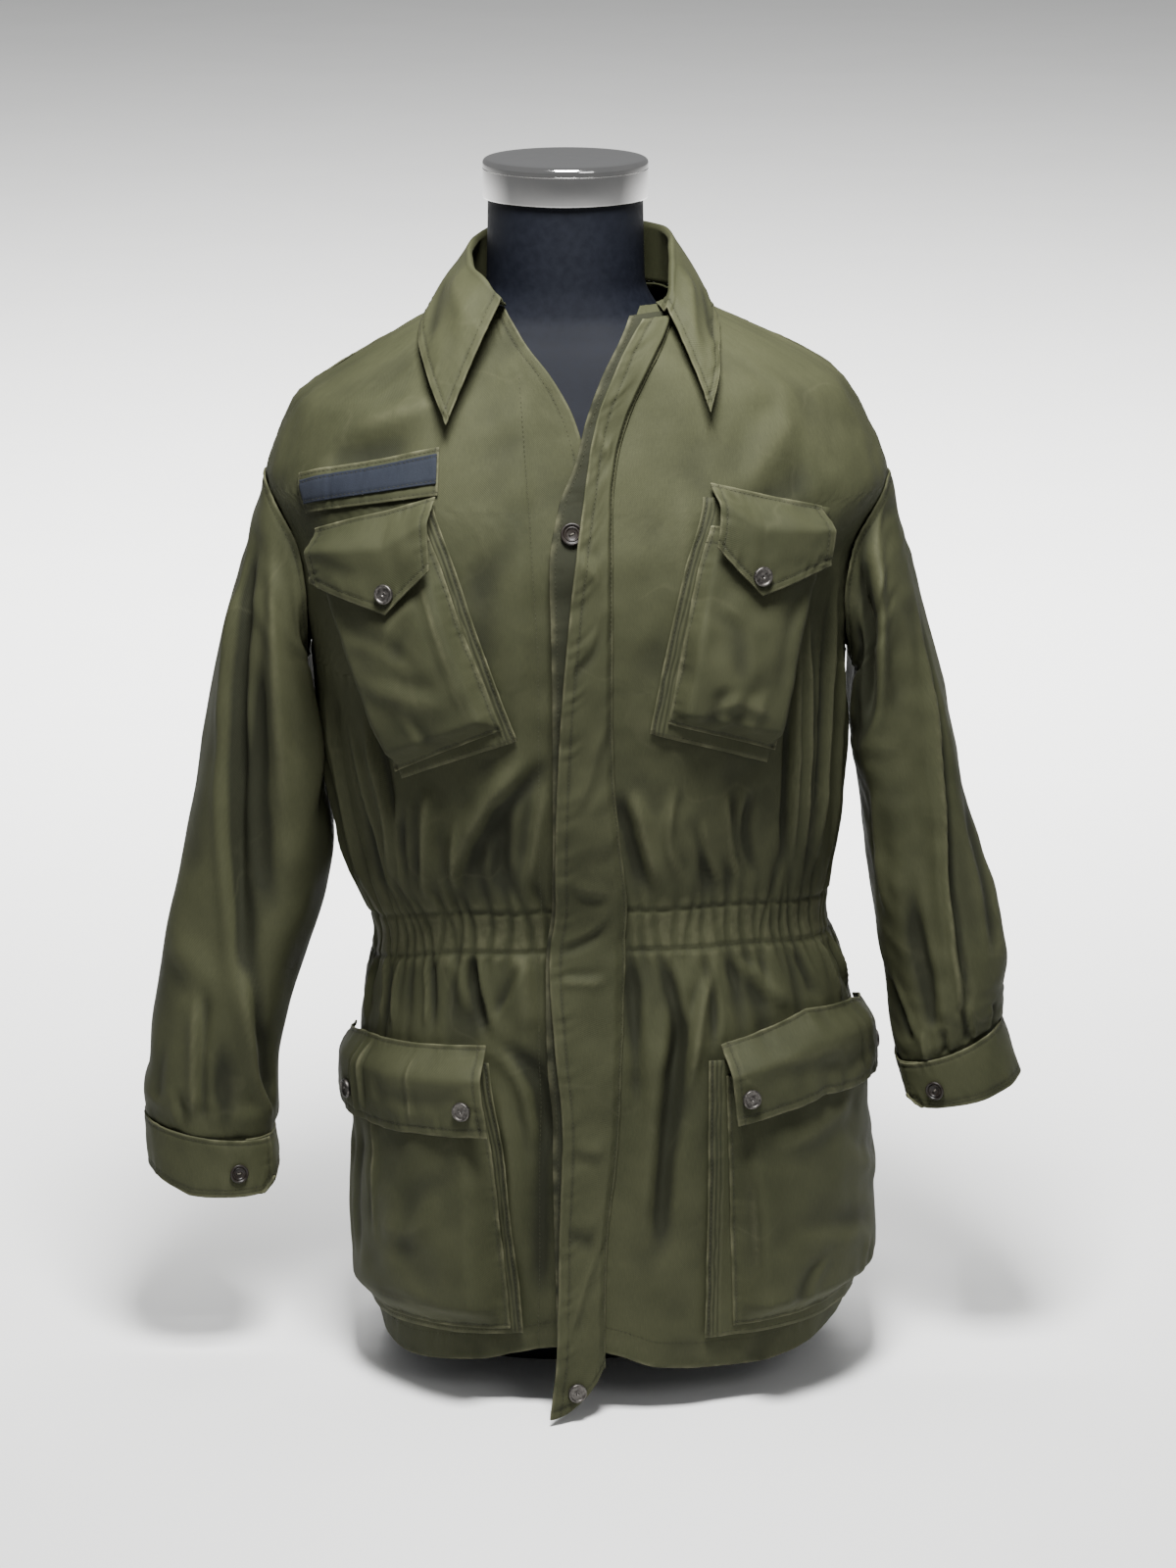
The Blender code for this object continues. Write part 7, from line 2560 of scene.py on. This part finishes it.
@dataclass(frozen=True)
class HardFinish:
    """A metal or a moulded finish with fine scratches and a cloudy second tone."""

    name: str
    colour: Colour
    second: Colour
    roughness: float
    spread: float
    grain: float
    relief: float
    metallic: float = 0.0
    specular: float = 0.5

    def material(self) -> bpy.types.Material:
        """Build the material."""
        made, s, shader = new_material(self.name, self.colour)
        place = s.node("ShaderNodeTexCoord").outputs["Object"]
        cloudy = s.noise(place, self.grain, 4.0, 0.6)
        bump = s.node("ShaderNodeBump", {"Height": s.noise(place, self.grain * 4), "Strength": 0.5,
                                         "Distance": self.relief})
        rough = s.span(cloudy, 0.3, 0.7, self.roughness - self.spread, self.roughness + self.spread)
        tone = s.mix(s.span(cloudy, 0.35, 0.65, 0.0, 1.0), self.colour, self.second)
        s.feed(shader, {"Base Color": tone, "Roughness": rough, "Normal": bump.outputs[0],
                        "Metallic": self.metallic, "Specular IOR Level": self.specular})
        return made


def opaque(red: float, green: float, blue: float) -> Colour:
    """Make a solid colour."""
    return (red, green, blue, 1.0)


OLIVE = ClothFinish("olive_cotton", dye=opaque(0.0162, 0.0178, 0.0070),
                    faded=opaque(0.0305, 0.0322, 0.0150), worn=opaque(0.082, 0.081, 0.046),
                    shade=opaque(0.0052, 0.0058, 0.0026), roughness=0.78, sheen=0.05,
                    ridges=0.00008, slubs=0.00006, fuzz=0.00005)
NAVY = ClothFinish("navy_loop", dye=opaque(0.0085, 0.0105, 0.0160),
                   faded=opaque(0.0130, 0.0155, 0.0215), worn=opaque(0.022, 0.025, 0.032),
                   shade=opaque(0.005, 0.006, 0.010), roughness=0.95, sheen=0.12,
                   ridges=0.0, slubs=0.00010, fuzz=0.00035)
THREAD = ClothFinish("olive_thread", dye=opaque(0.016, 0.017, 0.008), faded=opaque(0.026, 0.026, 0.014),
                     worn=opaque(0.050, 0.048, 0.028), shade=opaque(0.009, 0.010, 0.005),
                     roughness=0.60, sheen=0.10, ridges=0.0, slubs=0.0, fuzz=0.00005)
HARD_FINISHES = (
    HardFinish("aged_metal", opaque(0.040, 0.036, 0.033), opaque(0.105, 0.098, 0.090), metallic=0.9,
               roughness=0.42, spread=0.10, grain=520.0, relief=0.00006),
    HardFinish("dark_button", opaque(0.006, 0.004, 0.003), opaque(0.012, 0.009, 0.007),
               roughness=0.42, spread=0.06, grain=300.0, relief=0.00002, specular=0.25),
    HardFinish("pale_thread", opaque(0.070, 0.062, 0.048), opaque(0.045, 0.040, 0.030),
               roughness=0.80, spread=0.05, grain=900.0, relief=0.00010),
    HardFinish("black_form", opaque(0.0026, 0.0032, 0.0056), opaque(0.0036, 0.0044, 0.0074),
               roughness=0.60, spread=0.05, grain=160.0, relief=0.00003, specular=0.12),
    HardFinish("bright_metal", opaque(0.620, 0.610, 0.600), opaque(0.580, 0.575, 0.570), metallic=1.0,
               roughness=0.07, spread=0.02, grain=60.0, relief=0.000004),
)
PALE_FLOOR = HardFinish("pale_floor", opaque(0.80, 0.80, 0.79), opaque(0.78, 0.78, 0.77),
                        roughness=0.85, spread=0.02, grain=3.0, relief=0.0)

# Lights: name, place, point that it faces, length of its side, power in watts.
LIGHTS = (
    ("key", (0.02, -0.60, 1.85), (0.0, 0.0, 0.62), 0.45, 103.0),
    ("fill", (1.1, -1.9, 1.7), (0.0, 0.0, 0.30), 0.8, 7.0),
    ("backdrop", (0.0, 1.8, 3.4), (0.0, 7.0, 0.0), 3.0, 950.0),
)
SKY = opaque(0.93, 0.94, 0.95)
SKY_STRENGTH = 0.30


# ------------------------------------------------------------------ the whole
@dataclass
class Studio:
    """The floor, the lights and the camera."""

    camera_at: tuple[float, float, float] = (0.017, -3.2, 1.384)
    tilt: float = 16.1
    lens: float = 97.67
    sensor: float = 36.0
    floor_half: float = 40.0

    def floor(self) -> None:
        """Lay a plain pale floor."""
        corners = [(x * self.floor_half, y * self.floor_half, 0)
                   for x, y in ((-1, -1), (1, -1), (1, 1), (-1, 1))]
        mesh = bpy.data.meshes.new("floor")
        mesh.from_pydata(corners, [], [(0, 1, 2, 3)])
        mesh.materials.append(PALE_FLOOR.material())
        add_object("floor", mesh)

    def light(self, name: str, place: tuple, aim: tuple, size: float, power: float) -> None:
        """Hang one soft square light.

        Args:
            name: Its name.
            place: Where it hangs.
            aim: The point that it faces.
            size: Length of its side.
            power: Its power in watts.
        """
        data = bpy.data.lights.new(name, "AREA")
        data.size = size
        data.energy = power
        obj = add_object(name, data)
        obj.location = place
        obj.rotation_euler = (Vector(aim) - Vector(place)).to_track_quat("-Z", "Y").to_euler()

    def lights(self) -> None:
        """Hang the lights and set the sky."""
        for row in LIGHTS:
            self.light(*row)
        world = bpy.data.worlds.new("pale_room")
        world.use_nodes = True
        Nodes(world.node_tree).feed(world.node_tree.nodes["Background"],
                                    {"Color": SKY, "Strength": SKY_STRENGTH})
        bpy.context.scene.world = world

    def camera(self) -> None:
        """Set up the camera."""
        data = bpy.data.cameras.new("camera")
        data.lens = self.lens
        data.sensor_width = self.sensor
        obj = add_object("camera", data)
        obj.location = self.camera_at
        obj.rotation_euler = (math.radians(90 - self.tilt), 0.0, 0.0)
        bpy.context.scene.camera = obj

    def build(self) -> None:
        """Set up everything round the jacket."""
        self.camera()
        self.floor()
        self.lights()


def pockets() -> list[Pocket]:
    """Lay out the four pockets."""
    made = []
    for number, side in enumerate(("right", "left")):
        made.append(Pocket("chest", side, CHEST_BACKING[side], CHEST_BAG[side], CHEST_FLAP[side], 0.016,
                           0.007, 0.0030, 1.0, 1.0, 0.0, 0.088, 0.165, CHEST_BAG_CREASES[side], (),
                           20 + 10 * number))
        made.append(Pocket("hip", side, HIP_BACKING[side], HIP_BAG[side], HIP_FLAP[side], 0.021, 0.009,
                           0.0044, 0.55, 0.30, 0.010, 0.20, 0.195, HIP_BAG_CREASES[side],
                           HIP_FLAP_CREASES[side], 25 + 10 * number))
    return made


def spot_on(node: str, cloth: Cloth, across: float, along: float) -> Spot:
    """Find the spot of a fastener on a finished cloth piece.

    Args:
        node: The fastener's solid.
        cloth: The piece that carries it.
        across: First coordinate on the piece.
        along: Second coordinate on the piece.

    Returns:
        The spot.
    """
    points, normals = cloth.at(np.array([across]), np.array([along]))
    return Spot(node, points[0] + normals[0] * FASTENER_OUT, normals[0])


def fastener_spots(cloths: dict[str, Cloth]) -> tuple[list[Spot], list[Spot], list[Spot]]:
    """Find the spots of the snaps, the small buttons and the fly button.

    Args:
        cloths: The finished cloth pieces by their solids.

    Returns:
        The three lists of spots.
    """
    snaps = []
    buttons = []
    for side in ("right", "left"):
        snaps.append(spot_on(f"snap_chest_{side}", cloths[f"chest_flap_{side}"], *CHEST_SNAP))
        for place, share in zip(("front", "side"), HIP_SNAPS[side]):
            snaps.append(spot_on(f"snap_hip_{side}_{place}", cloths[f"hip_flap_{side}"], share,
                                 HIP_SNAP_SHARE))
        buttons.append(spot_on(f"button_strap_{side}", cloths[f"shoulder_strap_{side}"], *STRAP_BUTTON))
        buttons.append(spot_on(f"button_cuff_{side}", cloths[f"cuff_{side}"], *CUFF_BUTTON))
    snaps.append(spot_on("snap_placket", cloths["fly_placket"], *PLACKET_SNAP))
    return snaps, buttons, [spot_on("button_fly", cloths["fly_strip"], *FLY_BUTTON)]


def line_on_body(angle: Array, nominal: Array) -> tuple[Array, Array]:
    """Find the points and the normals of a line on the body cloth.

    Args:
        angle: Girth angles in radians.
        nominal: Nominal heights.

    Returns:
        The points and the normals.
    """
    face = partial(body, out=0.0)
    return face(angle, nominal), grid_normals(face, angle, nominal, 2e-3)


def body_lines() -> list[tuple[Array, Array]]:
    """List the sewn lines that run over the body: the waist seams and the right front's line.

    Returns:
        Rows of points and normals.
    """
    lines = []
    for offset in (-BAND_HALF, BAND_HALF):
        for start, end in WAIST_SEAMS:
            angle = np.radians(np.linspace(start, end, 900))
            lines.append(line_on_body(angle, np.full(angle.shape, WAIST_HEIGHT + offset)))
    height = np.linspace(0.06, 0.80, 400)
    angle = angle_at(np.interp(height, *zip(*RIGHT_FRONT_LINE)), height)
    lines.append(line_on_body(angle, nominal_at(angle, height)))
    return lines


def main() -> None:
    """Build every piece in order."""
    logging.basicConfig(level=logging.INFO, format="%(message)s")
    Studio().build()
    tone = cloth_tone_group()
    weave = weave_group()
    cotton, navy, thread = (finish.material(tone, weave) for finish in (OLIVE, NAVY, THREAD))
    hard = {finish.name: finish.material() for finish in HARD_FINISHES}
    form = DressForm()
    form.torso(hard["black_form"])
    form.cap(hard["bright_metal"])
    layout = Panels().cloths() + Fly().cloths() + Collar().cloths() + NameTape().cloths()
    for pocket in pockets():
        layout += pocket.cloths()
    for sleeve in (Sleeve("right", RIGHT_SLEEVE_RINGS, RIGHT_SLEEVE_CREASES, RIGHT_CUFF_RINGS, 61),
                   Sleeve("left", LEFT_SLEEVE_RINGS, LEFT_SLEEVE_CREASES, LEFT_CUFF_RINGS, 71)):
        layout += sleeve.cloths()
    cloths = {}
    lines = body_lines()
    for cloth in layout:
        cloth.build(navy if cloth.node == "name_tape_loop" else cotton)
        cloths[cloth.node] = cloth
        lines += cloth.threads
    sewing = Sewing().build(lines, thread)
    LOG.info("sewing: %d faces", len(sewing.data.polygons))
    fasteners = Fasteners()
    snaps, buttons, fly = fastener_spots(cloths)
    small, large = (fasteners.button_form(radius)
                    for radius in (fasteners.button_radius, fasteners.fly_button_radius))
    for name, form, spots, finish, slot, stands in (
            ("snap_caps", fasteners.snap_cap(), snaps, "aged_metal", "aged_metal", True),
            ("small_buttons", small, buttons, "dark_button", "dark_button", True),
            ("fly_button", large, fly, "dark_button", "dark_button", True),
            ("button_threads", fasteners.thread_form(), buttons + fly, "pale_thread", "dark_button",
             False)):
        fasteners.set_out(name, form, spots, hard[finish], stands)


if __name__ == "__main__":
    main()
